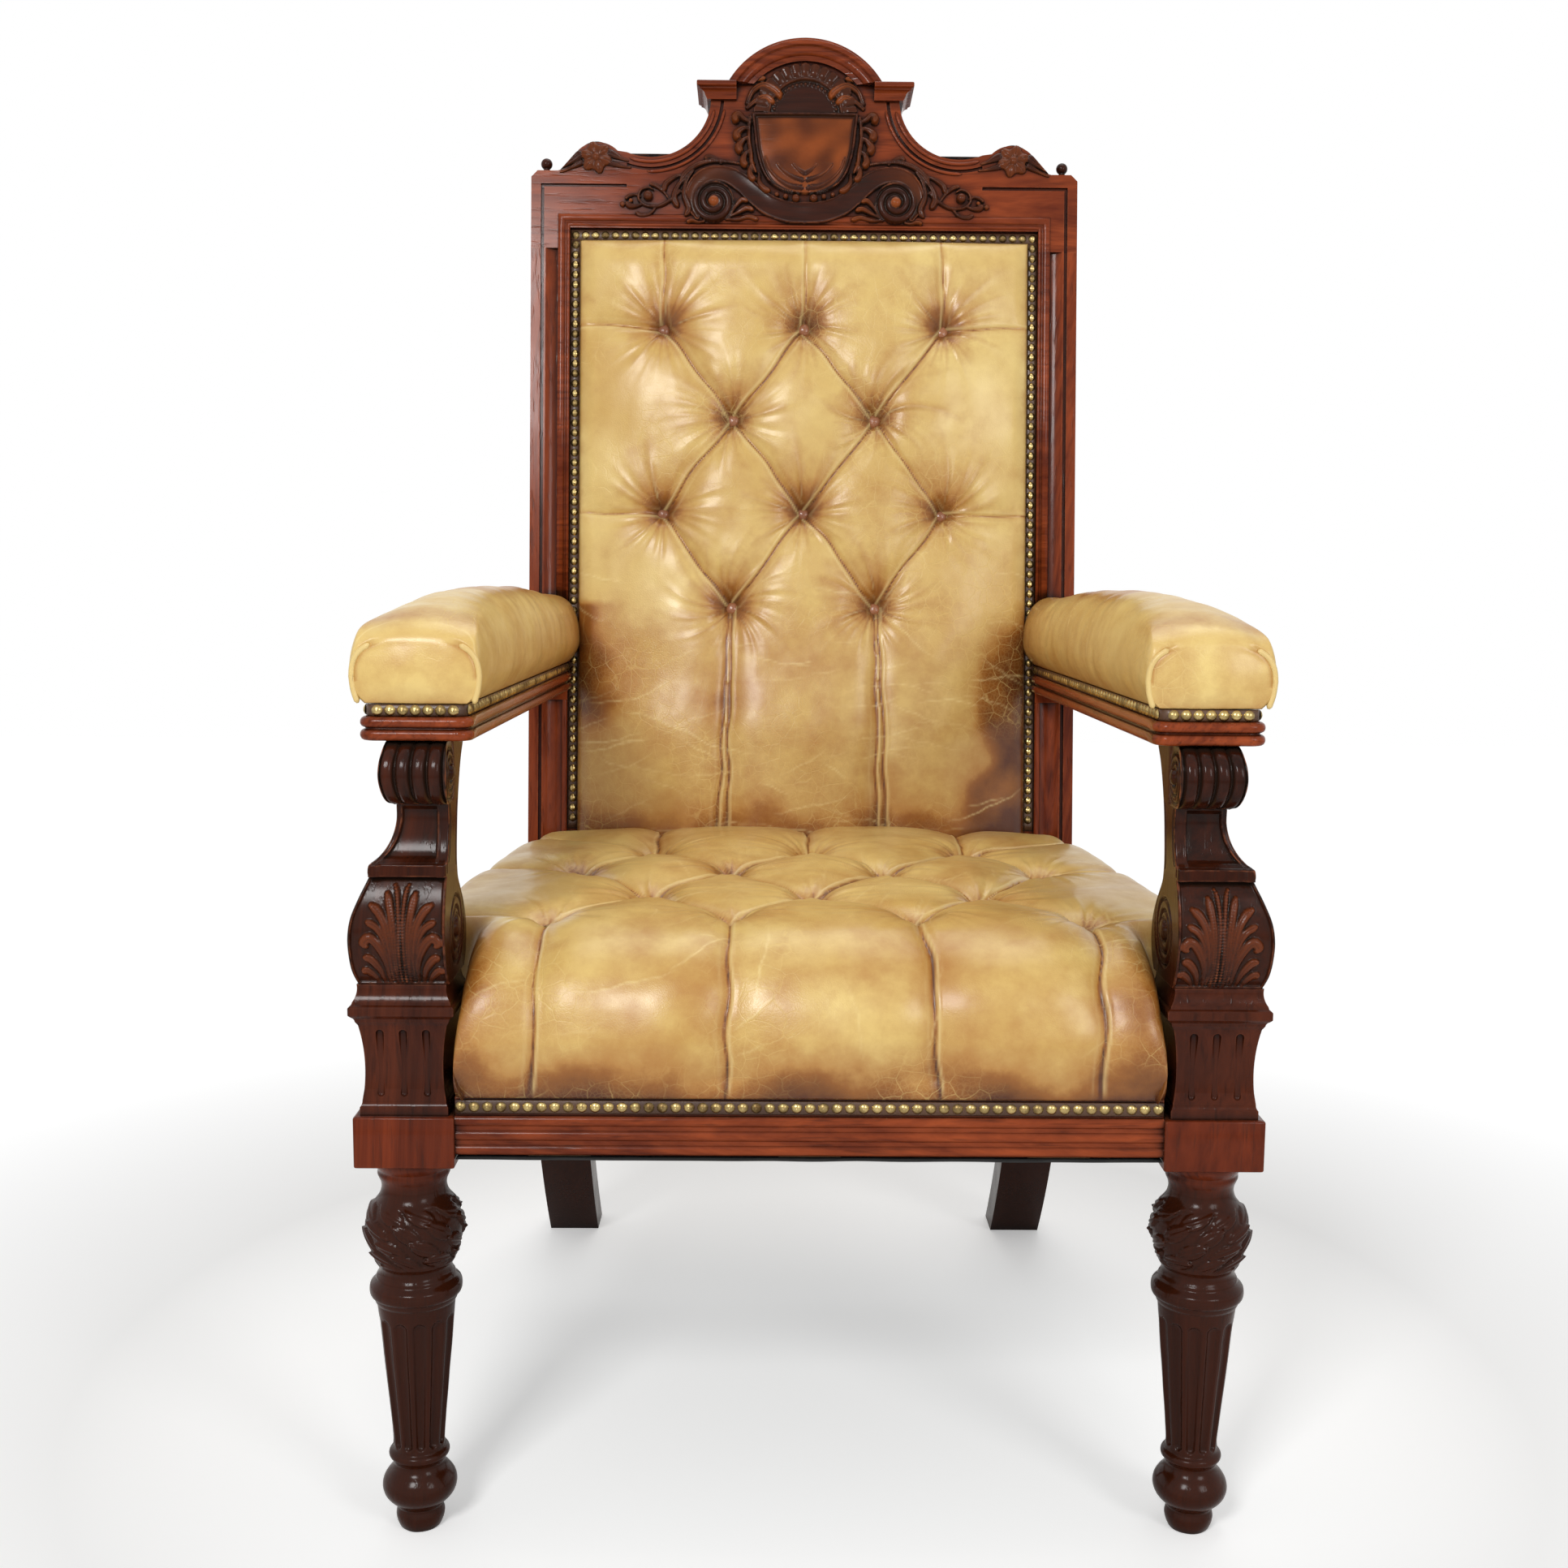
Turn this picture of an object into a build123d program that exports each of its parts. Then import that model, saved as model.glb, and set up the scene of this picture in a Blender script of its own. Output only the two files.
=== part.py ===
from build123d import *
import math
import os

os.makedirs("parts", exist_ok=True)

# Hall chair with scrolled arms, all lengths in millimetres.
# x runs across, y from the front to the back, z up. Left is -x, seen from the front.

# Overall frame
front_width = 725.0
back_width = 587.0
seat_line = 363.0
arm_line = 663.0
post_depth = 45.0
rake = 6.67
back_foot_y = 516.2
foot_sweep = 183.8
foot_depth = 47.0
knee_drop = 32.0
frame_rise = 851.0
crest_rise = 147.0

# Clearances
fit = 0.15
seat_gap = 0.3
overrun = 6.0

# Legs
block_side = 80.0
block_height = 42.0
leg_radius = 41.4
flute_count = 12
flute_radius = 4.2
flute_depth = 2.4
shaft_low_share = 0.257
shaft_high_share = 0.611
shaft_low_radius_share = 0.515
shaft_high_radius_share = 0.768
leg_turning_shares = [
    (0.000, 0.410, 0.0), (0.007, 0.476, 0.0), (0.029, 0.483, 0.0),
    (0.056, 0.452, -0.08), (0.172, 0.515, 0.26), (0.179, 0.515, 0.0),
    (0.226, 0.515, 0.20), (0.257, 0.515, 0.0), (0.611, 0.768, 0.0),
    (0.698, 0.722, 0.18), (0.708, 0.717, 0.0), (0.900, 0.668, 0.19),
    (0.955, 0.705, -0.10), (1.000, 0.920, 0.12)]

# Pedestals between block and arm support
pedestal_height = 107.0
pedestal_half = 41.5
pedestal_shares = [
    (0.000, 0.843, 0.0), (0.065, 0.843, 0.0), (0.110, 0.800, -0.10),
    (0.196, 0.764, 0.0), (0.690, 0.843, -0.04), (0.720, 0.892, 0.0),
    (0.757, 0.952, -0.12), (0.766, 0.976, 0.0), (0.841, 0.976, 0.22),
    (0.850, 0.940, 0.0), (0.870, 0.928, 0.0), (1.000, 0.850, -0.10)]
panel_flutes = 3
panel_flute_width = 6.5
panel_flute_pitch = 18.3
panel_flute_depth = 2.6
panel_flute_low_share = 0.14
panel_flute_high_share = 0.655

# Scrolled arm supports
support_depth = 76.0
support_width = 76.0
support_inset = 2.5
support_side_shares = [
    (0.08, 0.00, 0.0), (0.02, 0.45, 0.165), (-0.02, 0.455, 0.0),
    (-0.03, 0.49, 0.0), (0.07, 0.505, 0.0), (0.20, 0.735, -0.13),
    (-0.145, 0.870, 0.25), (0.18, 1.00, 0.21), (1.26, 1.00, 0.0),
    (0.80, 0.70, -0.14), (0.69, 0.42, -0.03), (1.14, 0.20, 0.12),
    (1.01, 0.00, 0.16)]
support_front_shares = [
    (0.00, 0.00, 0.0), (0.95, 0.00, 0.0), (0.79, 0.45, 0.10),
    (0.81, 0.455, 0.0), (0.81, 0.49, 0.0), (0.73, 0.505, 0.0),
    (0.54, 0.71, -0.10), (0.54, 0.74, 0.0), (0.61, 0.76, 0.0),
    (0.61, 1.00, 0.07), (0.00, 1.00, 0.0)]
volute_y_share = 0.16
volute_z_share = 0.868
lobe_y_share = 0.56
lobe_z_share = 0.205
volute_radius = 25.5
volute_rib_depth = 2.6
volute_rib_gap = 3.6
volute_ribs = 4
eye_radius = 9.0
lobe_eye_radius = 15.0
eye_rise = 3.0
dowel_radius = 6.0
dowel_length = 40.0
neck_panel_depth = 3.0
neck_panel_width = 24.0

# Arm rails
arm_thickness = 19.0
arm_front_y = -4.0
arm_outer_inset = 11.5
arm_inner_overhang = 19.9
arm_rear_inset = 0.5
arm_rear_lap = 8.5
arm_corner = 15.0
arm_bead_gap = 1.2
arm_bead_round = 3.6
platform_height = 9.0
platform_inset = 6.5
arm_tenon_width = 28.0
arm_tenon_height = 11.0
arm_tenon_length = 26.0

# Seat rails
rail_height = 32.0
rail_face = 4.0
rail_set_in = 2.0
rail_thickness = 32.0
rail_rebate = 4.0
reed_count = 3
reed_rise = 2.2
reed_groove = 3.5
rail_tenon_thickness = 11.0
rail_tenon_height = 24.0
rail_tenon_rise = 4.0
rail_tenon_length = 30.0
rear_rail_thickness = 30.0
corner_block_height = 28.0
corner_block_reach = 62.0
screw_length = 34.0
screw_radius = 2.2
screw_head_radius = 4.2
screw_head_height = 2.8
screw_depth = 13.0

# Back frame, in the raked plane: s runs up the rake and n to the rear
post_width = 57.0
rear_rail_offset = 6.0
post_band = 10.5
post_groove = 3.5
post_groove_depth = 3.0
post_hollow_depth = 4.0
post_bead = 6.0
tack_width = 15.5
tack_depth = 6.0
arm_block_low = 290.0
arm_block_high = 398.0
moulding_low = 112.0
bow_share = 0.055
crest_board_drop = 76.0
back_tack_rise = 22.0
lower_rail_low = 100.0
lower_rail_height = 52.0
cross_tenon_length = 24.0
cross_tenon_thickness = 12.0
crest_tenon_width = 26.0
crest_tenon_length = 30.0
crest_tenon_thickness = 14.0

# Crest carving
dip_centre_x = 166.0
dip_centre_rise = 87.0
dip_radius = 65.0
hump_half = 25.0
rosette_x = 222.0
rosette_rise = 20.0
rosette_radius = 17.0
rosette_depth = 7.0
rosette_petals = 6
ball_inset = 14.9
ball_radius = 6.2
ball_neck_radius = 3.4
ball_neck_height = 3.6
ball_foot_radius = 6.8
ball_foot_height = 4.0
cornice_half = 116.0
cornice_height = 17.0
cornice_projection = 15.0
arch_radius = 95.8
arch_band = 22.0
arch_foot = 49.0
arch_projection = 12.0
cornice_shares = [
    (0.00, 0.00, 0.0), (0.30, 0.00, 0.0), (0.42, 0.22, 0.0),
    (0.80, 0.52, -0.16), (0.80, 0.60, 0.0), (1.00, 0.68, 0.0),
    (1.00, 0.86, 0.0), (0.86, 1.00, 0.18), (0.00, 1.00, 0.0)]
fan_radius = 48.0
fan_thickness = 6.0
fan_flutes = 9
fan_flute_radius = 5.6
fan_flute_start_share = 0.35
fan_flute_end_share = 0.85
shield_half = 58.0
shield_height = 85.0
shield_drop = 15.0
shield_thickness = 9.0
shield_border = 5.0
shield_border_rise = 3.0
shield_turn_share = 0.55
scroll_drop = 45.5
scroll_band = 27.0
scroll_thickness = 7.0
scroll_radius = 73.0
scroll_turn_start = 10.0
scroll_turn_end = 150.0
volute_x = 97.0
volute_drop = 27.4
crest_volute_radius = 23.0
crest_volute_thickness = 11.0
leaf_tip_x = 197.0
leaf_rise = 44.0
leaf_thickness = 5.0
leaf_shares = [
    (0.00, 0.10, 0.0), (0.30, 0.00, 0.10), (0.52, 0.12, 0.16), (0.76, 0.10, 0.12),
    (1.00, 0.34, 0.16), (0.74, 0.50, 0.14), (0.62, 0.78, 0.20), (0.36, 0.72, 0.10),
    (0.20, 1.00, 0.22), (0.00, 0.90, 0.08)]

# Leather pads, borders, buttons and nails
seat_rebate_height = 15.3
seat_pad_height = 137.7
seat_pad_crown = 9.0
seat_pad_clearance = 2.3
seat_pad_front = -7.0
seat_back_clearance = 3.2
seat_side_bulge = 6.0
lobe_clearance = 5.0
roll_depth = 42.0
spring_room_height = 64.0
spring_room_margin = 72.0
dimple_depth = 17.0
dimple_bottom_radius = 8.0
dimple_top_radius = 24.0
pleat_depth = 9.0
pleat_half_width = 8.0
button_radius = 7.0
button_rise = 4.0
button_edge_share = 0.25
seat_button_pitch = 76.6
seat_row_y = 115.0
seat_row_pitch = 92.5
seat_rows = 4
back_button_pitch = 74.5
back_row_s = 388.0
back_row_pitch = 99.0
back_rows = 4
back_pad_lap = 3.5
back_pad_lift = 0.6
back_pad_rise = 8.4
back_pad_edge = 7.0
back_pad_crown = 40.0
back_pad_shares = [
    (0.00, 0.70), (0.10, 0.92), (0.25, 1.00), (0.50, 1.00), (0.75, 1.00), (0.90, 0.86), (1.00, 0.25)]
border_thickness = 2.0
border_width = 11.0
nail_radius = 4.3
nail_rise = 2.3
nail_pitch = 10.6
back_nail_gap = 6.0
back_nail_rise = 6.6
arm_pad_height = 84.0
arm_pad_bulge = 6.0
arm_pad_inset = 7.5
arm_edge_share = 0.70
welt_radius = 2.6
cover_thickness = 1.6
cover_lap = 13.0
outside_nail_pitch = 21.2
web_width = 50.0
web_thickness = 1.2
hessian_thickness = 0.9
spring_radius = 34.0
spring_wire = 1.9
spring_turns = 4
spring_pitch_x = 150.0
spring_pitch_y = 125.0
spring_first_y = 160.0
canvas_thickness = 1.0
cloth_thickness = 0.8

# Places that follow from the sizes above
block_outer = front_width / 2
block_inner = block_outer - block_side
support_inner_x = block_inner + support_inset
arm_front_outer = block_outer - arm_outer_inset
arm_front_inner = block_inner - arm_inner_overhang
seat_pad_half = block_inner - seat_pad_clearance
seat_pad_low = seat_line + seat_rebate_height
seat_pad_top = seat_pad_low + seat_pad_height
seat_pad_back = back_foot_y - seat_back_clearance
foot_front_y = back_foot_y + foot_sweep
rail_low = seat_line - rail_height
leg_x = block_outer - block_side / 2
leg_y = block_side / 2
leg_height = seat_line - block_height
cap_top = seat_line + pedestal_height
support_height = arm_line - cap_top
back_half = back_width / 2
post_inner = back_half - post_width
arm_back_outer = back_half - arm_rear_inset
arm_back_inner = post_inner + arm_rear_lap
back_pad_half = post_inner + back_pad_lap
back_nail_x = back_pad_half + back_nail_gap
back_board_low = frame_rise - crest_board_drop
back_tack_top = back_board_low + back_tack_rise
back_pad_low = lower_rail_low + lower_rail_height + back_pad_lift
back_pad_top = back_board_low + back_pad_rise
back_nail_s = back_pad_top + back_nail_rise
ball_x = back_half - ball_inset
shield_bottom = frame_rise - shield_drop
scroll_low = frame_rise - scroll_drop
volute_s = frame_rise - volute_drop
rail_high = seat_pad_low - seat_gap
rake_sin = math.sin(math.radians(rake))
rake_cos = math.cos(math.radians(rake))
raked = Location((0, back_foot_y, seat_line), (-rake, 0, 0))
arc_bulge = (math.sqrt(2) - 1) / 2
rear_rail_y = back_foot_y + rear_rail_offset
side_start = Vector(block_outer - rail_face, block_side, 0)
side_end = Vector(back_half - rail_set_in, back_foot_y, 0)
side_length = (side_end - side_start).length
side_way = (side_end - side_start) / side_length
side_plane = Plane(side_start, x_dir=Vector(-side_way.Y, side_way.X, 0), z_dir=side_way)


def closed_face(rows, plane):
    # Each row is (a, b, bulge): the edge that ends there bulges outwards by bulge times its chord
    pairs = list(zip(rows, rows[1:] + rows[:1]))
    area = sum(p[0] * q[1] - q[0] * p[1] for p, q in pairs)
    side = math.copysign(1, area)
    edges = []
    for p, q in pairs:
        start = plane.from_local_coords(Vector(p[0], p[1], 0))
        end = plane.from_local_coords(Vector(q[0], q[1], 0))
        if q[2] == 0:
            edges.append(Edge.make_line(start, end))
            continue
        across = (q[1] - p[1]) * q[2] * side
        along = (p[0] - q[0]) * q[2] * side
        middle = Vector((p[0] + q[0]) / 2 + across, (p[1] + q[1]) / 2 + along, 0)
        edges.append(Edge.make_three_point_arc(start, plane.from_local_coords(middle), end))
    return Face(Wire(edges))


def mirrored(rows, top_bulge=0.0):
    # Right-hand rows from the bottom up, then their mirror image from the top down
    left = []
    bulge = top_bulge
    for a, b, own_bulge in reversed(rows):
        if a != 0:
            left.append((-a, b, bulge))
        bulge = own_bulge
    return rows + left


def prism(rows, axis, low, high):
    planes = {"x": Plane.YZ, "y": Plane.XZ, "z": Plane.XY}
    ways = {"x": Vector(1, 0, 0), "y": Vector(0, 1, 0), "z": Vector(0, 0, 1)}
    solid = Solid.extrude(closed_face(rows, planes[axis]), ways[axis] * (high - low))
    return solid.moved(Location(ways[axis] * low))


def brick(x_low, x_high, y_low, y_high, z_low, z_high):
    corner = Plane((x_low, y_low, z_low))
    return Solid.make_box(x_high - x_low, y_high - y_low, z_high - z_low, corner)


def rod(start, end, radius):
    way = Vector(*end) - Vector(*start)
    return Solid.make_cylinder(radius, way.length, Plane(start, z_dir=way))


def ball(centre, radius):
    return Solid.make_sphere(radius, Plane(centre))


def capsule(start, end, radius):
    return [rod(start, end, radius), ball(start, radius), ball(end, radius)]


def turned(rows):
    return revolve(closed_face(rows, Plane.XZ), Axis.Z).solid()


def one(shape):
    # The single solid of a boolean result
    solids = shape.solids()
    assert len(solids) == 1, f"{len(solids)} solids"
    return solids[0]


def cut(body, *tools):
    return one(body.cut(*tools))


def join(body, *others):
    return one(body.fuse(*others))


def back_point(s, n):
    y = back_foot_y + s * rake_sin + n * rake_cos
    z = seat_line + s * rake_cos - n * rake_sin
    return y, z


def post_face_y(z):
    return back_foot_y + (z - seat_line) * rake_sin / rake_cos


def behind_post_face(gap):
    # Everything behind the raked front face of the back posts, from gap in front of it
    reach = front_width
    space = brick(-reach, reach, -gap, reach, -reach, reach + frame_rise)
    return raked * space


# Turned front legs
def front_leg():
    rows = [(leg_radius * r, leg_height * z, b) for z, r, b in leg_turning_shares]
    leg = turned([(0, 0, 0.0)] + rows + [(0, leg_height, 0.0)])
    shaft_low = leg_height * shaft_low_share
    shaft_high = leg_height * shaft_high_share
    low_radius = leg_radius * shaft_low_radius_share
    slope = leg_radius * (shaft_high_radius_share - shaft_low_radius_share) / (shaft_high - shaft_low)
    low_z = shaft_low + flute_radius
    high_z = shaft_high - flute_radius
    tools = []
    for i in range(flute_count):
        angle = 2 * math.pi * (i + 0.5) / flute_count
        ends = []
        for z in (low_z, high_z):
            r = low_radius + slope * (z - shaft_low) + flute_radius - flute_depth
            ends.append((r * math.cos(angle), r * math.sin(angle), z))
        tools += capsule(ends[0], ends[1], flute_radius)
    leg = cut(leg, *tools).moved(Location((leg_x, leg_y, 0)))
    block = brick(block_inner, block_outer, 0, block_side, leg_height, seat_line)
    leg = join(leg, block)
    return cut(leg, front_tenon(fit), side_rail_bar(tenon_rows(fit), -rail_tenon_length - fit, overrun),
               *dowels(fit))


def mitred(rows, half):
    across = prism(mirrored(rows), "y", -half, half)
    return one(across.intersect(across.rotate(Axis.Z, 90)))


def arm_pedestal():
    rows = [(pedestal_half * w, pedestal_height * z, b) for z, w, b in pedestal_shares]
    body = mitred(rows, pedestal_half)
    waist = pedestal_half * pedestal_shares[3][1]
    radius = panel_flute_width / 2
    centre = waist + radius - panel_flute_depth + panel_flute_depth / 2
    low = pedestal_height * panel_flute_low_share + radius
    high = pedestal_height * panel_flute_high_share - radius
    tools = []
    for i in range(panel_flutes):
        across = (i - (panel_flutes - 1) / 2) * panel_flute_pitch
        tools += capsule((across, -centre, low), (across, -centre, high), radius)
        tools += capsule((centre, across, low), (centre, across, high), radius)
    body = cut(body, *tools).moved(Location((leg_x, leg_y, seat_line)))
    return cut(body, *dowels(fit))


# Scrolled supports, an S from the side and a flared S from the front
def arm_support():
    side = [(support_depth * y, cap_top + support_height * z, b) for y, z, b in support_side_shares]
    front = [(support_inner_x + support_width * w, cap_top + support_height * z, b)
             for w, z, b in support_front_shares]
    reach = support_width * 2
    body = prism(side, "x", support_inner_x, support_inner_x + reach)
    body = one(body.intersect(prism(front, "y", -reach, reach)))
    volute_y = support_depth * volute_y_share
    volute_z = cap_top + support_height * volute_z_share
    lobe_y = support_depth * lobe_y_share
    lobe_z = cap_top + support_height * lobe_z_share
    volute_width = support_width * support_front_shares[-2][0]
    rib_pitch = (volute_width + volute_rib_gap) / volute_ribs
    grooves = []
    for i in range(1, volute_ribs):
        x = support_inner_x + i * rib_pitch - volute_rib_gap
        outer = rod((x, volute_y, volute_z), (x + volute_rib_gap, volute_y, volute_z), volute_radius * 2)
        inner = rod((x, volute_y, volute_z), (x + volute_rib_gap, volute_y, volute_z),
                    volute_radius - volute_rib_depth)
        rear = brick(x - overrun, x + volute_rib_gap + overrun, volute_y, volute_y + reach,
                     volute_z - reach, volute_z + reach)
        grooves += outer.cut(inner, rear).solids()
    hollow = [support_side_shares[4], support_side_shares[5]]
    panel_x = support_inner_x + support_width * support_front_shares[6][0] / 2
    panel = prism([
        (-reach, cap_top + support_height * hollow[0][1] + neck_panel_depth, 0.0),
        (support_depth * hollow[0][0] + neck_panel_depth,
         cap_top + support_height * hollow[0][1] + neck_panel_depth, 0.0),
        (support_depth * hollow[1][0] + neck_panel_depth,
         cap_top + support_height * hollow[1][1] - neck_panel_depth, -hollow[1][2]),
        (-reach, cap_top + support_height * hollow[1][1] - neck_panel_depth, 0.0)],
        "x", panel_x - neck_panel_width / 2, panel_x + neck_panel_width / 2)
    body = cut(body, panel, *grooves)
    volute_outer = support_inner_x + volute_width + eye_rise
    eyes = [rod((support_inner_x - eye_rise, volute_y, volute_z), (volute_outer, volute_y, volute_z), eye_radius),
            rod((support_inner_x - eye_rise, lobe_y, lobe_z),
                (support_inner_x + support_width + eye_rise, lobe_y, lobe_z), lobe_eye_radius)]
    return cut(join(body, *eyes), *dowels(fit))


def dowels(clearance):
    # Pins through block, pedestal, support and arm, one above the other
    top_x = support_inner_x + support_width * support_front_shares[-2][0] / 2
    places = [(leg_x, seat_line), (leg_x, cap_top), (top_x, arm_line)]
    pins = []
    for x, z in places:
        half = dowel_length / 2 + clearance
        pins.append(rod((x, leg_y, z - half), (x, leg_y, z + half), dowel_radius + clearance))
    return pins


# Arm rails
def arm_plan(inset):
    front = arm_front_y + inset
    corner = arm_corner - inset
    outer = arm_front_outer - inset
    inner = arm_front_inner + inset
    back = post_face_y(arm_line) + post_depth + inset * 2
    return [(inner + corner, front, arc_bulge), (outer - corner, front, 0.0),
            (outer, front + corner, arc_bulge), (arm_back_outer - inset, back, 0.0),
            (arm_back_inner + inset, back, 0.0), (inner, front + corner, 0.0)]


def arm_tenon(clearance):
    x = (arm_back_outer + arm_back_inner) / 2
    half = arm_tenon_width / 2 + clearance
    low = arm_line + (arm_thickness - arm_tenon_height) / 2
    y = post_face_y(arm_line)
    return brick(x - half, x + half, y - overrun, y + arm_tenon_length + clearance,
                 low - clearance, low + arm_tenon_height + clearance)


def arm_rail():
    low = arm_line
    top = low + arm_thickness
    body = prism(arm_plan(0), "z", low, top)
    rims = body.faces().sort_by(Axis.Z)[0].edges() + body.faces().sort_by(Axis.Z)[-1].edges()
    body = body.fillet(arm_bead_round, rims)
    middle = (low + top - arm_bead_gap) / 2
    around = prism(arm_plan(-overrun), "z", middle, middle + arm_bead_gap)
    groove = cut(around, prism(arm_plan(arm_bead_round / 2), "z", middle, middle + arm_bead_gap))
    platform = prism(arm_plan(platform_inset), "z", top, top + platform_height)
    body = cut(join(body, platform), groove, behind_post_face(0))
    return cut(join(body, arm_tenon(0)), *dowels(fit))


def arm_border():
    top = arm_line + arm_thickness
    ring = prism(arm_plan(platform_inset - border_thickness), "z", top, top + platform_height)
    core = prism(arm_plan(platform_inset), "z", top - overrun, top + platform_height + overrun)
    return cut(ring, core, behind_post_face(seat_gap))


# Seat rails, with reeds below a rebate for the leather
def rail_rows():
    reed = (seat_line - rail_low - (reed_count - 1) * reed_groove) / reed_count
    rows = [(reed_rise, rail_low, 0.0)]
    for i in range(reed_count):
        start = rail_low + i * (reed + reed_groove)
        if i > 0:
            rows.append((reed_rise, start, 0.0))
        rows.append((reed_rise, start + reed, reed_rise / reed))
    return rows + [(rail_rebate, seat_line, 0.0), (rail_rebate, rail_high, 0.0),
                   (rail_thickness, rail_high, 0.0), (rail_thickness, rail_low, 0.0)]


def tenon_rows(clearance):
    near = (rail_thickness - rail_tenon_thickness) / 2 - clearance
    far = (rail_thickness + rail_tenon_thickness) / 2 + clearance
    low = rail_low + rail_tenon_rise - clearance
    high = rail_low + rail_tenon_rise + rail_tenon_height + clearance
    return [(near, low, 0.0), (far, low, 0.0), (far, high, 0.0), (near, high, 0.0)]


def front_tenon(clearance):
    half = block_inner + rail_tenon_length + clearance
    rows = [(rail_face + d, z, b) for d, z, b in tenon_rows(clearance)]
    return prism(rows, "x", -half, half)


def side_rail_bar(rows, start, end):
    # A bar along the right side rail; rows are (depth from its outer face, height)
    plane = side_plane
    bar = Solid.extrude(closed_face(rows, plane), plane.z_dir * (end - start))
    return bar.moved(Location(plane.z_dir * start))


def front_seat_rail():
    rows = [(rail_face + d, z, b) for d, z, b in rail_rows()]
    rail = prism(rows, "x", -block_inner, block_inner)
    return cut(join(rail, front_tenon(0)), *corner_screws(fit))


def side_seat_rail():
    rail = side_rail_bar(rail_rows(), -rail_thickness, side_length + post_depth)
    before = brick(0, front_width, -block_side, block_side, 0, arm_line)
    rail = cut(rail, before, behind_post_face(0))
    tenons = side_rail_bar(tenon_rows(0), -rail_tenon_length, side_length + rail_tenon_length)
    return cut(join(rail, tenons), *corner_screws(fit))


def rear_tenon(clearance):
    low = rail_low + rail_tenon_rise - clearance
    high = rail_low + rail_tenon_rise + rail_tenon_height + clearance
    middle = rear_rail_y + rear_rail_thickness / 2
    half = rail_tenon_thickness / 2 + clearance
    reach = post_inner + cross_tenon_length + clearance
    return brick(-reach, reach, middle - half, middle + half, low, high)


def rear_seat_rail():
    rail = brick(-post_inner, post_inner, rear_rail_y, rear_rail_y + rear_rail_thickness, rail_low, rail_high)
    return cut(join(rail, rear_tenon(0)), *corner_screws(fit))


def side_inner_x(y):
    slope = side_plane.z_dir.X / side_plane.z_dir.Y
    lean = abs(side_plane.x_dir.X)
    return block_outer - rail_face - rail_thickness / lean + (y - block_side) * slope


def corner_block_rows():
    rail_back = rail_face + rail_thickness
    reach = corner_block_reach
    low = rail_low + (rail_high - rail_low - corner_block_height) / 2
    rear_y = post_face_y(low)
    front = [(block_inner, rail_back, 0.0), (block_inner - reach, rail_back, 0.0),
             (side_inner_x(block_side + reach), block_side + reach, 0.0),
             (side_inner_x(block_side), block_side, 0.0), (block_inner, block_side, 0.0)]
    rear = [(side_inner_x(rear_y - reach), rear_y - reach, 0.0), (side_inner_x(rear_y), rear_y, 0.0),
            (post_inner, rear_y, 0.0), (post_inner, rear_rail_y, 0.0), (post_inner - reach, rear_rail_y, 0.0)]
    return front, rear, low


def corner_blocks():
    blocks = []
    front, rear, low = corner_block_rows()
    for rows in (front, rear):
        block = prism(rows, "z", low, low + corner_block_height)
        block = cut(block, *corner_screws(fit))
        blocks += [block, block.mirror(Plane.YZ)]
    return Compound(blocks)


def corner_screws(clearance):
    # Two screws in each corner block, square to the rail that they enter
    front, rear, low = corner_block_rows()
    z = low + corner_block_height / 2
    outwards = side_plane.x_dir * -1
    half_reach = corner_block_reach / 2
    front_y = block_side + half_reach
    rear_y = rear[1][1] - half_reach
    places = [(Vector(block_inner - half_reach, front[0][1], z), Vector(0, -1, 0)),
              (Vector(side_inner_x(front_y), front_y, z), outwards),
              (Vector(post_inner - half_reach, rear_rail_y, z), Vector(0, 1, 0)),
              (Vector(side_inner_x(rear_y), rear_y, z), outwards)]
    screws = []
    for at, way in places:
        tip = at + way * (screw_depth + clearance)
        head = at - way * (screw_length - screw_depth)
        seat = head + way * screw_head_height
        shank = rod(tuple(seat), tuple(tip), screw_radius + clearance)
        top = head if clearance == 0 else at - way * front_width / 4
        cap = rod(tuple(top), tuple(seat), screw_head_radius + clearance)
        if clearance == 0:
            screws.append(join(shank, cap))
            screws.append(screws[-1].mirror(Plane.YZ))
        else:
            screws += [shank, cap, shank.mirror(Plane.YZ), cap.mirror(Plane.YZ)]
    return screws


# Back posts, raked above the seat and swept back below it
def cross_bar(low, high, near, far, reach):
    return raked * brick(-reach, reach, near, far, low, high)


def lower_tenon(clearance):
    middle = (tack_depth + post_depth) / 2
    half = cross_tenon_thickness / 2 + clearance
    shoulder = lower_rail_height / 4 - clearance
    return cross_bar(lower_rail_low + shoulder, lower_rail_low + lower_rail_height - shoulder,
                     middle - half, middle + half, post_inner + cross_tenon_length + clearance)


def crest_tenon(clearance):
    x = back_half - post_width / 2
    half = crest_tenon_width / 2 + clearance
    middle = post_depth / 2
    thick = crest_tenon_thickness / 2 + clearance
    return raked * brick(x - half, x + half, middle - thick, middle + thick,
                         back_board_low - overrun, back_board_low + crest_tenon_length + clearance)


def post_mouldings(low, high):
    band = back_half - post_band
    groove = band - post_groove
    bead = post_inner + tack_width + post_bead
    edge = post_inner + tack_width
    bead_drop = post_bead / 3
    hollow = [(bead, -overrun, 0.0), (groove - post_groove / 2, -overrun, 0.0),
              (groove - post_groove / 2, 0, 0.0), (bead, post_hollow_depth, 0.12)]
    round_edge = [(edge, -overrun, 0.0), (bead, -overrun, 0.0), (bead, bead_drop, 0.0),
                  (edge, bead_drop, -1 / 3)]
    return [raked * brick(groove, band, -overrun, post_groove_depth, low, high),
            raked * prism(hollow, "z", low, high), raked * prism(round_edge, "z", low, high)]


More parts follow.
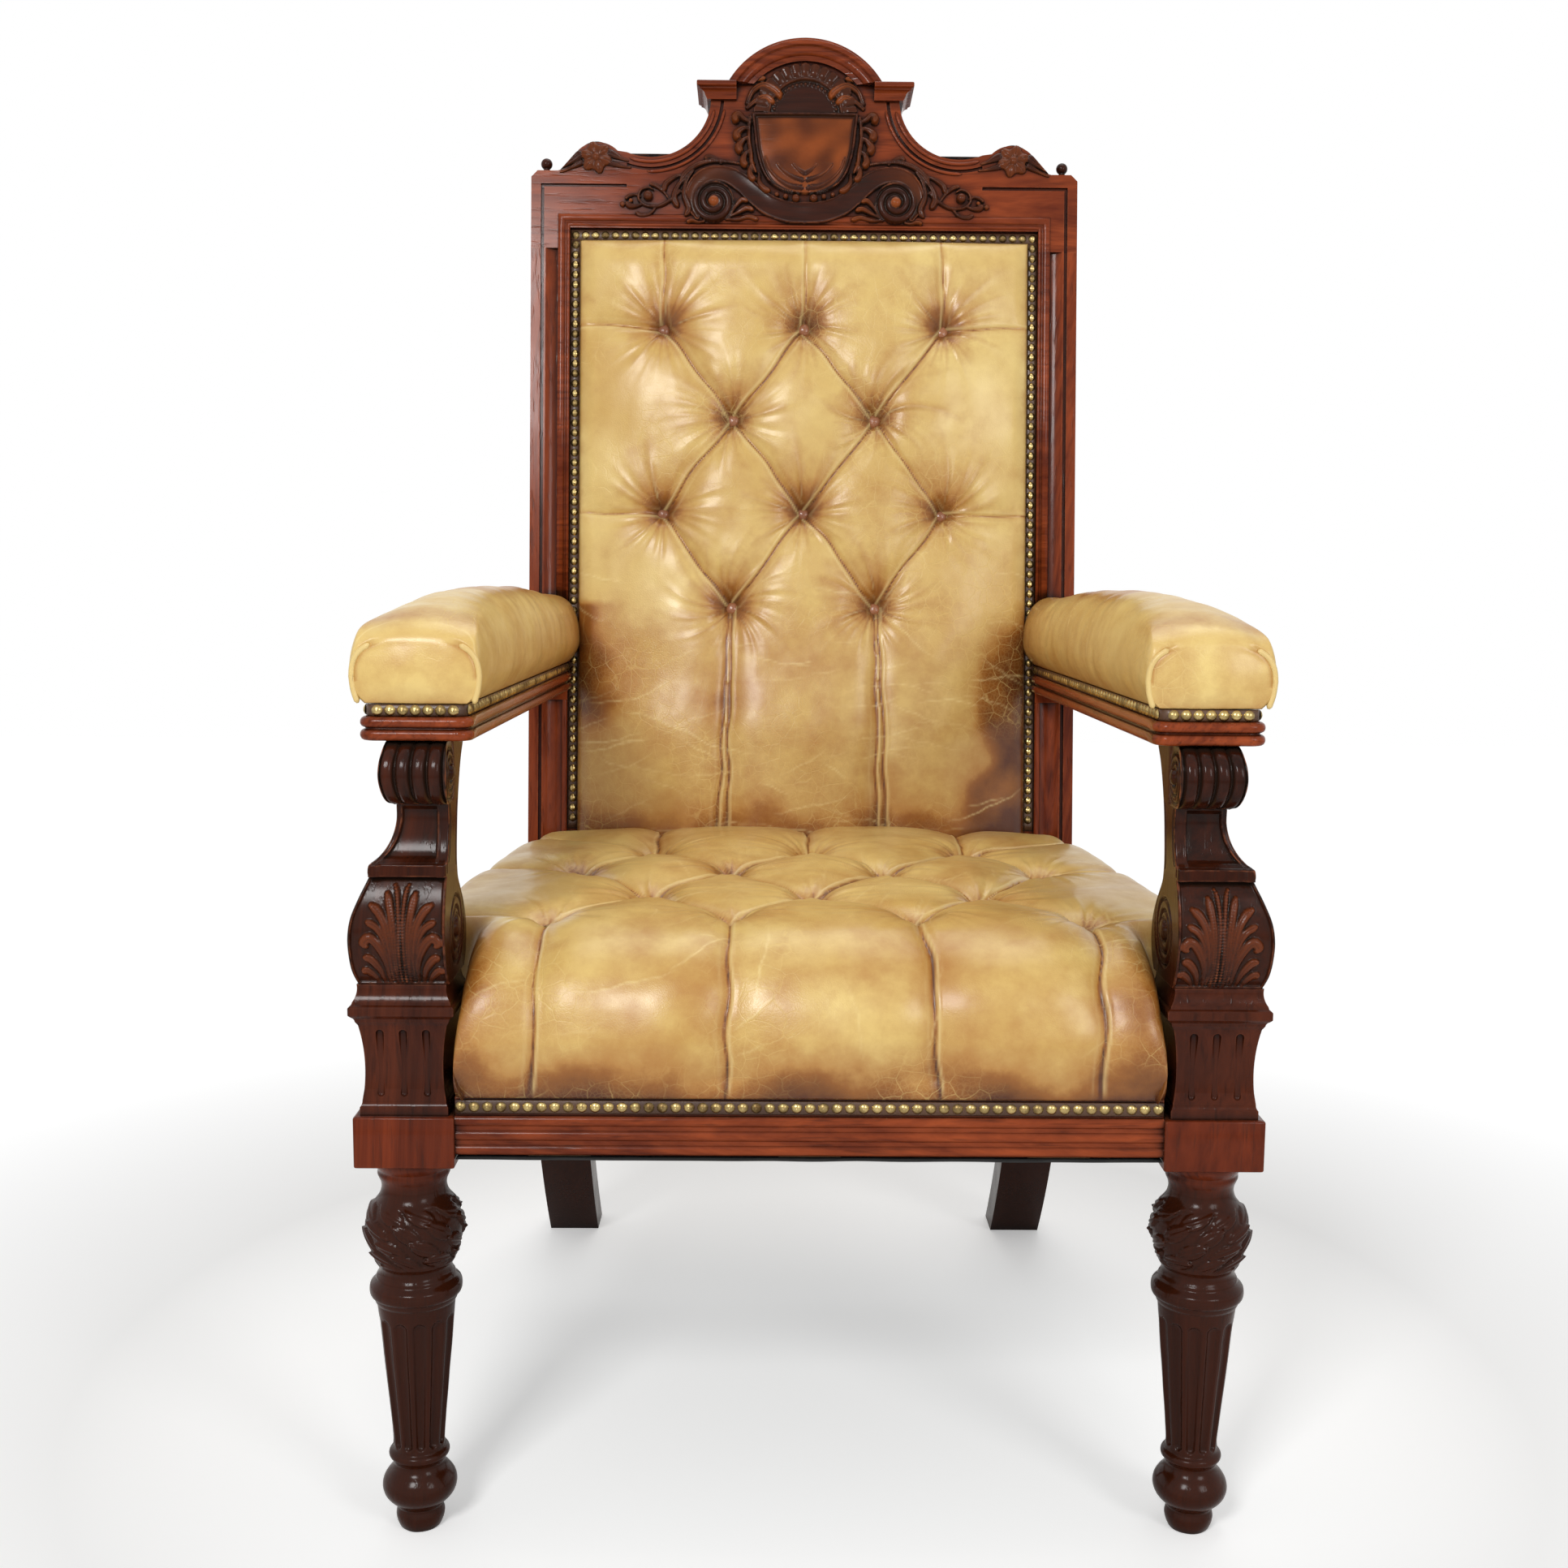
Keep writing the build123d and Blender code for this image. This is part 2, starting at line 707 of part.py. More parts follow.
def back_post():
    knee = -knee_drop
    rows = [(*back_point(knee, 0), 0.0), (foot_front_y, 0, bow_share), (foot_front_y + foot_depth, 0, 0.0),
            (*back_point(knee, post_depth), -bow_share), (*back_point(back_board_low, post_depth), 0.0),
            (*back_point(back_board_low, 0), 0.0)]
    post = prism(rows, "x", post_inner, back_half)
    tack = raked * brick(post_inner - overrun, post_inner + tack_width, -overrun, tack_depth,
                         lower_rail_low, back_board_low + overrun)
    tools = post_mouldings(moulding_low, arm_block_low) + post_mouldings(arm_block_high, back_board_low + overrun)
    post = cut(post, tack, *tools)
    post = join(post, crest_tenon(0))
    side_tenon = side_rail_bar(tenon_rows(fit), side_length - rail_tenon_length,
                               side_length + rail_tenon_length + fit)
    return cut(post, side_tenon, arm_tenon(fit), rear_tenon(fit), lower_tenon(fit))


def back_lower_rail():
    rail = cross_bar(lower_rail_low, lower_rail_low + lower_rail_height, tack_depth, post_depth, post_inner)
    return join(rail, lower_tenon(0))


# Crest board and its carving, drawn in (x, s)
def crest_rows():
    dip_s = frame_rise + dip_centre_rise
    hump_in = rosette_x - hump_half
    start_x = dip_centre_x + hump_half
    start_s = dip_s - math.sqrt(dip_radius ** 2 - hump_half ** 2)
    turn = math.pi - math.atan2(dip_s - start_s, hump_half)
    step = ball_foot_height
    shoulder = frame_rise + ball_foot_radius
    top_radius = arch_radius - border_thickness
    arch_s = frame_rise + crest_rise - arch_radius
    cornice_top = arch_s + arch_foot
    arch_x = math.sqrt(top_radius ** 2 - arch_foot ** 2)
    top_bulge = (top_radius - arch_foot) / (2 * arch_x)
    rows = [(back_half, back_board_low, 0.0), (back_half, frame_rise, 0.0),
            (back_half - ball_foot_radius, shoulder, 0.0),
            (ball_x - 2 * ball_foot_radius, shoulder, 0.0),
            (rosette_x + hump_half, frame_rise + rosette_rise + step, -0.14),
            (hump_in + step, frame_rise + rosette_rise + rosette_radius / 2, 0.24),
            (start_x, start_s, 0.0),
            (dip_centre_x - dip_radius, dip_s, -math.tan(turn / 4) / 2),
            (dip_centre_x - dip_radius, cornice_top, 0.0), (arch_x, cornice_top, 0.0)]
    return rows, top_bulge


def crest_board():
    rows, top_bulge = crest_rows()
    board = prism(mirrored(rows, top_bulge), "y", 0, post_depth)
    tack_half = post_inner + tack_width
    tack = brick(-tack_half, tack_half, -overrun, tack_depth, back_board_low - overrun, back_tack_top)
    band = back_half - post_band
    groove = band - post_groove
    top = frame_rise - post_band + post_groove
    dip_s = frame_rise + dip_centre_rise
    start_x = dip_centre_x + hump_half
    tools = [tack]
    for side in (-1, 1):
        ends = sorted((side * groove, side * band))
        tools.append(brick(*ends, -overrun, post_groove_depth, back_board_low - overrun, top))
        ends = sorted((side * start_x, side * band))
        tools.append(brick(*ends, -overrun, post_groove_depth, top - post_groove, top))
        centre = Vector(side * dip_centre_x, -overrun, dip_s)
        disc = Plane(centre, z_dir=(0, 1, 0))
        outer = Solid.make_cylinder(dip_radius + post_band + post_groove, overrun + post_groove_depth, disc)
        inner = Solid.make_cylinder(dip_radius + post_band, overrun + post_groove_depth, disc)
        ends = sorted((0, side * start_x))
        window = brick(*ends, -overrun, post_groove_depth, frame_rise - post_band, dip_s)
        tools.append(one(outer.cut(inner).intersect(window)))
    board = raked * cut(board, *tools)
    tenon = crest_tenon(fit)
    return cut(board, tenon, tenon.mirror(Plane.YZ))


def crest_hood():
    arch_s = frame_rise + crest_rise - arch_radius
    top = arch_s + arch_foot
    low = top - cornice_height
    neck = dip_centre_x - dip_radius
    across = [(neck + (cornice_half - neck) * f, low + cornice_height * s, b) for f, s, b in cornice_shares[1:-1]]
    front = [(-cornice_projection * f, low + cornice_height * s, b) for f, s, b in cornice_shares]
    front = front[:-1] + [(post_depth, top, 0.0), (post_depth, low, 0.0)]
    bar = one(prism(front, "x", -cornice_half, cornice_half).intersect(
        prism(mirrored(across), "y", -cornice_projection, post_depth)))
    board = brick(-neck - fit, neck + fit, 0, post_depth + overrun, low - overrun, top + overrun)
    inner = arch_radius - arch_band
    middle = brick(-inner, inner, -cornice_projection - overrun, overrun, low - overrun, top + overrun)
    wings = [one(wing) for wing in bar.cut(board, middle).solids()]
    ring_rows = [(inner + arch_band * s, arch_projection * f, -b) for f, s, b in cornice_shares]
    ring = revolve(closed_face(ring_rows, Plane.XZ), Axis.Z).solid()
    ring = ring.moved(Location((0, 0, arch_s), (90, 0, 0)))
    below = brick(-front_width, front_width, -front_width, front_width, arch_s - front_width, top)
    ring = cut(ring, below)
    return raked * join(ring, *wings)


def crest_fan():
    # Half-round fan with hollow rays, under the arch
    low = shield_bottom + shield_height + fan_thickness
    disc = Solid.make_cylinder(fan_radius, fan_thickness, Plane((0, 0, low), z_dir=(0, -1, 0)))
    lower = brick(-front_width, front_width, -front_width, front_width, low - front_width, low)
    fan = cut(disc, lower)
    tools = []
    depth = fan_thickness + fan_flute_radius / 4
    start = fan_radius * fan_flute_start_share
    length = fan_radius * fan_flute_end_share - start
    for i in range(fan_flutes):
        angle = math.pi * (i + 0.5) / fan_flutes
        way = Vector(math.cos(angle), 0, math.sin(angle))
        foot = Plane(Vector(0, -depth, low) + way * start, z_dir=way)
        tools.append(Solid.make_cone(fan_flute_radius / 2, fan_flute_radius, length, foot))
    return raked * cut(fan, *tools)


def shield_rows(margin):
    turn = shield_bottom + shield_height * shield_turn_share
    return mirrored([(0, shield_bottom - margin, 0.17), (shield_half + margin, turn, 0.17),
                     (shield_half + margin, shield_bottom + shield_height + margin, 0.0)])


def crest_shield():
    shield = prism(shield_rows(0), "y", -shield_thickness, 0)
    field = prism(shield_rows(-shield_border), "y", -shield_thickness - overrun,
                  shield_border_rise - shield_thickness)
    return raked * cut(shield, field)


def ring_sector(x, s, inner, outer, thickness, low_angle, high_angle):
    # Part of a flat ring in front of the board, between two angles from +x towards +s
    rows = []
    for radius, angles in ((outer, (low_angle, high_angle)), (inner, (high_angle, low_angle))):
        bulge = math.tan((high_angle - low_angle) / 4) / 2
        start, end = [(x + radius * math.cos(a), s + radius * math.sin(a)) for a in angles]
        rows.append((*start, 0.0))
        rows.append((*end, bulge if radius == outer else -bulge))
    return prism(rows, "y", -thickness, 0)


def crest_scroll():
    outer = scroll_radius + scroll_band
    centre_s = scroll_low + outer
    end = math.atan2(centre_s - volute_s, volute_x)
    arc_low = math.pi + end
    arc_high = 2 * math.pi - end
    low_arc = ring_sector(0, centre_s, scroll_radius, outer, scroll_thickness, arc_low, arc_high)
    lobes = []
    for side in (-1, 1):
        start = math.radians(scroll_turn_start)
        stop = math.radians(scroll_turn_end)
        lobe = ring_sector(volute_x, volute_s, crest_volute_radius + seat_gap,
                           crest_volute_radius + scroll_band * 2 / 3, scroll_thickness, start, stop)
        lobes.append(lobe if side > 0 else lobe.mirror(Plane.YZ))
    body = join(low_arc, *lobes)
    keep_out = [prism(shield_rows(seat_gap), "y", -shield_thickness - overrun, overrun)]
    for side in (-1, 1):
        hole = Plane((side * volute_x, 0, volute_s), z_dir=(0, -1, 0))
        keep_out.append(Solid.make_cylinder(crest_volute_radius + seat_gap, scroll_thickness, hole))
    return raked * max(body.cut(*keep_out).solids(), key=lambda solid: solid.volume)


def crest_volutes():
    solids = []
    for side in (-1, 1):
        face = Plane((side * volute_x, 0, volute_s), z_dir=(0, -1, 0))
        step = crest_volute_thickness / 3
        disc = Solid.make_cylinder(crest_volute_radius, 2 * step, face)
        inner = Solid.make_cylinder(crest_volute_radius / 2, 3 * step, face)
        eye = ball((side * volute_x, -3 * step, volute_s), step)
        groove = Solid.make_torus(crest_volute_radius * 3 / 4, step / 2,
                                  Plane((side * volute_x, -2 * step, volute_s), z_dir=(0, 1, 0)))
        solids.append(raked * cut(join(disc, inner, eye), groove))
    return Compound(solids)


def crest_leaves():
    base = volute_x + crest_volute_radius + scroll_band * 2 / 3 + seat_gap
    length = leaf_tip_x - base
    low = scroll_low + leaf_thickness
    rows = [(base + length * a, low + leaf_rise * b, bulge) for a, b, bulge in leaf_shares]
    leaf = raked * prism(rows, "y", -leaf_thickness, 0)
    return Compound([leaf, leaf.mirror(Plane.YZ)])


def crest_rosettes():
    s = frame_rise + rosette_rise
    petal = rosette_radius / 3
    solids = []
    for side in (-1, 1):
        face = Plane((side * rosette_x, 0, s), z_dir=(0, -1, 0))
        disc = Solid.make_cylinder(rosette_radius * 2 / 3, rosette_depth / 2, face)
        lumps = [Solid.make_cylinder(petal, rosette_depth, face)]
        for i in range(rosette_petals):
            angle = 2 * math.pi * i / rosette_petals
            x = side * rosette_x + (rosette_radius - petal) * math.cos(angle)
            spot = Plane((x, 0, s + (rosette_radius - petal) * math.sin(angle)), z_dir=(0, -1, 0))
            lumps.append(Solid.make_cone(petal, petal / 2, rosette_depth * 3 / 4, spot))
        solids.append(raked * join(disc, *lumps))
    return Compound(solids)


def crest_balls():
    rows = [(0, 0, 0.0), (ball_foot_radius, 0, 0.0), (ball_foot_radius, ball_foot_height / 2, 0.0),
            (ball_neck_radius, ball_foot_height, -0.15),
            (ball_neck_radius, ball_foot_height + ball_neck_height, 0.0),
            (0, ball_foot_height + ball_neck_height, 0.0)]
    top = turned(rows)
    top = join(top, ball((0, 0, ball_foot_height + ball_neck_height + ball_radius / 2), ball_radius))
    solids = []
    for side in (-1, 1):
        place = Location((side * ball_x, ball_foot_radius * 2, frame_rise + ball_foot_radius))
        solids.append(raked * top.moved(place))
    return Compound(solids)


# Seat upholstery
def seat_top_z(x):
    return seat_pad_top - seat_pad_crown * (x / seat_pad_half) ** 2


def tuft_rows(first, pitch, across, count, wide_first):
    # Buttons in a diamond pattern; wide rows hold four, narrow rows three or two
    rows = []
    for i in range(count):
        wide = (i % 2 == 0) == wide_first
        rows.append((first + i * pitch, across[0] if wide else across[1]))
    return rows


def seat_tufts():
    half = seat_button_pitch
    return tuft_rows(seat_row_y, seat_row_pitch,
                     ([-3 * half, -half, half, 3 * half], [-2 * half, 0, 2 * half]), seat_rows, True)


def back_tufts():
    half = back_button_pitch
    return tuft_rows(back_row_s, back_row_pitch, ([-half, half], [-2 * half, 0, 2 * half]), back_rows, True)


def pleat(start, end, up):
    # V-shaped channel from one point to another, open towards up
    a = Vector(*start)
    b = Vector(*end)
    way = b - a
    plane = Plane(a, x_dir=way.cross(up), z_dir=way)
    lift = up.dot(plane.y_dir)
    height = math.copysign(pleat_depth * 3, lift)
    spread = pleat_half_width * 3
    rows = [(0, 0, 0.0), (spread, height, 0.0), (-spread, height, 0.0)]
    return Solid.extrude(closed_face(rows, plane), way)


def tuft_tools(rows, point, up):
    # Dimples at the buttons and channels between each button and its neighbours in the next row
    tools = []
    for along, places in rows:
        for x in places:
            bottom = Vector(*point(x, along, dimple_depth))
            flare = (dimple_top_radius - dimple_bottom_radius) / dimple_depth
            height = dimple_depth * 2
            tools.append(Solid.make_cone(dimple_bottom_radius, dimple_bottom_radius + flare * height,
                                         height, Plane(bottom, z_dir=up)))
    for (along, places), (next_along, next_places) in zip(rows, rows[1:]):
        for x in places:
            for next_x in next_places:
                if abs(x - next_x) < 1.5 * seat_button_pitch:
                    tools.append(pleat(point(x, along, pleat_depth), point(next_x, next_along, pleat_depth), up))
    return tools


def seat_point(x, y, depth):
    return x, y, seat_top_z(x) - depth


def side_pad_x(y):
    lean = abs(side_plane.x_dir.X)
    return side_inner_x(y) + (rail_thickness - rail_rebate) / lean


def seat_pad():
    roll = seat_pad_low + (seat_pad_top - seat_pad_low) * 2 / 3
    front_y = rail_face
    edge_z = seat_top_z(seat_pad_half)
    lap_y = block_side + support_depth / 2
    front_rows = [(front_y, seat_pad_low, 0.0), (front_y + seat_pad_front, roll, 0.07),
                  (front_y + roll_depth, seat_pad_top, 0.24), (lap_y, seat_pad_top, 0.0),
                  (lap_y, seat_pad_low, 0.0)]
    crown_rows = mirrored([(seat_pad_half, seat_pad_low, 0.0), (seat_pad_half, edge_z, 0.0)],
                          seat_pad_crown / (2 * seat_pad_half))
    tongue = prism(front_rows, "x", -seat_pad_half, seat_pad_half)
    tongue = one(tongue.intersect(prism(crown_rows, "y", -front_width, front_width)))
    main_y = support_depth * support_side_shares[-2][0] + lobe_clearance
    sections = []
    for y, draw in ((main_y, seat_side_bulge), ((main_y + seat_pad_back) / 2, 0.0),
                    (seat_pad_back, seat_side_bulge)):
        half = side_pad_x(y) - draw - seat_gap
        edge = seat_top_z(seat_pad_half) - seat_pad_crown / 2 - draw / 2
        lift = (seat_pad_top - draw / 2 - edge) / (2 * half)
        side_bulge = seat_side_bulge / (edge - seat_pad_low)
        rows = mirrored([(half, seat_pad_low, 0.0), (half, edge, side_bulge)], lift)
        rows[0] = (*rows[0][:2], 0.0)
        rows[-1] = (*rows[-1][:2], side_bulge)
        plane = Plane((0, y, 0), x_dir=(1, 0, 0), z_dir=(0, -1, 0))
        sections.append(closed_face(rows, plane).outer_wire())
    body = join(Solid.make_loft(sections), tongue)
    margin = spring_room_margin
    room = brick(margin - side_inner_x(seat_pad_back), side_inner_x(seat_pad_back) - margin,
                 rail_thickness + rail_face + margin / 2, seat_pad_back - margin / 2,
                 seat_pad_low - overrun, seat_pad_low + spring_room_height)
    tools = tuft_tools(seat_tufts(), seat_point, Vector(0, 0, 1))
    first_row, last_row = seat_tufts()[0], seat_tufts()[-1]
    roll_y = front_y + roll_depth
    for x in first_row[1]:
        top = seat_point(x, roll_y, pleat_depth)
        crest = (x, front_y + pleat_depth / 2, roll + roll_depth / 3)
        foot = (x, front_y + pleat_depth / 2, seat_pad_low)
        tools.append(pleat(seat_point(x, first_row[0], pleat_depth), top, Vector(0, 0, 1)))
        tools.append(pleat(top, crest, Vector(0, -1, 1)))
        tools.append(pleat(crest, foot, Vector(0, -1, 0)))
    for x in last_row[1]:
        tools.append(pleat(seat_point(x, last_row[0], pleat_depth),
                           seat_point(x, seat_pad_back + overrun, pleat_depth), Vector(0, 0, 1)))
    return cut(body, room, *tools)


def dome(radius, rise):
    # Cap of a sphere on a flat round base
    whole = (radius ** 2 + rise ** 2) / (2 * rise)
    low = math.degrees(math.asin((whole - rise) / whole))
    return Solid.make_sphere(whole, Plane((0, 0, rise - whole)), low, 90)


def button(radius, rise):
    edge = rise * button_edge_share
    top = dome(radius, rise - edge).moved(Location((0, 0, edge)))
    return join(Solid.make_cylinder(radius, edge), top)


def seat_buttons():
    knob = button(button_radius, button_rise)
    solids = []
    for y, places in seat_tufts():
        for x in places:
            solids.append(knob.moved(Location(seat_point(x, y, dimple_depth))))
    return Compound(solids)


def nail_run(start, end, outwards, pitch):
    # Evenly spaced nail heads from one point to another, facing outwards
    a = Vector(*start)
    b = Vector(*end)
    count = max(1, round((b - a).length / pitch))
    head = dome(nail_radius, nail_rise)
    nails = []
    for i in range(count + 1):
        spot = a + (b - a) * (i / count)
        nails.append(head.moved(Plane(spot, z_dir=outwards).location))
    return nails


def seat_border():
    low = seat_line + (rail_high - seat_line - border_width) / 2
    rows = [(rail_rebate - border_thickness, low, 0.0), (rail_rebate, low, 0.0),
            (rail_rebate, low + border_width, 0.0), (rail_rebate - border_thickness, low + border_width, 0.0)]
    front = prism([(rail_face + d, z, b) for d, z, b in rows], "x", -block_inner, block_inner)
    side = side_rail_bar(rows, 0, side_length + post_depth)
    before = brick(0, front_width, -block_side, block_side, 0, arm_line)
    side = cut(side, before, behind_post_face(0))
    return Compound([front, side, side.mirror(Plane.YZ)])


def seat_nails():
    z = (seat_line + rail_high) / 2
    depth = rail_rebate - border_thickness
    end_x = block_inner - nail_radius - seat_gap
    nails = nail_run((-end_x, rail_face + depth, z), (end_x, rail_face + depth, z), Vector(0, -1, 0), nail_pitch)
    start = side_plane.from_local_coords(Vector(depth, z, nail_pitch))
    end = side_plane.from_local_coords(Vector(depth, z, side_length - nail_pitch / 2))
    side = nail_run(tuple(start), tuple(end), side_plane.x_dir * -1, nail_pitch)
    return Compound(nails + side + [n.mirror(Plane.YZ) for n in side])


def seat_webbing():
    straps = []
    y_low = rail_face + overrun
    y_high = rear_rail_y + rear_rail_thickness - overrun
    for i in range(-2, 3):
        x = 2 * web_width * i
        straps.append(brick(x - web_width / 2, x + web_width / 2, y_low, y_high,
                            rail_low - web_thickness, rail_low))
    first = block_side + web_width
    for i in range(4):
        y = first + 2 * web_width * i
        half = side_inner_x(y) + rail_thickness / 2
        straps.append(brick(-half, half, y - web_width / 2, y + web_width / 2,
                            rail_low - 2 * web_thickness, rail_low - web_thickness))
    return Compound(straps)


def spring_places():
    return [(i * spring_pitch_x, spring_first_y + j * spring_pitch_y) for i in (-1, 0, 1) for j in range(3)]


def seat_springs():
    low = rail_low + spring_wire
    high = seat_pad_low + spring_room_height - canvas_thickness - seat_gap - spring_wire
    pitch = (high - low) / spring_turns
    path = Edge.make_helix(pitch, high - low, spring_radius)
    section = Wire(Edge.make_circle(spring_wire, Plane(path @ 0, z_dir=path % 0)))
    coil = Solid.sweep(Face(section), path)
    return Compound([coil.moved(Location((x, y, low))) for x, y in spring_places()])


def spring_canvas():
    high = seat_pad_low + spring_room_height - seat_gap
    reach = spring_pitch_x + spring_radius + spring_wire
    first = spring_first_y - spring_radius - spring_wire
    last = spring_first_y + 2 * spring_pitch_y + spring_radius + spring_wire
    return brick(-reach, reach, first, last, high - canvas_thickness, high)


def seat_bottom_cloth():
    high = rail_low - 2 * web_thickness
    y_block = block_side + seat_gap
    y_post = post_face_y(rail_low) - overrun
    y_back = rear_rail_y + rear_rail_thickness - seat_gap
    outer = rail_thickness - overrun
    rows = [(block_inner - seat_gap, rail_face + seat_gap, 0.0), (block_inner - seat_gap, y_block, 0.0),
            (side_inner_x(y_block) + outer, y_block, 0.0), (side_inner_x(y_post) + outer, y_post, 0.0),
            (post_inner - seat_gap, y_post, 0.0), (post_inner - seat_gap, y_back, 0.0)]
    return prism(mirrored(rows), "z", high - cloth_thickness, high)


# Back upholstery
def back_depth(x):
    return back_pad_edge + (back_pad_crown - back_pad_edge) * (1 - (x / back_pad_half) ** 2)


def back_local(x, s, depth):
    return x, depth - back_depth(x), s


def back_pad():
    rear = tack_depth - 2 * web_thickness - hessian_thickness
    sections = []
    swell = back_row_pitch * 2 / 3
    length = back_pad_top - back_pad_low
    for s_share, share in back_pad_shares:
        s = back_pad_low + length * s_share
        edge = -back_pad_edge * share
        crown = -back_pad_crown * share
        bulge = (edge - crown) / (2 * back_pad_half)
        rows = [(back_pad_half, rear, 0.0), (back_pad_half, edge, 0.0),
                (-back_pad_half, edge, bulge), (-back_pad_half, rear, 0.0)]
        sections.append(closed_face(rows, Plane((0, 0, s))).outer_wire())
    body = Solid.make_loft(sections)
    forward = Vector(0, -1, 0)
    tools = tuft_tools(back_tufts(), back_local, forward)
    first_row, last_row = back_tufts()[0], back_tufts()[-1]
    for x in last_row[1]:
        tools.append(pleat(back_local(x, last_row[0], pleat_depth),
                           back_local(x, back_pad_top - swell / 2, pleat_depth * 2), forward))
    for x in first_row[1]:
        tools.append(pleat(back_local(x, first_row[0], pleat_depth),
                           back_local(x * 1.15, back_pad_low - overrun, pleat_depth), forward))
    for s, places in back_tufts():
        if len(places) < len(first_row[1]) + 1:
            continue
        for x in (places[0], places[-1]):
            end = math.copysign(back_pad_half, x)
            tools.append(pleat(back_local(x, s, pleat_depth), back_local(end, s, pleat_depth / 2), forward))
    return raked * cut(body, *tools)


def back_buttons():
    knob = button(button_radius, button_rise)
    solids = []
    for s, places in back_tufts():
        for x in places:
            spot = Plane(Vector(*back_local(x, s, dimple_depth)), z_dir=(0, -1, 0))
            solids.append(raked * knob.moved(spot.location))
    return Compound(solids)


def back_border():
    near = tack_depth - border_thickness
    outer = back_nail_x + border_width / 2
    inner = back_pad_half + seat_gap
    top = back_nail_s + border_width / 2
    strip = brick(-outer, outer, near, tack_depth, lower_rail_low + lower_rail_height, top)
    opening = brick(-inner, inner, -overrun, tack_depth + overrun, lower_rail_low, back_pad_top + seat_gap)
    return raked * cut(strip, opening)


def back_nails():
    n = tack_depth - border_thickness
    low = back_pad_low + nail_pitch
    forward = Vector(0, -1, 0)
    side_top = back_nail_s - nail_pitch
    nails = nail_run((-back_nail_x, n, back_nail_s), (back_nail_x, n, back_nail_s), forward, nail_pitch)
    for x in (-back_nail_x, back_nail_x):
        nails += nail_run((x, n, low), (x, n, side_top), forward, nail_pitch)
    return Compound([raked * head for head in nails])


def back_webbing():
    far = tack_depth
    straps = []
    low = lower_rail_low + overrun
    high = back_pad_top
    for i in range(-2, 3):
        x = 1.8 * web_width * i
        straps.append(raked * brick(x - web_width / 2, x + web_width / 2, far - web_thickness, far, low, high))
    reach = back_pad_half - seat_gap
    for i in range(6):
        s = back_pad_low + web_width + 2 * web_width * i
        straps.append(raked * brick(-reach, reach, far - 2 * web_thickness, far - web_thickness,
                                    s - web_width / 2, s + web_width / 2))
    return Compound(straps)


def back_hessian():
    far = tack_depth - 2 * web_thickness
    reach = back_pad_half - seat_gap
    return raked * brick(-reach, reach, far - hessian_thickness + seat_gap / 3, far,
                         back_pad_low, back_pad_top)


def back_outside_cover():
    reach = post_inner + cover_lap
    return raked * brick(-reach, reach, post_depth, post_depth + cover_thickness,
                         lower_rail_low + cover_lap, back_board_low + cover_lap)


def outside_nails():
    n = post_depth + cover_thickness
    rear = Vector(0, 1, 0)
    x = post_inner + cover_lap - nail_radius * 1.5
    low = lower_rail_low + cover_lap + nail_radius * 1.5
    high = back_board_low + cover_lap - nail_radius * 1.5
    pitch = outside_nail_pitch
    nails = nail_run((-x, n, low), (x, n, low), rear, pitch) + nail_run((-x, n, high), (x, n, high), rear, pitch)
    for side in (-x, x):
        nails += nail_run((side, n, low + pitch), (side, n, high - pitch), rear, pitch)
    return Compound([raked * head for head in nails])


# Arm upholstery
def arm_section(y, shrink, bulge):
    low = arm_line + arm_thickness + platform_height + seat_gap
    end = post_face_y(arm_line)
    share = (y - arm_front_y) / (end - arm_front_y)
    outer = arm_front_outer + (arm_back_outer - arm_front_outer) * share - arm_pad_inset - shrink
    inner = arm_front_inner + (arm_back_inner - arm_front_inner) * share + arm_pad_inset + shrink
    edge = low + arm_pad_height * arm_edge_share
    side = (arm_pad_bulge * bulge) / (edge - low)
    half = (outer - inner) / 2
    crown = (arm_pad_height * (1 - arm_edge_share) - shrink) / (2 * half)
    rows = [(inner, low, 0.0), (outer, low, 0.0), (outer, edge, side), (inner, edge, crown)]
    rows[0] = (inner, low, side)
    return rows


def arm_pad():
    end = post_face_y(arm_line) + post_depth
    sections = []
    front = arm_front_y + platform_inset - border_thickness
    for y, shrink, bulge in ((front, arm_pad_inset / 2, 1.0), (front + arm_corner, arm_pad_inset / 8, 1.7),
                             (front + 3 * arm_corner, 0.0, 2.0), (front + end / 3, 0.0, 2.0),
                             (front + end * 2 / 3, 0.0, 1.6), (end, 0.0, 0.8)):
        plane = Plane((0, y, 0), x_dir=(1, 0, 0), z_dir=(0, -1, 0))
        sections.append(closed_face(arm_section(y, shrink, bulge), plane).outer_wire())
    body = Solid.make_loft(sections, ruled=True)
    grooves = welt_tubes(welt_radius + seat_gap)
    return cut(body, behind_post_face(seat_gap), grooves)


def welt_tubes(radius):
    # Piping over the sides and the top of the pad, just behind its front
    y = arm_front_y + platform_inset - border_thickness + welt_radius * 2
    rows = arm_section(y, arm_pad_inset / 3, 1.3)
    face = closed_face(rows, Plane((0, y, 0), x_dir=(1, 0, 0), z_dir=(0, -1, 0)))
    low = arm_line + arm_thickness + platform_height + seat_gap
    edges = [edge for edge in face.outer_wire().edges() if edge.geom_type == GeomType.CIRCLE]
    pieces = []
    for edge in edges:
        section = Face(Wire(Edge.make_circle(radius, Plane(edge @ 0, z_dir=edge % 0))))
        pieces.append(Solid.sweep(section, edge))
        pieces.append(ball(tuple(edge @ 0), radius))
        pieces.append(ball(tuple(edge @ 1), radius))
    tube = join(pieces[0], *pieces[1:])
    under = brick(0, front_width, -front_width, front_width, 0, low - welt_radius + radius - seat_gap)
    return cut(tube, under)


def arm_welts():
    welt = welt_tubes(welt_radius)
    return Compound([welt, welt.mirror(Plane.YZ)])


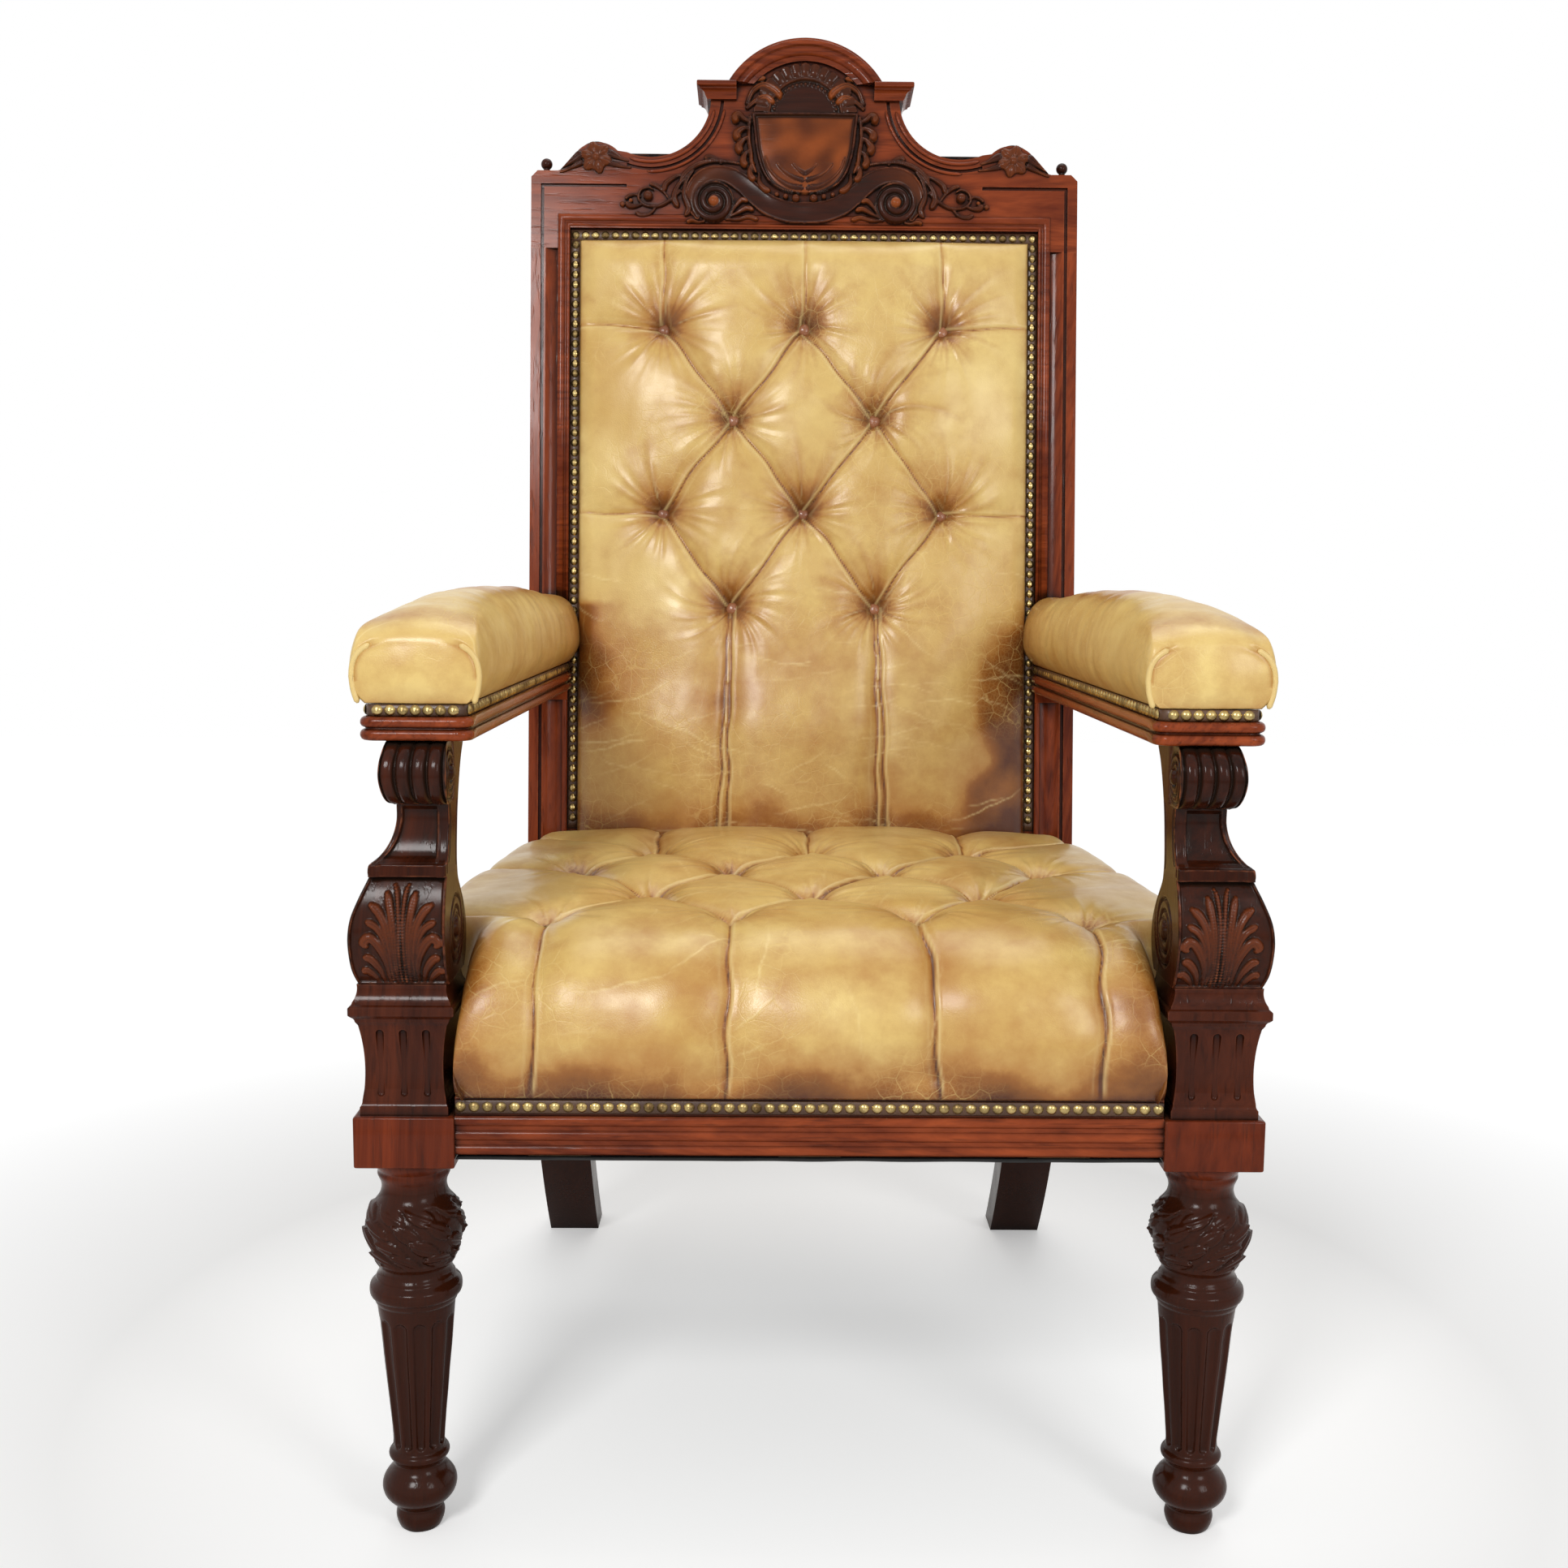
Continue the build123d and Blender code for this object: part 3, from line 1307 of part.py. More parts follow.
def arm_nails():
    inset = platform_inset - border_thickness
    z = arm_line + arm_thickness + nail_radius + seat_gap / 2
    rows = arm_plan(inset)
    nails = nail_run((rows[0][0], rows[0][1], z), (rows[1][0], rows[1][1], z), Vector(0, -1, 0), nail_pitch)
    end_gap = nail_pitch
    for start, stop, side in ((rows[2], rows[3], 1), (rows[5], rows[4], -1)):
        a = Vector(start[0], start[1], z)
        way = Vector(stop[0], stop[1], z) - a
        reach = post_face_y(z) - a.Y - end_gap / 2
        b = a + way * (reach / way.Y)
        outwards = Vector(way.Y, -way.X, 0) * side
        nails += nail_run(tuple(a), tuple(b), outwards, nail_pitch)
    return Compound(nails)


def sided(shape):
    if isinstance(shape, Solid):
        return shape.mirror(Plane.YZ)
    return Compound([solid.mirror(Plane.YZ) for solid in shape.solids()])


side_pieces = {
    "front_leg": front_leg, "arm_pedestal": arm_pedestal, "arm_support": arm_support,
    "arm_rail": arm_rail, "arm_border": arm_border, "arm_pad": arm_pad, "arm_nails": arm_nails,
    "side_seat_rail": side_seat_rail, "back_post": back_post}

middle_pieces = {
    "front_seat_rail": front_seat_rail, "rear_seat_rail": rear_seat_rail,
    "corner_blocks": corner_blocks, "back_lower_rail": back_lower_rail,
    "crest_board": crest_board, "crest_hood": crest_hood, "crest_fan": crest_fan,
    "crest_shield": crest_shield, "crest_scroll": crest_scroll, "crest_volutes": crest_volutes,
    "crest_leaves": crest_leaves, "crest_rosettes": crest_rosettes, "crest_balls": crest_balls,
    "seat_webbing": seat_webbing, "seat_springs": seat_springs, "spring_canvas": spring_canvas,
    "seat_pad": seat_pad, "seat_buttons": seat_buttons, "seat_border": seat_border,
    "seat_nails": seat_nails, "seat_bottom_cloth": seat_bottom_cloth, "back_webbing": back_webbing,
    "back_hessian": back_hessian, "back_pad": back_pad, "back_buttons": back_buttons,
    "back_border": back_border, "back_nails": back_nails, "back_outside_cover": back_outside_cover,
    "outside_nails": outside_nails, "arm_welts": arm_welts}

nodes = {}
for name, make in side_pieces.items():
    shape = make()
    nodes[name + "_right"] = shape
    nodes[name + "_left"] = sided(shape)
for name, make in middle_pieces.items():
    nodes[name] = make()
pins = dowels(0)
nodes["arm_dowels"] = Compound(pins + [pin.mirror(Plane.YZ) for pin in pins])
nodes["corner_screws"] = Compound(corner_screws(0))

# The chair stands with its origin under the middle of its box
box = Compound(list(nodes.values())).bounding_box()
centred = Location((-box.center().X, -box.center().Y, -box.min.Z))
for name, shape in nodes.items():
    export_step(shape.moved(centred), f"parts/{name}.step")
print(len(nodes), "nodes, box", box.size)
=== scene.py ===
# Hall chair with scrolled arms: buttoned hide, carved mahogany and old brass nails
import math
import bpy
import numpy as np
from mathutils import Matrix, Vector


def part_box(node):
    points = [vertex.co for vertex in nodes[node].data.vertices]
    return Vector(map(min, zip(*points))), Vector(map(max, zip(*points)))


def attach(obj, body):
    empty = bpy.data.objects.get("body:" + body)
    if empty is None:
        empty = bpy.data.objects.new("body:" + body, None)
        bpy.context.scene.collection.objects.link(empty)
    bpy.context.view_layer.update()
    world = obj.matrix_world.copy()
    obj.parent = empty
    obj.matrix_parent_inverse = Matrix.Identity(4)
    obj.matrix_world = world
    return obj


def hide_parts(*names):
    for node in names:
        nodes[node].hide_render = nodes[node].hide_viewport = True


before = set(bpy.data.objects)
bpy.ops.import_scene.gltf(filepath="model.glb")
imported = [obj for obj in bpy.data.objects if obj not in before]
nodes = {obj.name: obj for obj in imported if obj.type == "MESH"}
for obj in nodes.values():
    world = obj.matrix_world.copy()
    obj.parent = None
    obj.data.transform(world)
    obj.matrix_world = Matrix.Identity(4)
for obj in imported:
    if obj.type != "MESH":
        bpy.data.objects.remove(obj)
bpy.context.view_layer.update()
print("frame loaded:", len(nodes), "nodes")

# Chair measures in millimetres: x across, y back from the leg fronts, z up
mm = 0.001
chair = {"railFace": 4.0, "rakeDegrees": 6.67, "backFootY": 516.2, "seatLine": 363.0, "taperFrom": 80.0,
         "armTop": 682.0, "armPlatform": 691.0}
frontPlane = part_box("front_seat_rail")[0].y / mm - chair["railFace"]
rakeSin = math.sin(math.radians(chair["rakeDegrees"]))
rakeCos = math.cos(math.radians(chair["rakeDegrees"]))
backForward = np.array([0.0, -rakeCos, rakeSin])  # out of the face of the back
backUp = np.array([0.0, rakeSin, rakeCos])  # up its rake
upright = np.array([0.0, 0.0, 1.0])
sideways = np.array([1.0, 0.0, 0.0])


# numbers


def smooth(low, high, value):
    # 0 below low, 1 above high, an even S between
    t = np.clip((value - low) / (high - low), 0, 1)
    return t * t * (3 - 2 * t)


def bell(distance, width):
    # 1 at no distance, falling away as a bell
    return np.exp(-(distance / width) ** 2)


def halfRound(share):
    # 1 in the middle, falling to 0 at the edge as a half circle
    return np.sqrt(np.clip(1 - share ** 2, 0, 1))


def swells(x, y, size, seed):
    # Soft random hills of about that size: a mean of plane sine waves in seeded directions
    rng = np.random.default_rng(seed)
    total = np.zeros(np.broadcast(x, y).shape)
    waves = 10
    for angle, phase, stretch in rng.random((waves, 3)) * [math.pi, 2 * math.pi, 1.0]:
        pace = 2 * math.pi / (size * (0.7 + 0.8 * stretch))
        total += np.sin(pace * (x * math.cos(angle) + y * math.sin(angle)) + phase)
    return total / math.sqrt(waves)


def through(controls, count):
    # A smooth line through the control points (Catmull-Rom) as evenly spaced points, and its length
    points = np.asarray(controls, float)
    ends = np.vstack([2 * points[0] - points[1], points, 2 * points[-1] - points[-2]])
    steps = 24  # between two control points
    t = np.linspace(0, 1, steps, endpoint=False)[:, None]
    spans = []
    for a, b, c, d in zip(ends, ends[1:], ends[2:], ends[3:]):
        spans.append(0.5 * (2 * b + (c - a) * t + (2 * a - 5 * b + 4 * c - d) * t ** 2
                            + (3 * b - a - 3 * c + d) * t ** 3))
    line = np.vstack(spans + [points[-1:]])
    run = np.concatenate([[0], np.cumsum(np.linalg.norm(np.diff(line, axis=0), axis=1))])
    at = np.linspace(0, run[-1], count)
    return np.stack([np.interp(at, run, line[:, k]) for k in range(line.shape[1])], -1), run[-1]


# meshes


def toMetres(points):
    # Chair millimetres to metres in the frame
    return (np.asarray(points, float).reshape(-1, 3) + [0, frontPlane, 0]) * mm


def placed(x, y, z):
    # Points from coordinates that are arrays or single numbers
    return np.stack(np.broadcast_arrays(x, y, z), -1)


def postFace(z):
    # How far back the raked front faces of the posts stand at a height
    return chair["backFootY"] + (z - chair["seatLine"]) * rakeSin / rakeCos


def onBack(x, depth, rise):
    # Back coordinates: depth stands in front of the posts' faces, rise runs up the rake
    y = chair["backFootY"] + rise * rakeSin - depth * rakeCos
    z = chair["seatLine"] + rise * rakeCos + depth * rakeSin
    return placed(x, y, z)


def gridQuads(rows, cols, wrap=False):
    # Four corners of each cell; a face looks along columns cross rows
    r, c = np.meshgrid(np.arange(rows - 1), np.arange(cols if wrap else cols - 1), indexing="ij")
    a = r * cols + c
    b = r * cols + (c + 1) % cols
    return np.stack([a, b, b + cols, a + cols], -1).reshape(-1, 4)


def gridRim(rows, cols):
    # The closing face behind an open grid, wound the other way
    top = np.arange(cols)
    right = np.arange(1, rows) * cols + cols - 1
    bottom = (rows - 1) * cols + np.arange(cols - 2, -1, -1)
    left = np.arange(rows - 2, 0, -1) * cols
    return np.concatenate([top, right, bottom, left])[::-1]


def plateFaces(rows, cols):
    # The cells of an open grid and one face that closes it behind
    return gridQuads(rows, cols).tolist() + [gridRim(rows, cols).tolist()]


def tubeFaces(rows, cols, base=0):
    # The cells of a grid that closes round its columns, and a cap at each end
    caps = np.stack([np.arange(cols)[::-1], np.arange(cols) + (rows - 1) * cols])
    return (gridQuads(rows, cols, True) + base).tolist() + (caps + base).tolist()


def gridNormals(surface):
    # Unit normals: the cross product of the grid's two directions
    across = np.gradient(surface, axis=1)
    along = np.gradient(surface, axis=0)
    normal = np.cross(across, along)
    return normal / np.maximum(np.linalg.norm(normal, axis=-1, keepdims=True), 1e-9)


def addObject(name, data):
    # A new object in the scene, at the origin
    made = bpy.data.objects.new(name, data)
    bpy.context.scene.collection.objects.link(made)
    return made


def makePiece(name, node, points, faces, material, slot, fields=None):
    # A smooth mesh from chair millimetres, with its point fields, material and body, in the place of
    # its CAD node; the slot is not used
    mesh = bpy.data.meshes.new(name)
    mesh.from_pydata(toMetres(points).tolist(), [], faces)
    mesh.polygons.foreach_set("use_smooth", np.full(len(mesh.polygons), True))
    for title, values in (fields or {}).items():
        field = mesh.attributes.new(title, "FLOAT", "POINT")
        field.data.foreach_set("value", np.asarray(values, np.float32).ravel())
    mesh.materials.append(material)
    mesh.update()
    piece = addObject(name, mesh)
    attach(piece, "root")
    if node:
        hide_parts(node)
    return piece


# node helpers


def connect(tree, made, inputs):
    # A socket is linked to the input, and a plain value is set on it
    for key, value in inputs.items():
        if isinstance(value, bpy.types.NodeSocket):
            tree.links.new(value, made.inputs[key])
        else:
            made.inputs[key].default_value = value
    return made


def addNode(tree, kind, inputs=None, **settings):
    # A shader node with its settings and inputs
    made = tree.nodes.new("ShaderNode" + kind)
    for key, value in settings.items():
        setattr(made, key, value)
    return connect(tree, made, inputs or {})


def sums(tree, operation, a, b=0.0, clamp=False):
    # One sum of two values
    return addNode(tree, "Math", {0: a, 1: b}, operation=operation, use_clamp=clamp).outputs[0]


def times(tree, a, b):
    # The product of two values
    return sums(tree, "MULTIPLY", a, b)


def blendColour(tree, share, a, b):
    # From colour a at share 0 to colour b at share 1
    return addNode(tree, "Mix", {0: share, 6: a, 7: b}, data_type="RGBA").outputs[2]


def between(tree, value, low, high, toLow=0.0, toHigh=1.0):
    # A straight ramp of the value from low to high, held flat outside them
    return addNode(tree, "MapRange", {0: value, 1: low, 2: high, 3: toLow, 4: toHigh}).outputs[0]


def pointField(tree, name):
    # A number kept at each point of the mesh
    return addNode(tree, "Attribute", attribute_name=name, attribute_type="GEOMETRY").outputs["Fac"]


def cellEdges(tree, vector, scale):
    # Distance to the nearest edge between random cells
    return addNode(tree, "TexVoronoi", {"Vector": vector, "Scale": scale},
                   feature="DISTANCE_TO_EDGE").outputs[0]


def noise(tree, vector, scale, detail=4.0, roughness=0.5, distortion=0.0):
    # Soft random values about a half
    made = addNode(tree, "TexNoise", {"Vector": vector, "Scale": scale, "Detail": detail,
                                      "Roughness": roughness, "Distortion": distortion})
    return made.outputs[0]


def startGroup(name, inputs, outputs):
    # A shader node group with named inputs and outputs, which several materials share
    tree = bpy.data.node_groups.new(name, "ShaderNodeTree")
    for title, kind, value in inputs:
        socket = tree.interface.new_socket(title, in_out="INPUT", socket_type="NodeSocket" + kind)
        if value is not None:
            socket.default_value = value
    for title, kind in outputs:
        tree.interface.new_socket(title, in_out="OUTPUT", socket_type="NodeSocket" + kind)
    return tree, tree.nodes.new("NodeGroupInput").outputs, tree.nodes.new("NodeGroupOutput").inputs


def useGroup(tree, group, inputs):
    # The group placed in a material with its own inputs
    return addNode(tree, "Group", inputs, node_tree=group).outputs


# shared finishes


def buildFigure():
    # Long soft stripes of colour with short dark pores, along the stretched axis
    tree, given, out = startGroup("woodFigure", [("Vector", "Vector", None), ("Stripe", "Float", 9.0)],
                                  [("Stripes", "Float"), ("Pores", "Float")])
    warp = noise(tree, given["Vector"], 2.0, 2.0)
    bent = addNode(tree, "VectorMath", {0: given["Vector"], 1: warp}, operation="ADD").outputs[0]
    broad = noise(tree, bent, given["Stripe"], 3.0, 0.5, 0.4)
    fine = noise(tree, bent, times(tree, given["Stripe"], 9.0), 3.0, 0.6)
    stripes = sums(tree, "ADD", times(tree, broad, 0.55), times(tree, fine, 0.45))
    pores = between(tree, noise(tree, given["Vector"], 260.0, 2.0, 0.6), 0.56, 0.72)
    tree.links.new(between(tree, stripes, 0.38, 0.66), out["Stripes"])
    tree.links.new(pores, out["Pores"])
    return tree


def buildShadeAndWear():
    # Painted shade where the shape is hollow, lighter where edges wear, mottled by noise
    tree, given, out = startGroup("shadeAndWear", [("Vector", "Vector", None), ("Hollow", "Float", 1.0),
                                                ("Edge", "Float", 0.0)],
                                  [("ShadeAndMottle", "Float"), ("Worn", "Float"), ("Smear", "Float")])
    mottle = noise(tree, given["Vector"], 22.0, 5.0, 0.6)
    fine = noise(tree, given["Vector"], 95.0, 4.0, 0.6)
    shade = sums(tree, "ADD", between(tree, given["Hollow"], 0.45, 0.98, 1.0, 0.0),
                 between(tree, mottle, 0.5, 0.85, 0.0, 0.14), True)
    toneMarks = sums(tree, "MULTIPLY", between(tree, given["Edge"], 0.45, 0.85, 1.0, 0.0),
                between(tree, fine, 0.42, 0.62), True)
    tree.links.new(shade, out["ShadeAndMottle"])
    tree.links.new(toneMarks, out["Worn"])
    tree.links.new(mottle, out["Smear"])
    return tree


def buildHide():
    # Hide surface: a net of fine cracks at two sizes, pebbled grain and long scratches
    tree, given, out = startGroup("hideSurface", [("Vector", "Vector", None), ("Crack Size", "Float", 70.0)],
                                  [("Cracks", "Float"), ("Grain", "Float"), ("Scratches", "Float")])
    drift = addNode(tree, "TexNoise", {"Vector": given["Vector"], "Scale": 30.0, "Detail": 3.0})
    pushed = addNode(tree, "VectorMath", {0: drift.outputs[1], 3: 0.012}, operation="SCALE").outputs[0]
    moved = addNode(tree, "VectorMath", {0: given["Vector"], 1: pushed}, operation="ADD").outputs[0]
    large = cellEdges(tree, moved, given["Crack Size"])
    small = cellEdges(tree, moved, times(tree, given["Crack Size"], 4.2))
    patches = between(tree, noise(tree, given["Vector"], 9.0, 3.0), 0.46, 0.62)
    lines = times(tree, between(tree, large, 0.0, 0.035, 1.0, 0.0), patches)
    net = times(tree, between(tree, small, 0.0, 0.12, 0.35, 0.0), patches)
    tree.links.new(sums(tree, "ADD", lines, net, True), out["Cracks"])
    pebble = addNode(tree, "TexVoronoi", {"Vector": given["Vector"], "Scale": 850.0}).outputs[0]
    tree.links.new(pebble, out["Grain"])
    slant = addNode(tree, "Mapping", {"Vector": moved, "Rotation": (0.5, 0.9, 0.6),
                                      "Scale": (9.0, 120.0, 9.0)})
    scored = noise(tree, slant.outputs[0], 1.0, 2.0, 0.5)
    tree.links.new(between(tree, scored, 0.7, 0.76), out["Scratches"])
    return tree


figureGroup = buildFigure()
shadeWearGroup = buildShadeAndWear()
hideGroup = buildHide()


def startMaterial(name):
    # A new material, its tree, its shader and the object's own coordinates
    material = bpy.data.materials.new(name)
    material.use_nodes = True
    tree = material.node_tree
    shader = tree.nodes["Principled BSDF"]
    place = tree.nodes.new("ShaderNodeTexCoord").outputs["Object"]
    return material, tree, shader, place


def makeWood(name, stretch, look):
    # Polished wood with figure along one axis, painted shade in the hollows and edges lighter with wear
    material, tree, shader, place = startMaterial(name)
    grain = addNode(tree, "Mapping", {"Vector": place, "Scale": stretch}).outputs[0]
    figure = useGroup(tree, figureGroup, {"Vector": grain, "Stripe": look["stripe"]})
    hollow = addNode(tree, "AmbientOcclusion", {"Distance": look["hollowReach"]}, samples=8)
    edge = addNode(tree, "AmbientOcclusion", {"Distance": look["edgeReach"]}, samples=6, inside=True,
                   only_local=True)
    shadeWear = useGroup(tree, shadeWearGroup, {"Vector": place, "Hollow": hollow.outputs["AO"],
                                          "Edge": edge.outputs["AO"]})
    colour = blendColour(tree, figure["Stripes"], look["deep"], look["mid"])
    colour = blendColour(tree, times(tree, figure["Pores"], look["pores"]), colour, look["dark"])
    colour = blendColour(tree, times(tree, shadeWear["Worn"], look["wear"]), colour, look["light"])
    patchy = between(tree, shadeWear["Smear"], 0.3, 0.6, 0.6, 1.0)
    # Honey where the tips field says: painted glints on raised leaf ends, knobs, beads and petals, and on
    # the shield's flame
    tips = sums(tree, "MULTIPLY", pointField(tree, "tips"), patchy, True)
    colour = blendColour(tree, tips, colour, look["honey"])
    # Painted shade in the hollows, with the polish's own mottle
    colour = blendColour(tree, times(tree, shadeWear["ShadeAndMottle"], look["hollowShadeShare"]), colour, look["dark"])
    height = addNode(tree, "SeparateXYZ", {0: place}).outputs[2]
    nearFloor = between(tree, height, look["shadeTo"] - look["shadeFade"], look["shadeTo"],
                        look["lowShade"], 0.0)
    colour = blendColour(tree, nearFloor, colour, look["low"])
    rough = between(tree, shadeWear["Smear"], 0.3, 0.75, look["gloss"], look["gloss"] + 0.11)
    relief = sums(tree, "ADD", times(tree, figure["Pores"], -0.5),
                  times(tree, shadeWear["Smear"], 0.6))
    lift = addNode(tree, "Bump", {"Height": relief, "Strength": 0.25, "Distance": 0.0006})
    connect(tree, shader, {"Base Color": colour, "Roughness": rough, "Normal": lift.outputs[0],
                           "Specular IOR Level": look["shine"]})
    return material


woodLook = {"deep": (0.115, 0.018, 0.005, 1), "mid": (0.33, 0.064, 0.017, 1),
            "dark": (0.006, 0.0022, 0.0014, 1), "light": (0.34, 0.096, 0.036, 1), "stripe": 12.0,
            "pores": 0.4, "wear": 0.5, "hollowShadeShare": 0.9, "honey": (0.285, 0.066, 0.012, 1), "gloss": 0.13,
            "shine": 0.14, "hollowReach": 0.01, "edgeReach": 0.002, "low": (0.016, 0.0045, 0.0018, 1),
            "lowShade": 0.0, "shadeTo": 0.43, "shadeFade": 0.15}
carvedLook = dict(woodLook, deep=(0.018, 0.0044, 0.002, 1), mid=(0.06, 0.012, 0.004, 1), hollowShadeShare=0.95,
                  wear=0.85, dark=(0.016, 0.01, 0.007, 1), honey=(0.15, 0.034, 0.01, 1),
                  hollowReach=0.006)
beechLook = dict(woodLook, deep=(0.3, 0.17, 0.075, 1), mid=(0.42, 0.26, 0.12, 1),
                 dark=(0.1, 0.05, 0.02, 1), light=(0.5, 0.33, 0.18, 1), gloss=0.55, hollowShadeShare=0.5)
alongX = (0.09, 1.0, 1.0)
alongY = (1.0, 0.09, 1.0)
alongZ = (1.0, 1.0, 0.09)
makeWood("mahoganyUp", alongZ, dict(woodLook, lowShade=0.95))
# A darker copy of the mahogany for the arm pedestals: painted shade
makeWood("shadedMahogany", alongZ, dict(woodLook, deep=(0.03, 0.006, 0.002, 1),
                                     mid=(0.085, 0.017, 0.0055, 1), wear=0.3))
mahoganyAcross = makeWood("mahoganyAcross", alongX, woodLook)
mahoganyBack = makeWood("mahoganyBack", alongY, woodLook)
carvedUp = makeWood("carvedMahoganyUp", alongZ, carvedLook)
carvedLeg = makeWood("carvedMahoganyLeg", alongZ,
                     dict(carvedLook, deep=(0.065, 0.01, 0.003, 1), lowShade=0.85,
                          mid=(0.17, 0.027, 0.007, 1), shadeTo=0.318, shadeFade=0.025,
                          low=(0.021, 0.0058, 0.0022, 1)))
carvedAcross = makeWood("carvedMahoganyAcross", alongX, dict(carvedLook, honey=(0.34, 0.078, 0.015, 1)))
makeWood("beechFrame", alongX, beechLook)


def makeHide(name, look):
    # Waxed hide; the stain-and-shade field browns the folds and buttons with stain and painted shade, noise
    # gives pale patches of wear
    material, tree, shader, place = startMaterial(name)
    stain = pointField(tree, "stain")
    surface = useGroup(tree, hideGroup, {"Vector": place, "Crack Size": look["crackSize"]})
    broad = between(tree, noise(tree, place, 7.0, 4.0, 0.55, 0.4), 0.34, 0.68)
    blotch = between(tree, noise(tree, place, 34.0, 5.0, 0.62), 0.35, 0.75)
    colour = blendColour(tree, broad, look["mid"], look["pale"])
    colour = blendColour(tree, times(tree, blotch, look["blotch"]), colour, look["brown"])
    # Brown, then near black where the field is strong: stain, and painted shade in creases and pits
    reach = sums(tree, "ADD", stain, times(tree, sums(tree, "SUBTRACT", blotch, 0.5), 0.18), True)
    colour = blendColour(tree, between(tree, reach, 0.05, 0.6), colour, look["brown"])
    colour = blendColour(tree, between(tree, reach, 0.45, 0.92), colour, look["dark"])
    colour = blendColour(tree, times(tree, surface["Cracks"], look["crackPale"]), colour, look["pale"])
    colour = blendColour(tree, times(tree, surface["Scratches"], 0.12), colour, look["pale"])
    # Pale field: wear and painted highlight on the fold lips and pucker ridges, and the pale crease lines
    colour = blendColour(tree, times(tree, pointField(tree, "pale"), 0.75), colour, look["rubbedAndHighlight"])
    rough = between(tree, blotch, 0.0, 1.0, look["gloss"], look["gloss"] + 0.14)
    rough = sums(tree, "ADD", rough, times(tree, surface["Cracks"], 0.12))
    relief = sums(tree, "SUBTRACT", times(tree, surface["Grain"], 0.25),
                  times(tree, surface["Cracks"], 0.5))
    relief = sums(tree, "ADD", relief, times(tree, blotch, 0.5))
    lift = addNode(tree, "Bump", {"Height": relief, "Strength": look["bump"], "Distance": 0.0008})
    connect(tree, shader, {"Base Color": colour, "Roughness": rough, "Normal": lift.outputs[0],
                           "Coat Weight": look["coat"], "Coat Roughness": look["coatRough"],
                           "Specular IOR Level": look["shine"]})
    return material


hideLook = {"pale": (0.76, 0.56, 0.205, 1), "mid": (0.6, 0.38, 0.108, 1),
            "brown": (0.37, 0.135, 0.02, 1), "dark": (0.085, 0.021, 0.004, 1),
            "rubbedAndHighlight": (0.84, 0.67, 0.31, 1), "blotch": 0.28, "crackPale": 0.35, "crackSize": 60.0,
            "gloss": 0.29, "bump": 0.35, "coat": 0.2, "coatRough": 0.2, "shine": 0.36}
hide = makeHide("honeyHide", hideLook)
darkHide = makeHide("brownHide",
                    dict(hideLook, pale=(0.1, 0.045, 0.02, 1), mid=(0.05, 0.021, 0.01, 1),
                         brown=(0.035, 0.013, 0.006, 1), crackPale=0.15, gloss=0.4))
buttonHide = makeHide("buttonHide",
                      dict(hideLook, pale=(0.38, 0.15, 0.065, 1), mid=(0.22, 0.074, 0.028, 1),
                           brown=(0.12, 0.036, 0.012, 1), crackPale=0.3, gloss=0.16))


def makeMetal(name, bright, dull, rough):
    # Metal with tarnish in soft patches
    material, tree, shader, place = startMaterial(name)
    patches = between(tree, noise(tree, place, 60.0, 4.0, 0.6), 0.4, 0.68)
    hollow = addNode(tree, "AmbientOcclusion", {"Distance": 0.003}, samples=6)
    dirty = sums(tree, "MAXIMUM", patches, between(tree, hollow.outputs["AO"], 0.35, 0.85, 1.0, 0.0))
    connect(tree, shader, {"Base Color": blendColour(tree, dirty, bright, dull), "Metallic": 1.0,
                           "Roughness": between(tree, dirty, 0.0, 1.0, rough, rough + 0.22)})
    return material


makeMetal("oldBrass", (0.55, 0.41, 0.17, 1), (0.11, 0.065, 0.025, 1), 0.24)
springSteel = makeMetal("springSteel", (0.35, 0.33, 0.3, 1), (0.12, 0.09, 0.07, 1), 0.4)
makeMetal("screwSteel", (0.42, 0.4, 0.37, 1), (0.16, 0.13, 0.11, 1), 0.35)


def makeWeave(name, thread, gap, pitch, rough):
    # Plain weave: two crossed waves of thread, the gaps darker
    material, tree, shader, place = startMaterial(name)
    warp, weft, rise = (addNode(tree, "TexWave", {"Vector": place, "Scale": pitch, "Distortion": 0.6},
                                bands_direction=axis).outputs[1] for axis in "XYZ")
    over = sums(tree, "MAXIMUM", warp, sums(tree, "MAXIMUM", weft, rise))
    tint = noise(tree, place, 40.0, 4.0)
    colour = blendColour(tree, over, gap, thread)
    colour = blendColour(tree, between(tree, tint, 0.4, 0.8, 0.0, 0.5), colour, gap)
    lift = addNode(tree, "Bump", {"Height": over, "Strength": 0.5, "Distance": 0.0006})
    connect(tree, shader, {"Base Color": colour, "Normal": lift.outputs[0],
                           "Roughness": between(tree, over, 0.0, 1.0, rough, rough - 0.1)})
    return material


jute = makeWeave("juteWeb", (0.36, 0.24, 0.12, 1), (0.12, 0.07, 0.035, 1), 420.0, 0.95)
canvas = makeWeave("seatCanvas", (0.55, 0.46, 0.32, 1), (0.24, 0.18, 0.11, 1), 700.0, 0.92)
blackCloth = makeWeave("blackCloth", (0.022, 0.021, 0.02, 1), (0.008, 0.008, 0.008, 1), 800.0, 0.9)
print("materials made")

# CAD nodes that keep their shape take their finish here

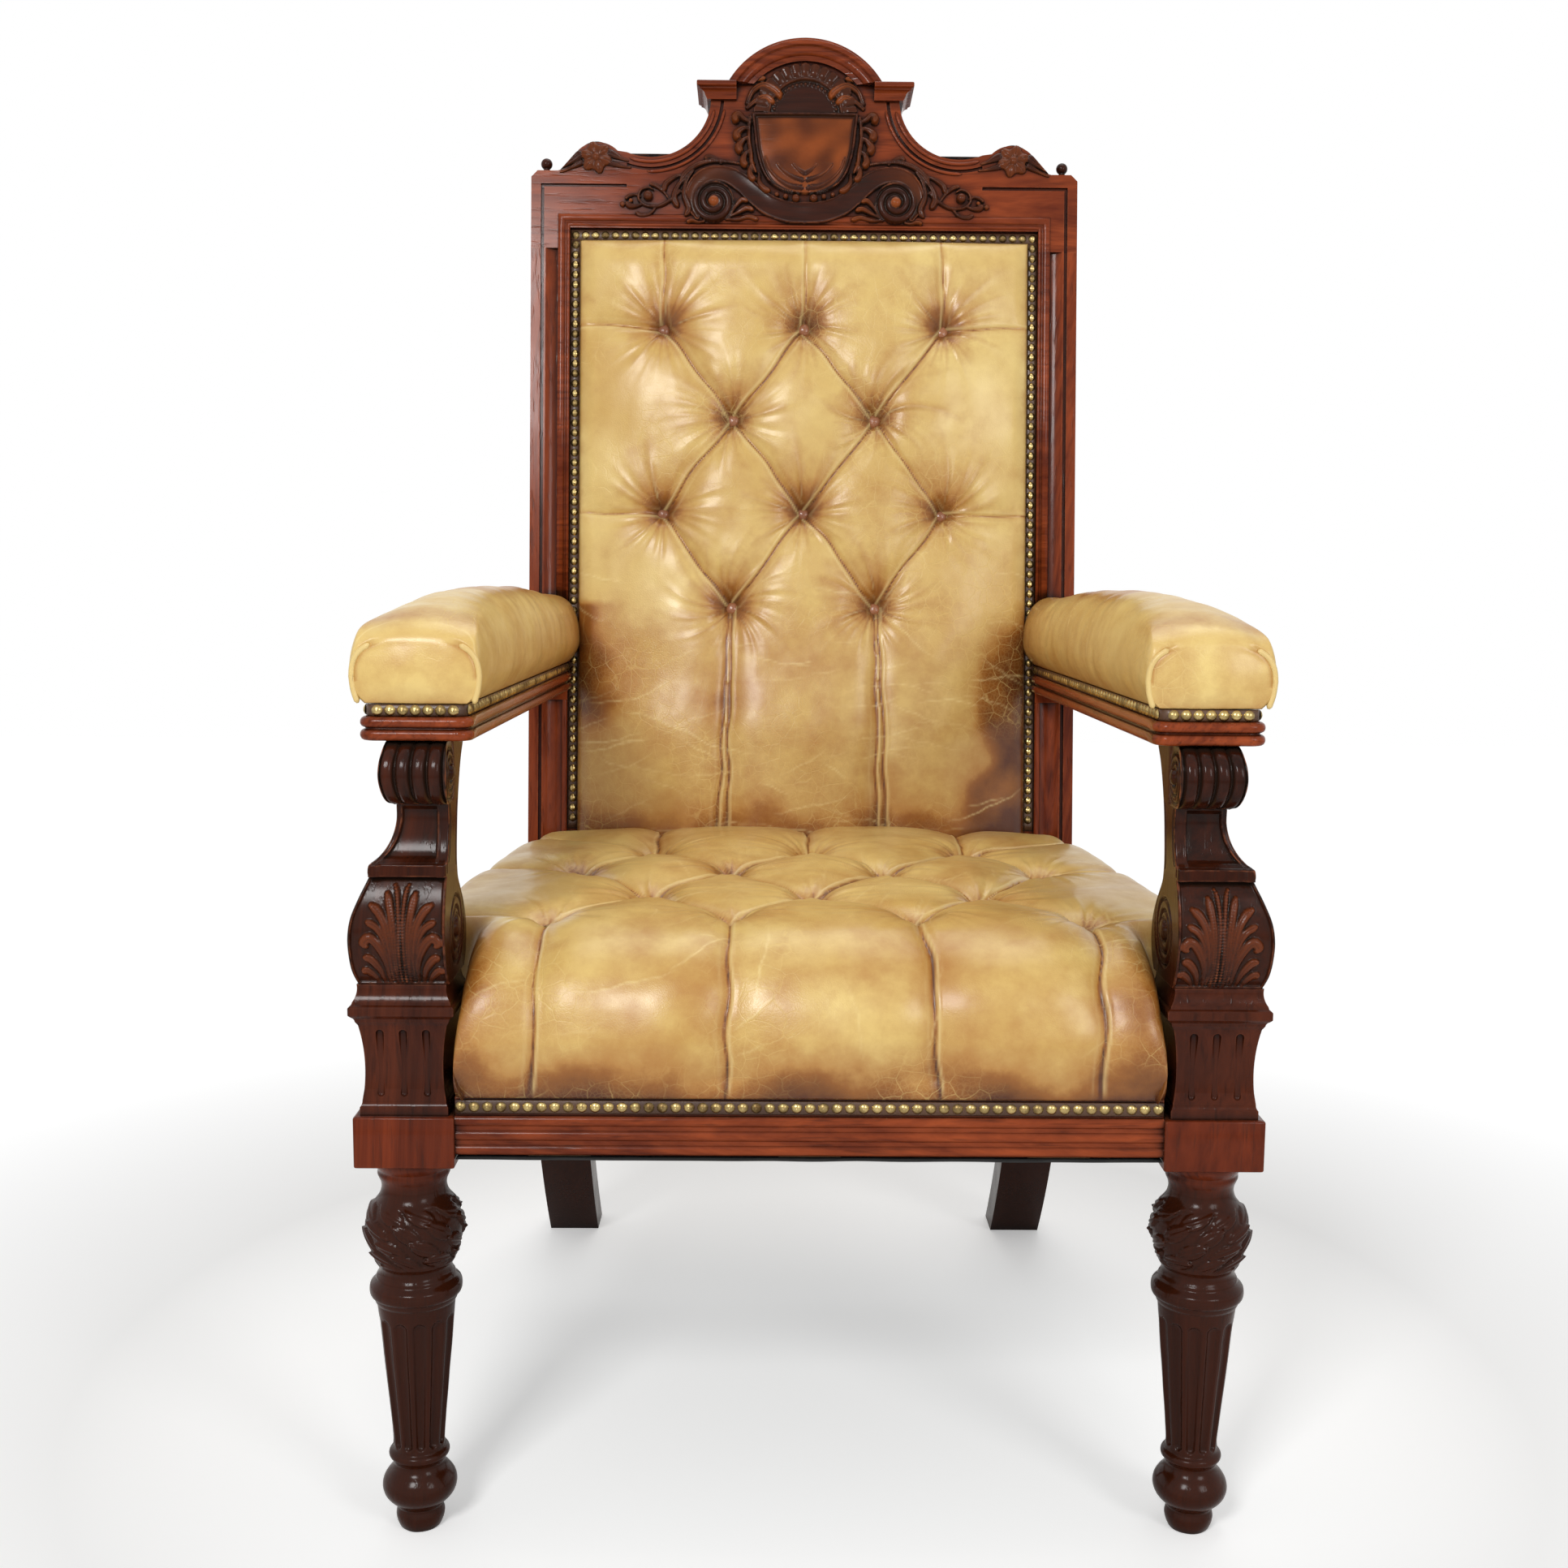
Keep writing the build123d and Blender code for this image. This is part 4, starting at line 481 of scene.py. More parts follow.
nodeFinish = {
    "mahoganyUp": "back_post_left back_post_right arm_dowels",
    "shadedMahogany": "arm_pedestal_left arm_pedestal_right",
    "carvedMahoganyLeg": "front_leg_left front_leg_right",
    "mahoganyAcross": "front_seat_rail crest_board crest_hood back_lower_rail rear_seat_rail",
    "mahoganyBack": "side_seat_rail_left side_seat_rail_right arm_rail_left arm_rail_right",
    "carvedMahoganyUp": "arm_support_left arm_support_right crest_balls",
    "carvedMahoganyAcross": "crest_fan crest_shield crest_scroll crest_volutes crest_leaves crest_rosettes",
    "beechFrame": "corner_blocks",
    "oldBrass": "seat_nails back_nails arm_nails_left arm_nails_right outside_nails",
    "brownHide": "seat_border back_border arm_border_left arm_border_right",
    "honeyHide": "seat_pad back_pad arm_pad_left arm_pad_right arm_welts back_outside_cover",
    "buttonHide": "seat_buttons back_buttons",
    "springSteel": "seat_springs",
    "screwSteel": "corner_screws",
    "juteWeb": "seat_webbing back_webbing",
    "seatCanvas": "spring_canvas back_hessian",
    "blackCloth": "seat_bottom_cloth"}
for finish, names in nodeFinish.items():
    for nodeName in names.split():
        for holder in nodes[nodeName].material_slots:
            holder.material = bpy.data.materials[finish]
print("frame pieces finished")

# Buttoned hide


def foldDistance(x, y, folds):
    # Distance to the nearest fold, which side of it a point lies on, and how strong the fold is there
    nearest = np.full(x.shape, 1e6)
    side = np.ones(x.shape)
    strength = np.zeros(x.shape)
    for startX, startY, endX, endY, startStrength, endStrength in folds:
        runX, runY = endX - startX, endY - startY
        share = np.clip(((x - startX) * runX + (y - startY) * runY) / (runX ** 2 + runY ** 2), 0, 1)
        offX, offY = x - startX - share * runX, y - startY - share * runY
        distance = np.hypot(offX, offY)
        closer = distance < nearest
        nearest = np.where(closer, distance, nearest)
        side = np.where(closer, np.where(runX * offY - runY * offX > 0, 1.0, -1.0), side)
        own = startStrength + (endStrength - startStrength) * share
        strength = np.where(closer, own, strength)
    return nearest, side, strength


puckerWaves = ((7, 0.35), (10, 0.5), (15, 0.6), (22, 0.5), (31, 0.35))  # waves round a button, their shares


def tuftRelief(x, y, buttons, folds, look):
    # Height over the plump surface: a soft valley and a sharp crease with a lip along each fold, a pit at
    # each button, and puckers that run out of it as ridged waves round the button. Stain and painted shade
    # darken the creases and pits, and pale marks the lips and ridges with wear and painted highlight
    wanderX = x + look["wander"] * swells(x, y, 65.0, look["seed"])
    wanderY = y + look["wander"] * swells(x, y, 65.0, look["seed"] + 1)
    away, side, strength = foldDistance(wanderX, wanderY, folds)
    height = -look["plump"] * np.exp(-(away / look["plumpReach"]) ** 1.1) * (0.35 + 0.65 * strength)
    height -= strength * look["crease"] * np.where(side > 0, np.exp(-away / 1.2), np.exp(-away / 4.5))
    height += strength * look["lip"] * np.where(side > 0, bell(away - 3.0, 1.7), 0.0)
    # Painted shade along the crease and on its low side, with stain beside it
    stain = strength * (0.62 * bell(away, 1.1) + 0.2 * np.exp(-away / 5.0) * (side < 0)
                        + 0.12 * np.exp(-away / 20.0))
    # Pale on the lip and beyond the low side: wear and painted highlight
    pale = strength * np.where(side > 0, 0.75 * bell(away - 2.8, 1.2), 0.22 * bell(away - 6.5, 1.2))
    rng = np.random.default_rng(look["seed"] + 7)
    for buttonX, buttonY in buttons:
        offX, offY = x - buttonX, y - buttonY
        far = np.hypot(offX, offY)
        angle = np.arctan2(offY, offX) + 0.004 * far * rng.normal()
        pucker = np.zeros(x.shape)
        above = 1 + look["upward"] * np.sin(angle)
        for (count, share), phase in zip(puckerWaves, rng.random(len(puckerWaves)) * 2 * math.pi):
            pucker += share * (0.64 - np.abs(np.sin(count * angle / 2 + phase))) * 1.6
        run = far / (look["puckerReach"] * above)
        fade = run * np.exp(1 - run) * smooth(4.0, 10.0, far)
        height -= look["pit"] * np.exp(-(far / (look["pitReach"] * np.sqrt(above))) ** 1.25)
        height += look["pucker"] * pucker * fade * bell(far, 62.0)
        # Painted shade and stain in each pit, reaching further above the button, and in the pucker valleys
        reach = look["stainShadeReach"] * (above + 0.34 * pucker)
        near = np.exp(-(far / np.maximum(reach, 4.0)) ** 1.35)
        valley = 0.3 * smooth(0.2, 1.3, -pucker) * fade * bell(far, 45.0)
        stain = np.maximum(stain, 1 - (1 - near * 0.95) * (1 - valley))
        # Pale on the pucker ridges: wear and painted highlight
        ridges = smooth(0.5, 1.5, pucker) * fade * bell(far, 42.0) * smooth(12.0, 20.0, far)
        pale = np.maximum(pale, 0.6 * ridges)
    height += look["waves"] * swells(x, y, 115.0, look["seed"] + 3)
    height += look["waves"] * 0.16 * swells(x, y, 42.0, look["seed"] + 4)
    lines = scoreLines(x, y, look)
    height += 0.2 * lines
    return height, np.clip(stain, 0, 1), np.clip(np.maximum(pale, lines * 0.8), 0, 1)


def scoreLines(x, y, look):
    # Old creases: seeded short lines, each a parabola with a small wave, bright in the middle of its run
    rng = np.random.default_rng(look["seed"] + 20)
    total = np.zeros(x.shape)
    lowX, highX, lowY, highY = look["scoreArea"]
    for _ in range(look["scores"]):
        middleX, middleY = rng.uniform(lowX, highX), rng.uniform(lowY, highY)
        angle = rng.normal(0.0, look["scoreSpread"])
        length, bend, phase = rng.uniform(25, 105), rng.normal(0, 0.0028), rng.uniform(0, 6)
        u = (x - middleX) * math.cos(angle) + (y - middleY) * math.sin(angle)
        v = (y - middleY) * math.cos(angle) - (x - middleX) * math.sin(angle)
        off = v - bend * u ** 2 - 0.9 * np.sin(u / 8.0 + phase) - 0.4 * np.sin(u / 3.1 + phase)
        run = np.clip(1 - (2 * u / length) ** 2, 0, 1)
        total = np.maximum(total, bell(off, 0.75) * run * rng.uniform(0.25, 0.9))
    return total


def diamondFolds(rows, reach, strength):
    # A fold from each button to its neighbours in the next row
    folds = []
    for (here, places), (beyond, others) in zip(rows, rows[1:]):
        folds += [(a, here, b, beyond, strength, strength)
                  for a in places for b in others if abs(a - b) < reach]
    return folds


def buttonPiece(name, node, places, normals, look):
    # Domes on a flat foot: each ring's radius follows a cosine, its rise a sine; one ring per angle
    rings, turns = 7, 20
    climb = np.linspace(0, math.pi / 2, rings)
    radius = np.concatenate([[look["radius"] * 0.96], look["radius"] * np.cos(climb) ** 0.8])
    rise = np.concatenate([[-look["foot"]], look["rise"] * np.sin(climb)])
    angle = np.linspace(0, 2 * math.pi, turns, endpoint=False)
    rng = np.random.default_rng(look["seed"])
    points, faces = [], []
    for place, normal in zip(places, normals):
        normal = normal / np.linalg.norm(normal)
        across = np.cross(normal, [0.0, 0.3, 1.0])
        across /= np.linalg.norm(across)
        up = np.cross(normal, across)
        dent = 1 + 0.05 * np.cos(3 * angle + rng.random() * 6)
        ring = (radius[:, None, None] * dent[None, :, None] * (np.cos(angle)[None, :, None] * across
                + np.sin(angle)[None, :, None] * up) + rise[:, None, None] * normal) + place
        base = sum(len(p) for p in points)
        points.append(ring.reshape(-1, 3))
        faces += (gridQuads(rings + 1, turns, True) + base).tolist()
        faces.append((np.arange(turns)[::-1] + base).tolist())
    makePiece(name, node, np.vstack(points), faces, buttonHide, "leather_brown")


seat = {"topZ": 516.0, "lowZ": 378.5, "crown": 8.0, "crownHalf": 280.0, "rollY": 98.0, "rearY": 500.0,
        "frontHalf": 281.0, "sideStart": 353.5, "sideTaper": 0.1536, "stepFrom": 84.0, "stepTo": 122.0,
        "sideRoll": [(0, 0), (10, 1.2), (19, 6), (26, 17), (30, 38), (31.5, 68), (29, 102), (25, 137.5)],
        "frontRoll": [(0, 0), (22, 2.5), (44, 8.5), (65, 20), (83, 37), (96, 59), (103.5, 82), (104.5, 98),
                      (101, 119), (94, 137.5)],
        "rearRoll": [(0, 0), (5, 1), (9, 5), (12, 16), (12, 70), (12, 137.5)], "step": 2.3, "sideRows": 46,
        "frontRows": 112, "rearRows": 40, "columns": 281,
        "button": {"radius": 7.0, "rise": 3.6, "foot": 4.0, "seed": 3}, "rearRise": 8.0, "dish": 5.0,
        "feet": (-221, -66, 103, 231.5),
        "rows": [(115.0, (-220, -66, 92, 236)), (207.5, (-142, 4, 157)), (300.0, (-214, -70, 76, 224)),
                 (392.5, (-147, 6, 161))],
        "look": {"seed": 11, "wander": 1.6, "plump": 9.0, "plumpReach": 18.0, "crease": 2.4, "lip": 1.1,
                 "pit": 16.0, "pitReach": 16.0, "pucker": 1.05, "puckerReach": 27.0, "stainShadeReach": 17.0,
                 "upward": -0.2, "waves": 1.1, "scores": 90, "scoreSpread": 1.2,
                 "scoreArea": (-290, 290, -80, 420)}}


def seatPad():
    # Rows run from the front nails over the roll, along the top and down the back; columns run from side to
    # side. Each roll is a smooth line of outward and downward offsets, and the drops multiply at corners
    side, sideRun = through(seat["sideRoll"], seat["sideRows"])
    front, frontRun = through(seat["frontRoll"], seat["frontRows"])
    rear, rearRun = through(seat["rearRoll"], seat["rearRows"])
    topY = np.arange(seat["rollY"], seat["rearY"], seat["step"])
    rowY = np.concatenate([seat["rollY"] - front[:0:-1, 0], topY, topY[-1] + rear[1:, 0]])
    rowDrop = np.concatenate([front[:0:-1, 1], np.zeros(len(topY)), rear[1:, 1]])
    along = np.concatenate([seat["rollY"] - np.linspace(frontRun, 0, len(front))[:-1], topY,
                            topY[-1] + np.linspace(0, rearRun, len(rear))[1:]])
    share = np.linspace(-1, 1, seat["columns"])
    colShare = np.concatenate([-np.ones(len(side) - 1), share, np.ones(len(side) - 1)])
    colOut = np.concatenate([-side[:0:-1, 0], np.zeros(len(share)), side[1:, 0]])
    colDrop = np.concatenate([side[:0:-1, 1], np.zeros(len(share)), side[1:, 1]])
    colRun = np.linspace(0, sideRun, len(side))
    colFar = np.concatenate([-colRun[:0:-1], np.zeros(len(share)), colRun[1:]])
    wide = seat["sideStart"] - seat["sideTaper"] * (rowY - chair["taperFrom"])
    half = seat["frontHalf"] + (wide - seat["frontHalf"]) * smooth(seat["stepFrom"], seat["stepTo"], rowY)
    flat = (half - side[:, 0].max())[:, None]
    x = flat * colShare + colOut
    across = flat * colShare + colFar
    y = np.repeat(rowY[:, None], x.shape[1], 1)
    fall = seat["topZ"] - seat["lowZ"]
    left = (1 - rowDrop / fall)[:, None] * (1 - colDrop / fall)
    plump = seat["rearRise"] * smooth(150.0, 330.0, y)
    plump = plump - seat["dish"] * bell(x, 170.0) * bell(y - 230.0, 120.0)
    z = seat["lowZ"] + (fall + plump - seat["crown"] * (x / seat["crownHalf"]) ** 2) * left
    surface = np.stack([x, y, z], -1)
    away = np.repeat(along[:, None], x.shape[1], 1)
    rows = seat["rows"]
    folds = diamondFolds(rows, 100.0, 1.0)
    foot = seat["rollY"] - frontRun
    folds += [(bx, rows[0][0], footX, foot, 0.95, 0.75) for bx, footX in zip(rows[0][1], seat["feet"])]
    folds += [(bx, rows[3][0], bx * 1.02, seat["rearY"] + 30, 1.0, 0.9) for bx in rows[3][1]]
    for row in (0, 2):
        for bx in (rows[row][1][0], rows[row][1][-1]):
            folds.append((bx, rows[row][0], bx * 1.75, rows[row][0] + 22, 0.9, 0.35))
    for bx in (rows[3][1][0], rows[3][1][-1]):
        folds.append((bx, rows[3][0], bx * 1.9, rows[3][0] + 92, 0.9, 0.35))
    buttons = [(bx, by) for by, places in rows for bx in places]
    relief, stain, pale = tuftRelief(across, away, buttons, folds, seat["look"])
    tight = smooth(0.0, 16.0, z - seat["lowZ"])
    surface = surface + gridNormals(surface) * (relief * tight)[..., None]
    ahead = rowY < seat["stepFrom"]
    surface[ahead, :, 0] = np.clip(surface[ahead, :, 0], -seat["frontHalf"], seat["frontHalf"])
    blotches = np.clip(swells(across, away, 150.0, 51) * 0.6 + swells(across, away, 60.0, 52) * 0.4, -1, 1.4)
    # Darker over the lower front roll, towards the back, along the nails and at the front edge, in blotches
    # and at the front corners
    toneMarks = 0.3 * smooth(430.0, 385.0, z) + 0.1 * smooth(470.0, 505.0, y) + 0.14 * blotches
    toneMarks += 0.3 * smooth(225.0, 282.0, np.abs(across)) * smooth(150.0, 60.0, y)
    toneMarks += 0.25 * np.exp(-(z - seat["lowZ"]) / 7.0) + 0.06 + 0.18 * smooth(80.0, -10.0, away)
    stain = np.clip(stain + toneMarks, 0, 1)
    pale = pale * smooth(0.0, 10.0, z - seat["lowZ"])
    piece = makePiece("seatHide", "seat_pad", surface, plateFaces(*x.shape), hide, "leather",
                      {"stain": stain, "pale": pale})
    spots, ways = [], []
    for bx, by in buttons:
        at = np.unravel_index(np.argmin((across - bx) ** 2 + (away - by) ** 2), x.shape)
        spots.append(surface[at] + upright)
        ways.append(upright)
    buttonPiece("seatButtons", "seat_buttons", spots, ways, seat["button"])


back = {"button": {"radius": 7.4, "rise": 5.6, "foot": 4.0, "seed": 5}, "half": 240.6, "low": 128.0,
        "top": 783.6, "crown": 29.0, "edge": 9.0, "sideRoll": 17.0, "topRoll": 34.0, "gridAcross": 265,
        "gridUp": 345,
        "rows": [(388.0, (-75.5, 77)), (488.0, (-149, 0, 148)), (587.0, (-75, 75.5)),
                 (685.0, (-149, 0, 148))],
        "look": {"seed": 23, "wander": 1.3, "plump": 6.5, "plumpReach": 15.0, "crease": 1.9, "lip": 0.9,
                 "pit": 15.0, "pitReach": 15.0, "pucker": 1.05, "puckerReach": 25.0, "stainShadeReach": 28.0,
                 "upward": 0.38, "waves": 0.9, "scores": 64, "scoreSpread": 0.32,
                 "scoreArea": (-240, 240, 150, 430)}}


def backPad():
    # Depth over the back plane: a crown that falls to the sides, rounded down at each edge as a quarter
    # circle, less the tufting
    across = np.linspace(-back["half"], back["half"], back["gridAcross"])
    rise = np.linspace(back["low"], back["top"], back["gridUp"])
    x, s = np.meshgrid(across, rise)
    crown = back["edge"] + back["crown"] * (1 - np.abs(x / back["half"]) ** 2.6)
    sideShare = np.clip((back["half"] - np.abs(x)) / back["sideRoll"], 0, 1)
    topShare = np.clip((back["top"] - s) / back["topRoll"], 0, 1)
    lowShare = np.clip((s - back["low"]) / 8.0, 0, 1)
    roll = 1.0
    for part in (sideShare, topShare, lowShare):
        roll = roll * halfRound(1 - part)
    belly = 1 + 0.3 * bell(s - 240.0, 85.0) - 0.12 * smooth(620.0, 760.0, s)
    rows = back["rows"]
    folds = diamondFolds(rows, 90.0, 1.0)
    folds += [(bx, rows[3][0], bx * 1.0, back["top"] + 10, 0.85, 0.6) for bx in rows[3][1]]
    for bx in rows[0][1]:
        for lean in (-5.5, 5.5):
            folds.append((bx + lean * 0.3, rows[0][0], bx * 1.13 + lean, back["low"] - 10, 0.95, 0.95))
    for row, lift in ((1, 2.0), (3, 7.0)):
        level, places = rows[row]
        for bx in (places[0], places[-1]):
            folds.append((bx, level, math.copysign(back["half"] + 20, bx), level + lift, 0.9, 0.5))
    buttons = [(bx, by) for by, places in rows for bx in places]
    relief, stain, pale = tuftRelief(x, s, buttons, folds, back["look"])
    inner = np.minimum(back["half"] - np.abs(x), back["top"] - s)
    depth = crown * belly * roll + relief * smooth(0.0, 18.0, inner)
    depth = np.maximum(depth, -2.0)
    surface = onBack(x, depth, s)[::-1]
    stain = stain[::-1]
    xs, ss = x[::-1], s[::-1]
    ragged = 8.0 * swells(xs, ss, 70.0, 71)
    inner = inner[::-1]
    onLeft, onRight = xs + ragged, xs + ragged + 0.08 * (385.0 - ss)
    lowEdge = ss + ragged
    edgeMark = smooth(-188.0, -224.0, onLeft) * smooth(400.0, 388.0, ss) * smooth(250.0, 285.0, lowEdge)
    wideMark = smooth(-120.0, -215.0, onLeft) * smooth(398.0, 340.0, ss) * smooth(215.0, 290.0, lowEdge)
    marks = ((0.72, edgeMark), (0.3, wideMark),
             (0.82, smooth(178.0, 224.0, onRight) * smooth(402.0, 345.0, ss + 0.5 * (235.0 - xs))),
             (0.6, smooth(208.0, 146.0, ss + 0.6 * ragged)),
             (0.22, smooth(425.0, 330.0, ss)),
             (0.3, bell(xs + 92.0, 38.0) * bell(ss - 290.0, 20.0)),
             (0.16, bell(xs + 60.0, 42.0) * bell(ss - 330.0, 60.0)),
             (0.3, np.exp(-np.clip(inner, 0, 60) / 5.0)))
    clean = 1 - stain
    for share, mark in marks:
        clean = clean * (1 - share * mark * (0.95 + 0.1 * swells(xs, ss, 60.0, 5)))
    stain = np.clip(1 - clean + 0.03 * swells(xs, ss, 120.0, 6), 0, 1)
    pale = pale[::-1]
    faces = [face[::-1] for face in plateFaces(*x.shape)]
    piece = makePiece("backHide", "back_pad", surface, faces, hide, "leather",
                      {"stain": stain, "pale": pale})
    spots, ways = [], []
    for bx, by in buttons:
        at = np.argmin((xs - bx) ** 2 + (ss - by) ** 2)
        spots.append(surface.reshape(-1, 3)[at] + backForward)
        ways.append(backForward)
    buttonPiece("backButtons", "back_buttons", spots, ways, back["button"])


arm = {"frontY": -2.5, "low": 691.4, "height": 83.0, "frontOuter": 345.5, "frontInner": 268.0,
       "rearOuter": 287.5, "rearInner": 251.5, "swell": 13.5, "faceHeight": 50.0, "faceSwell": 10.5,
       "bulge": 5.0, "sideRoll": 20.0, "topRoll": 150.0, "weltRadius": 2.4, "face": 3.0, "full": 2.25,
       "arch": 3.0, "fallAway": 11.0, "lean": 0.125, "hook": 0.98, "domeColumns": 97, "footColumns": 10,
       "faceRows": 26, "rollRows": 56, "bodyRows": 150, "weltRows": 70, "weltTurns": 14, "postGap": 0.6}


def armSection(angle, y, height, swell, square):
    # Closed section: a superellipse dome whose widest level is a third of the way up, over a flat foot. The
    # sides come together towards the post
    share = np.clip(y / postFace(arm["low"]), 0, 1)
    outer = arm["frontOuter"] + (arm["rearOuter"] - arm["frontOuter"]) * share
    inner = arm["frontInner"] + (arm["rearInner"] - arm["frontInner"]) * share
    cosine, sine = np.cos(angle), np.sin(angle)
    upper = np.sign(cosine) * np.abs(cosine) ** (2 / square)
    rise = np.clip(sine, 0, 1) ** (2 / square)
    widest = 0.34
    level = np.where(sine > 0, widest + (1 - widest) * rise, widest * (1 + sine))
    foot = np.clip(-sine, 0, 1)
    half = (outer - inner) / 2 + swell * (1 - foot ** 2)
    flat = np.where(sine > 0, upper, np.sign(cosine) * np.clip(np.abs(cosine) * 6.0, 0, 1))
    return np.broadcast_arrays((outer + inner) / 2 + half * flat, arm["low"] + height * level)


def armHeight(y):
    # Arched along its length and pulled down towards the post
    return arm["height"] + arm["arch"] * bell(y - 230.0, 120.0) - arm["fallAway"] * smooth(320.0, 560.0, y)


def armPad(sign, label):
    # The front face is a shallow dome inside the welted edge. From that edge each ring rolls back to the
    # full section along a quarter superellipse, long at the top and short at the sides, then runs to the
    # post
    upper = np.linspace(0, math.pi, arm["domeColumns"])
    lower = math.pi + np.concatenate([np.linspace(0.05, math.pi / 2 - 0.02, arm["footColumns"]),
                                      np.linspace(math.pi / 2 + 0.02, math.pi - 0.05, arm["footColumns"])])
    angle = np.concatenate([upper, lower])
    dome = np.clip(np.sin(angle), 0, 1)
    faceX, faceZ = armSection(angle, 0.0, arm["faceHeight"], arm["faceSwell"], arm["face"])
    centreX, centreZ = (arm["frontOuter"] + arm["frontInner"]) / 2, arm["low"] + arm["faceHeight"] * 0.45
    weltY = arm["frontY"] + arm["bulge"] * (1 - 0.3 * dome)
    faceRings = np.linspace(0.03, 1, arm["faceRows"])
    grow = faceRings[:, None]
    x = centreX + (faceX - centreX) * grow
    z = centreZ + (faceZ - centreZ) * grow
    y = arm["frontY"] + (weltY - arm["frontY"]) * grow ** 2.6
    crown = smooth(0.45, 1.0, dome)
    start = arm["lean"] * crown
    turn = start + (math.pi / 2 - start) * np.linspace(0, 1, arm["rollRows"])[1:, None]
    roll = arm["sideRoll"] + (arm["topRoll"] - arm["sideRoll"]) * crown
    out = ((np.sin(turn) - np.sin(start)) / (1 - np.sin(start))) ** 0.92
    along = 1 - (np.cos(turn) / np.cos(start)) ** 0.92
    rollY = weltY + roll * along
    fullX, fullZ = armSection(angle, rollY, armHeight(rollY), arm["swell"], arm["full"])
    bareX, bareZ = armSection(angle, rollY, arm["faceHeight"], arm["faceSwell"], arm["face"])
    x = np.vstack([x, bareX + (fullX - bareX) * out])
    z = np.vstack([z, bareZ + (fullZ - bareZ) * out])
    y = np.vstack([y, rollY])
    share = np.linspace(0, 1, arm["bodyRows"])[1:, None]
    endY = postFace(z[-1]) - arm["postGap"]
    bodyY = y[-1] + (endY - y[-1]) * share
    bodyX, bodyZ = armSection(angle, bodyY, armHeight(bodyY), arm["swell"], arm["full"])
    x, y, z = np.vstack([x, bodyX]), np.vstack([y, bodyY]), np.vstack([z, bodyZ])
    surface = np.stack([sign * x, y, z], -1)
    rows, turns = x.shape
    around = np.repeat(np.minimum(angle, 3.3)[None] * 45, rows, 0)
    level = np.clip((z - arm["low"]) / arm["height"], 0, 1)
    ring = np.concatenate([faceRings, 1 + np.arange(rows - arm["faceRows"]) * 0.02])[:, None]
    ring = np.repeat(ring, turns, 1)
    past = smooth(1.0, 1.4, ring)
    onFace = smooth(1.0, 0.8, ring) * smooth(0.0, 0.3, ring)
    relief = 0.6 * swells(around, y, 95.0, 31 + sign) + 0.22 * swells(around, y, 36.0, 37 + sign)
    relief = relief * past * smooth(0.02, 0.2, level) + 0.5 * swells(x, z, 45.0, 33) * onFace
    flank = smooth(0.97, 0.8, dome) * (angle < math.pi)
    relief -= 2.0 * bell(ring - 1.0, 0.035) * flank
    normals = gridNormals(surface) * (1.0 if sign > 0 else -1.0)
    outwards = 1.0 if np.mean((surface - surface.mean((0, 1))) * normals) > 0 else -1.0
    surface = surface + outwards * normals * relief[..., None]
    look = {"seed": 61 + sign, "scores": 16, "scoreSpread": 0.5, "scoreArea": (0, 140, 0, 480)}
    pale = scoreLines(around, y, look) * smooth(0.05, 0.2, level) * past
    cloudy = 0.7 + 0.4 * swells(around, y, 80.0, 41)
    stain = 0.42 * smooth(0.84, 1.0, level) * smooth(120.0, 260.0, y) * cloudy
    stain += 0.34 * bell(level - 0.78, 0.14) * bell(y - 26.0, 26.0) * past
    # Darker beside the welt: painted shade in the groove there
    stain += 0.16 * bell(ring - 1.04, 0.08) * flank
    stain += 0.3 * np.exp(-level / 0.05) + 0.26 * smooth(430.0, 540.0, y) + 0.12 * smooth(60.0, 200.0, y)
    stain += 0.28 * bell(ring - 0.95, 0.05) * flank + 0.13 * smooth(1.05, 0.9, ring)
    faces = tubeFaces(rows, turns)
    if sign < 0:
        faces = [face[::-1] for face in faces]
    piece = makePiece("armHide" + label, "arm_pad_" + label.lower(), surface, faces, hide, "leather",
                      {"stain": np.clip(stain, 0, 1), "pale": np.clip(pale, 0, 1)})
    edge = arm["faceRows"] - 1
    return surface[edge], angle, outwards * normals[edge]


def tubeAlong(path, radius, turns):
    # Rings square to the path, tapered to a point at both ends
    way = np.gradient(path, axis=0)
    way /= np.linalg.norm(way, axis=1, keepdims=True)
    across = np.cross(way, [0.3, 1.0, 0.2])
    across /= np.linalg.norm(across, axis=1, keepdims=True)
    up = np.cross(way, across)
    angle = np.linspace(0, 2 * math.pi, turns, endpoint=False)
    share = np.linspace(0, 1, len(path))
    wide = radius * np.clip(np.minimum(share, 1 - share) / 0.04, 0.15, 1) ** 0.5
    return path[:, None] + wide[:, None, None] * (np.cos(angle)[None, :, None] * across[:, None]
                                                  + np.sin(angle)[None, :, None] * up[:, None])


def tubes(paths, radius, turns):
    # A tube along each path, in one mesh
    points, faces, base = [], [], 0
    for path in paths:
        points.append(tubeAlong(path, radius, turns).reshape(-1, 3))
        faces += tubeFaces(len(path), turns, base)
        base += len(path) * turns
    return np.vstack(points), faces


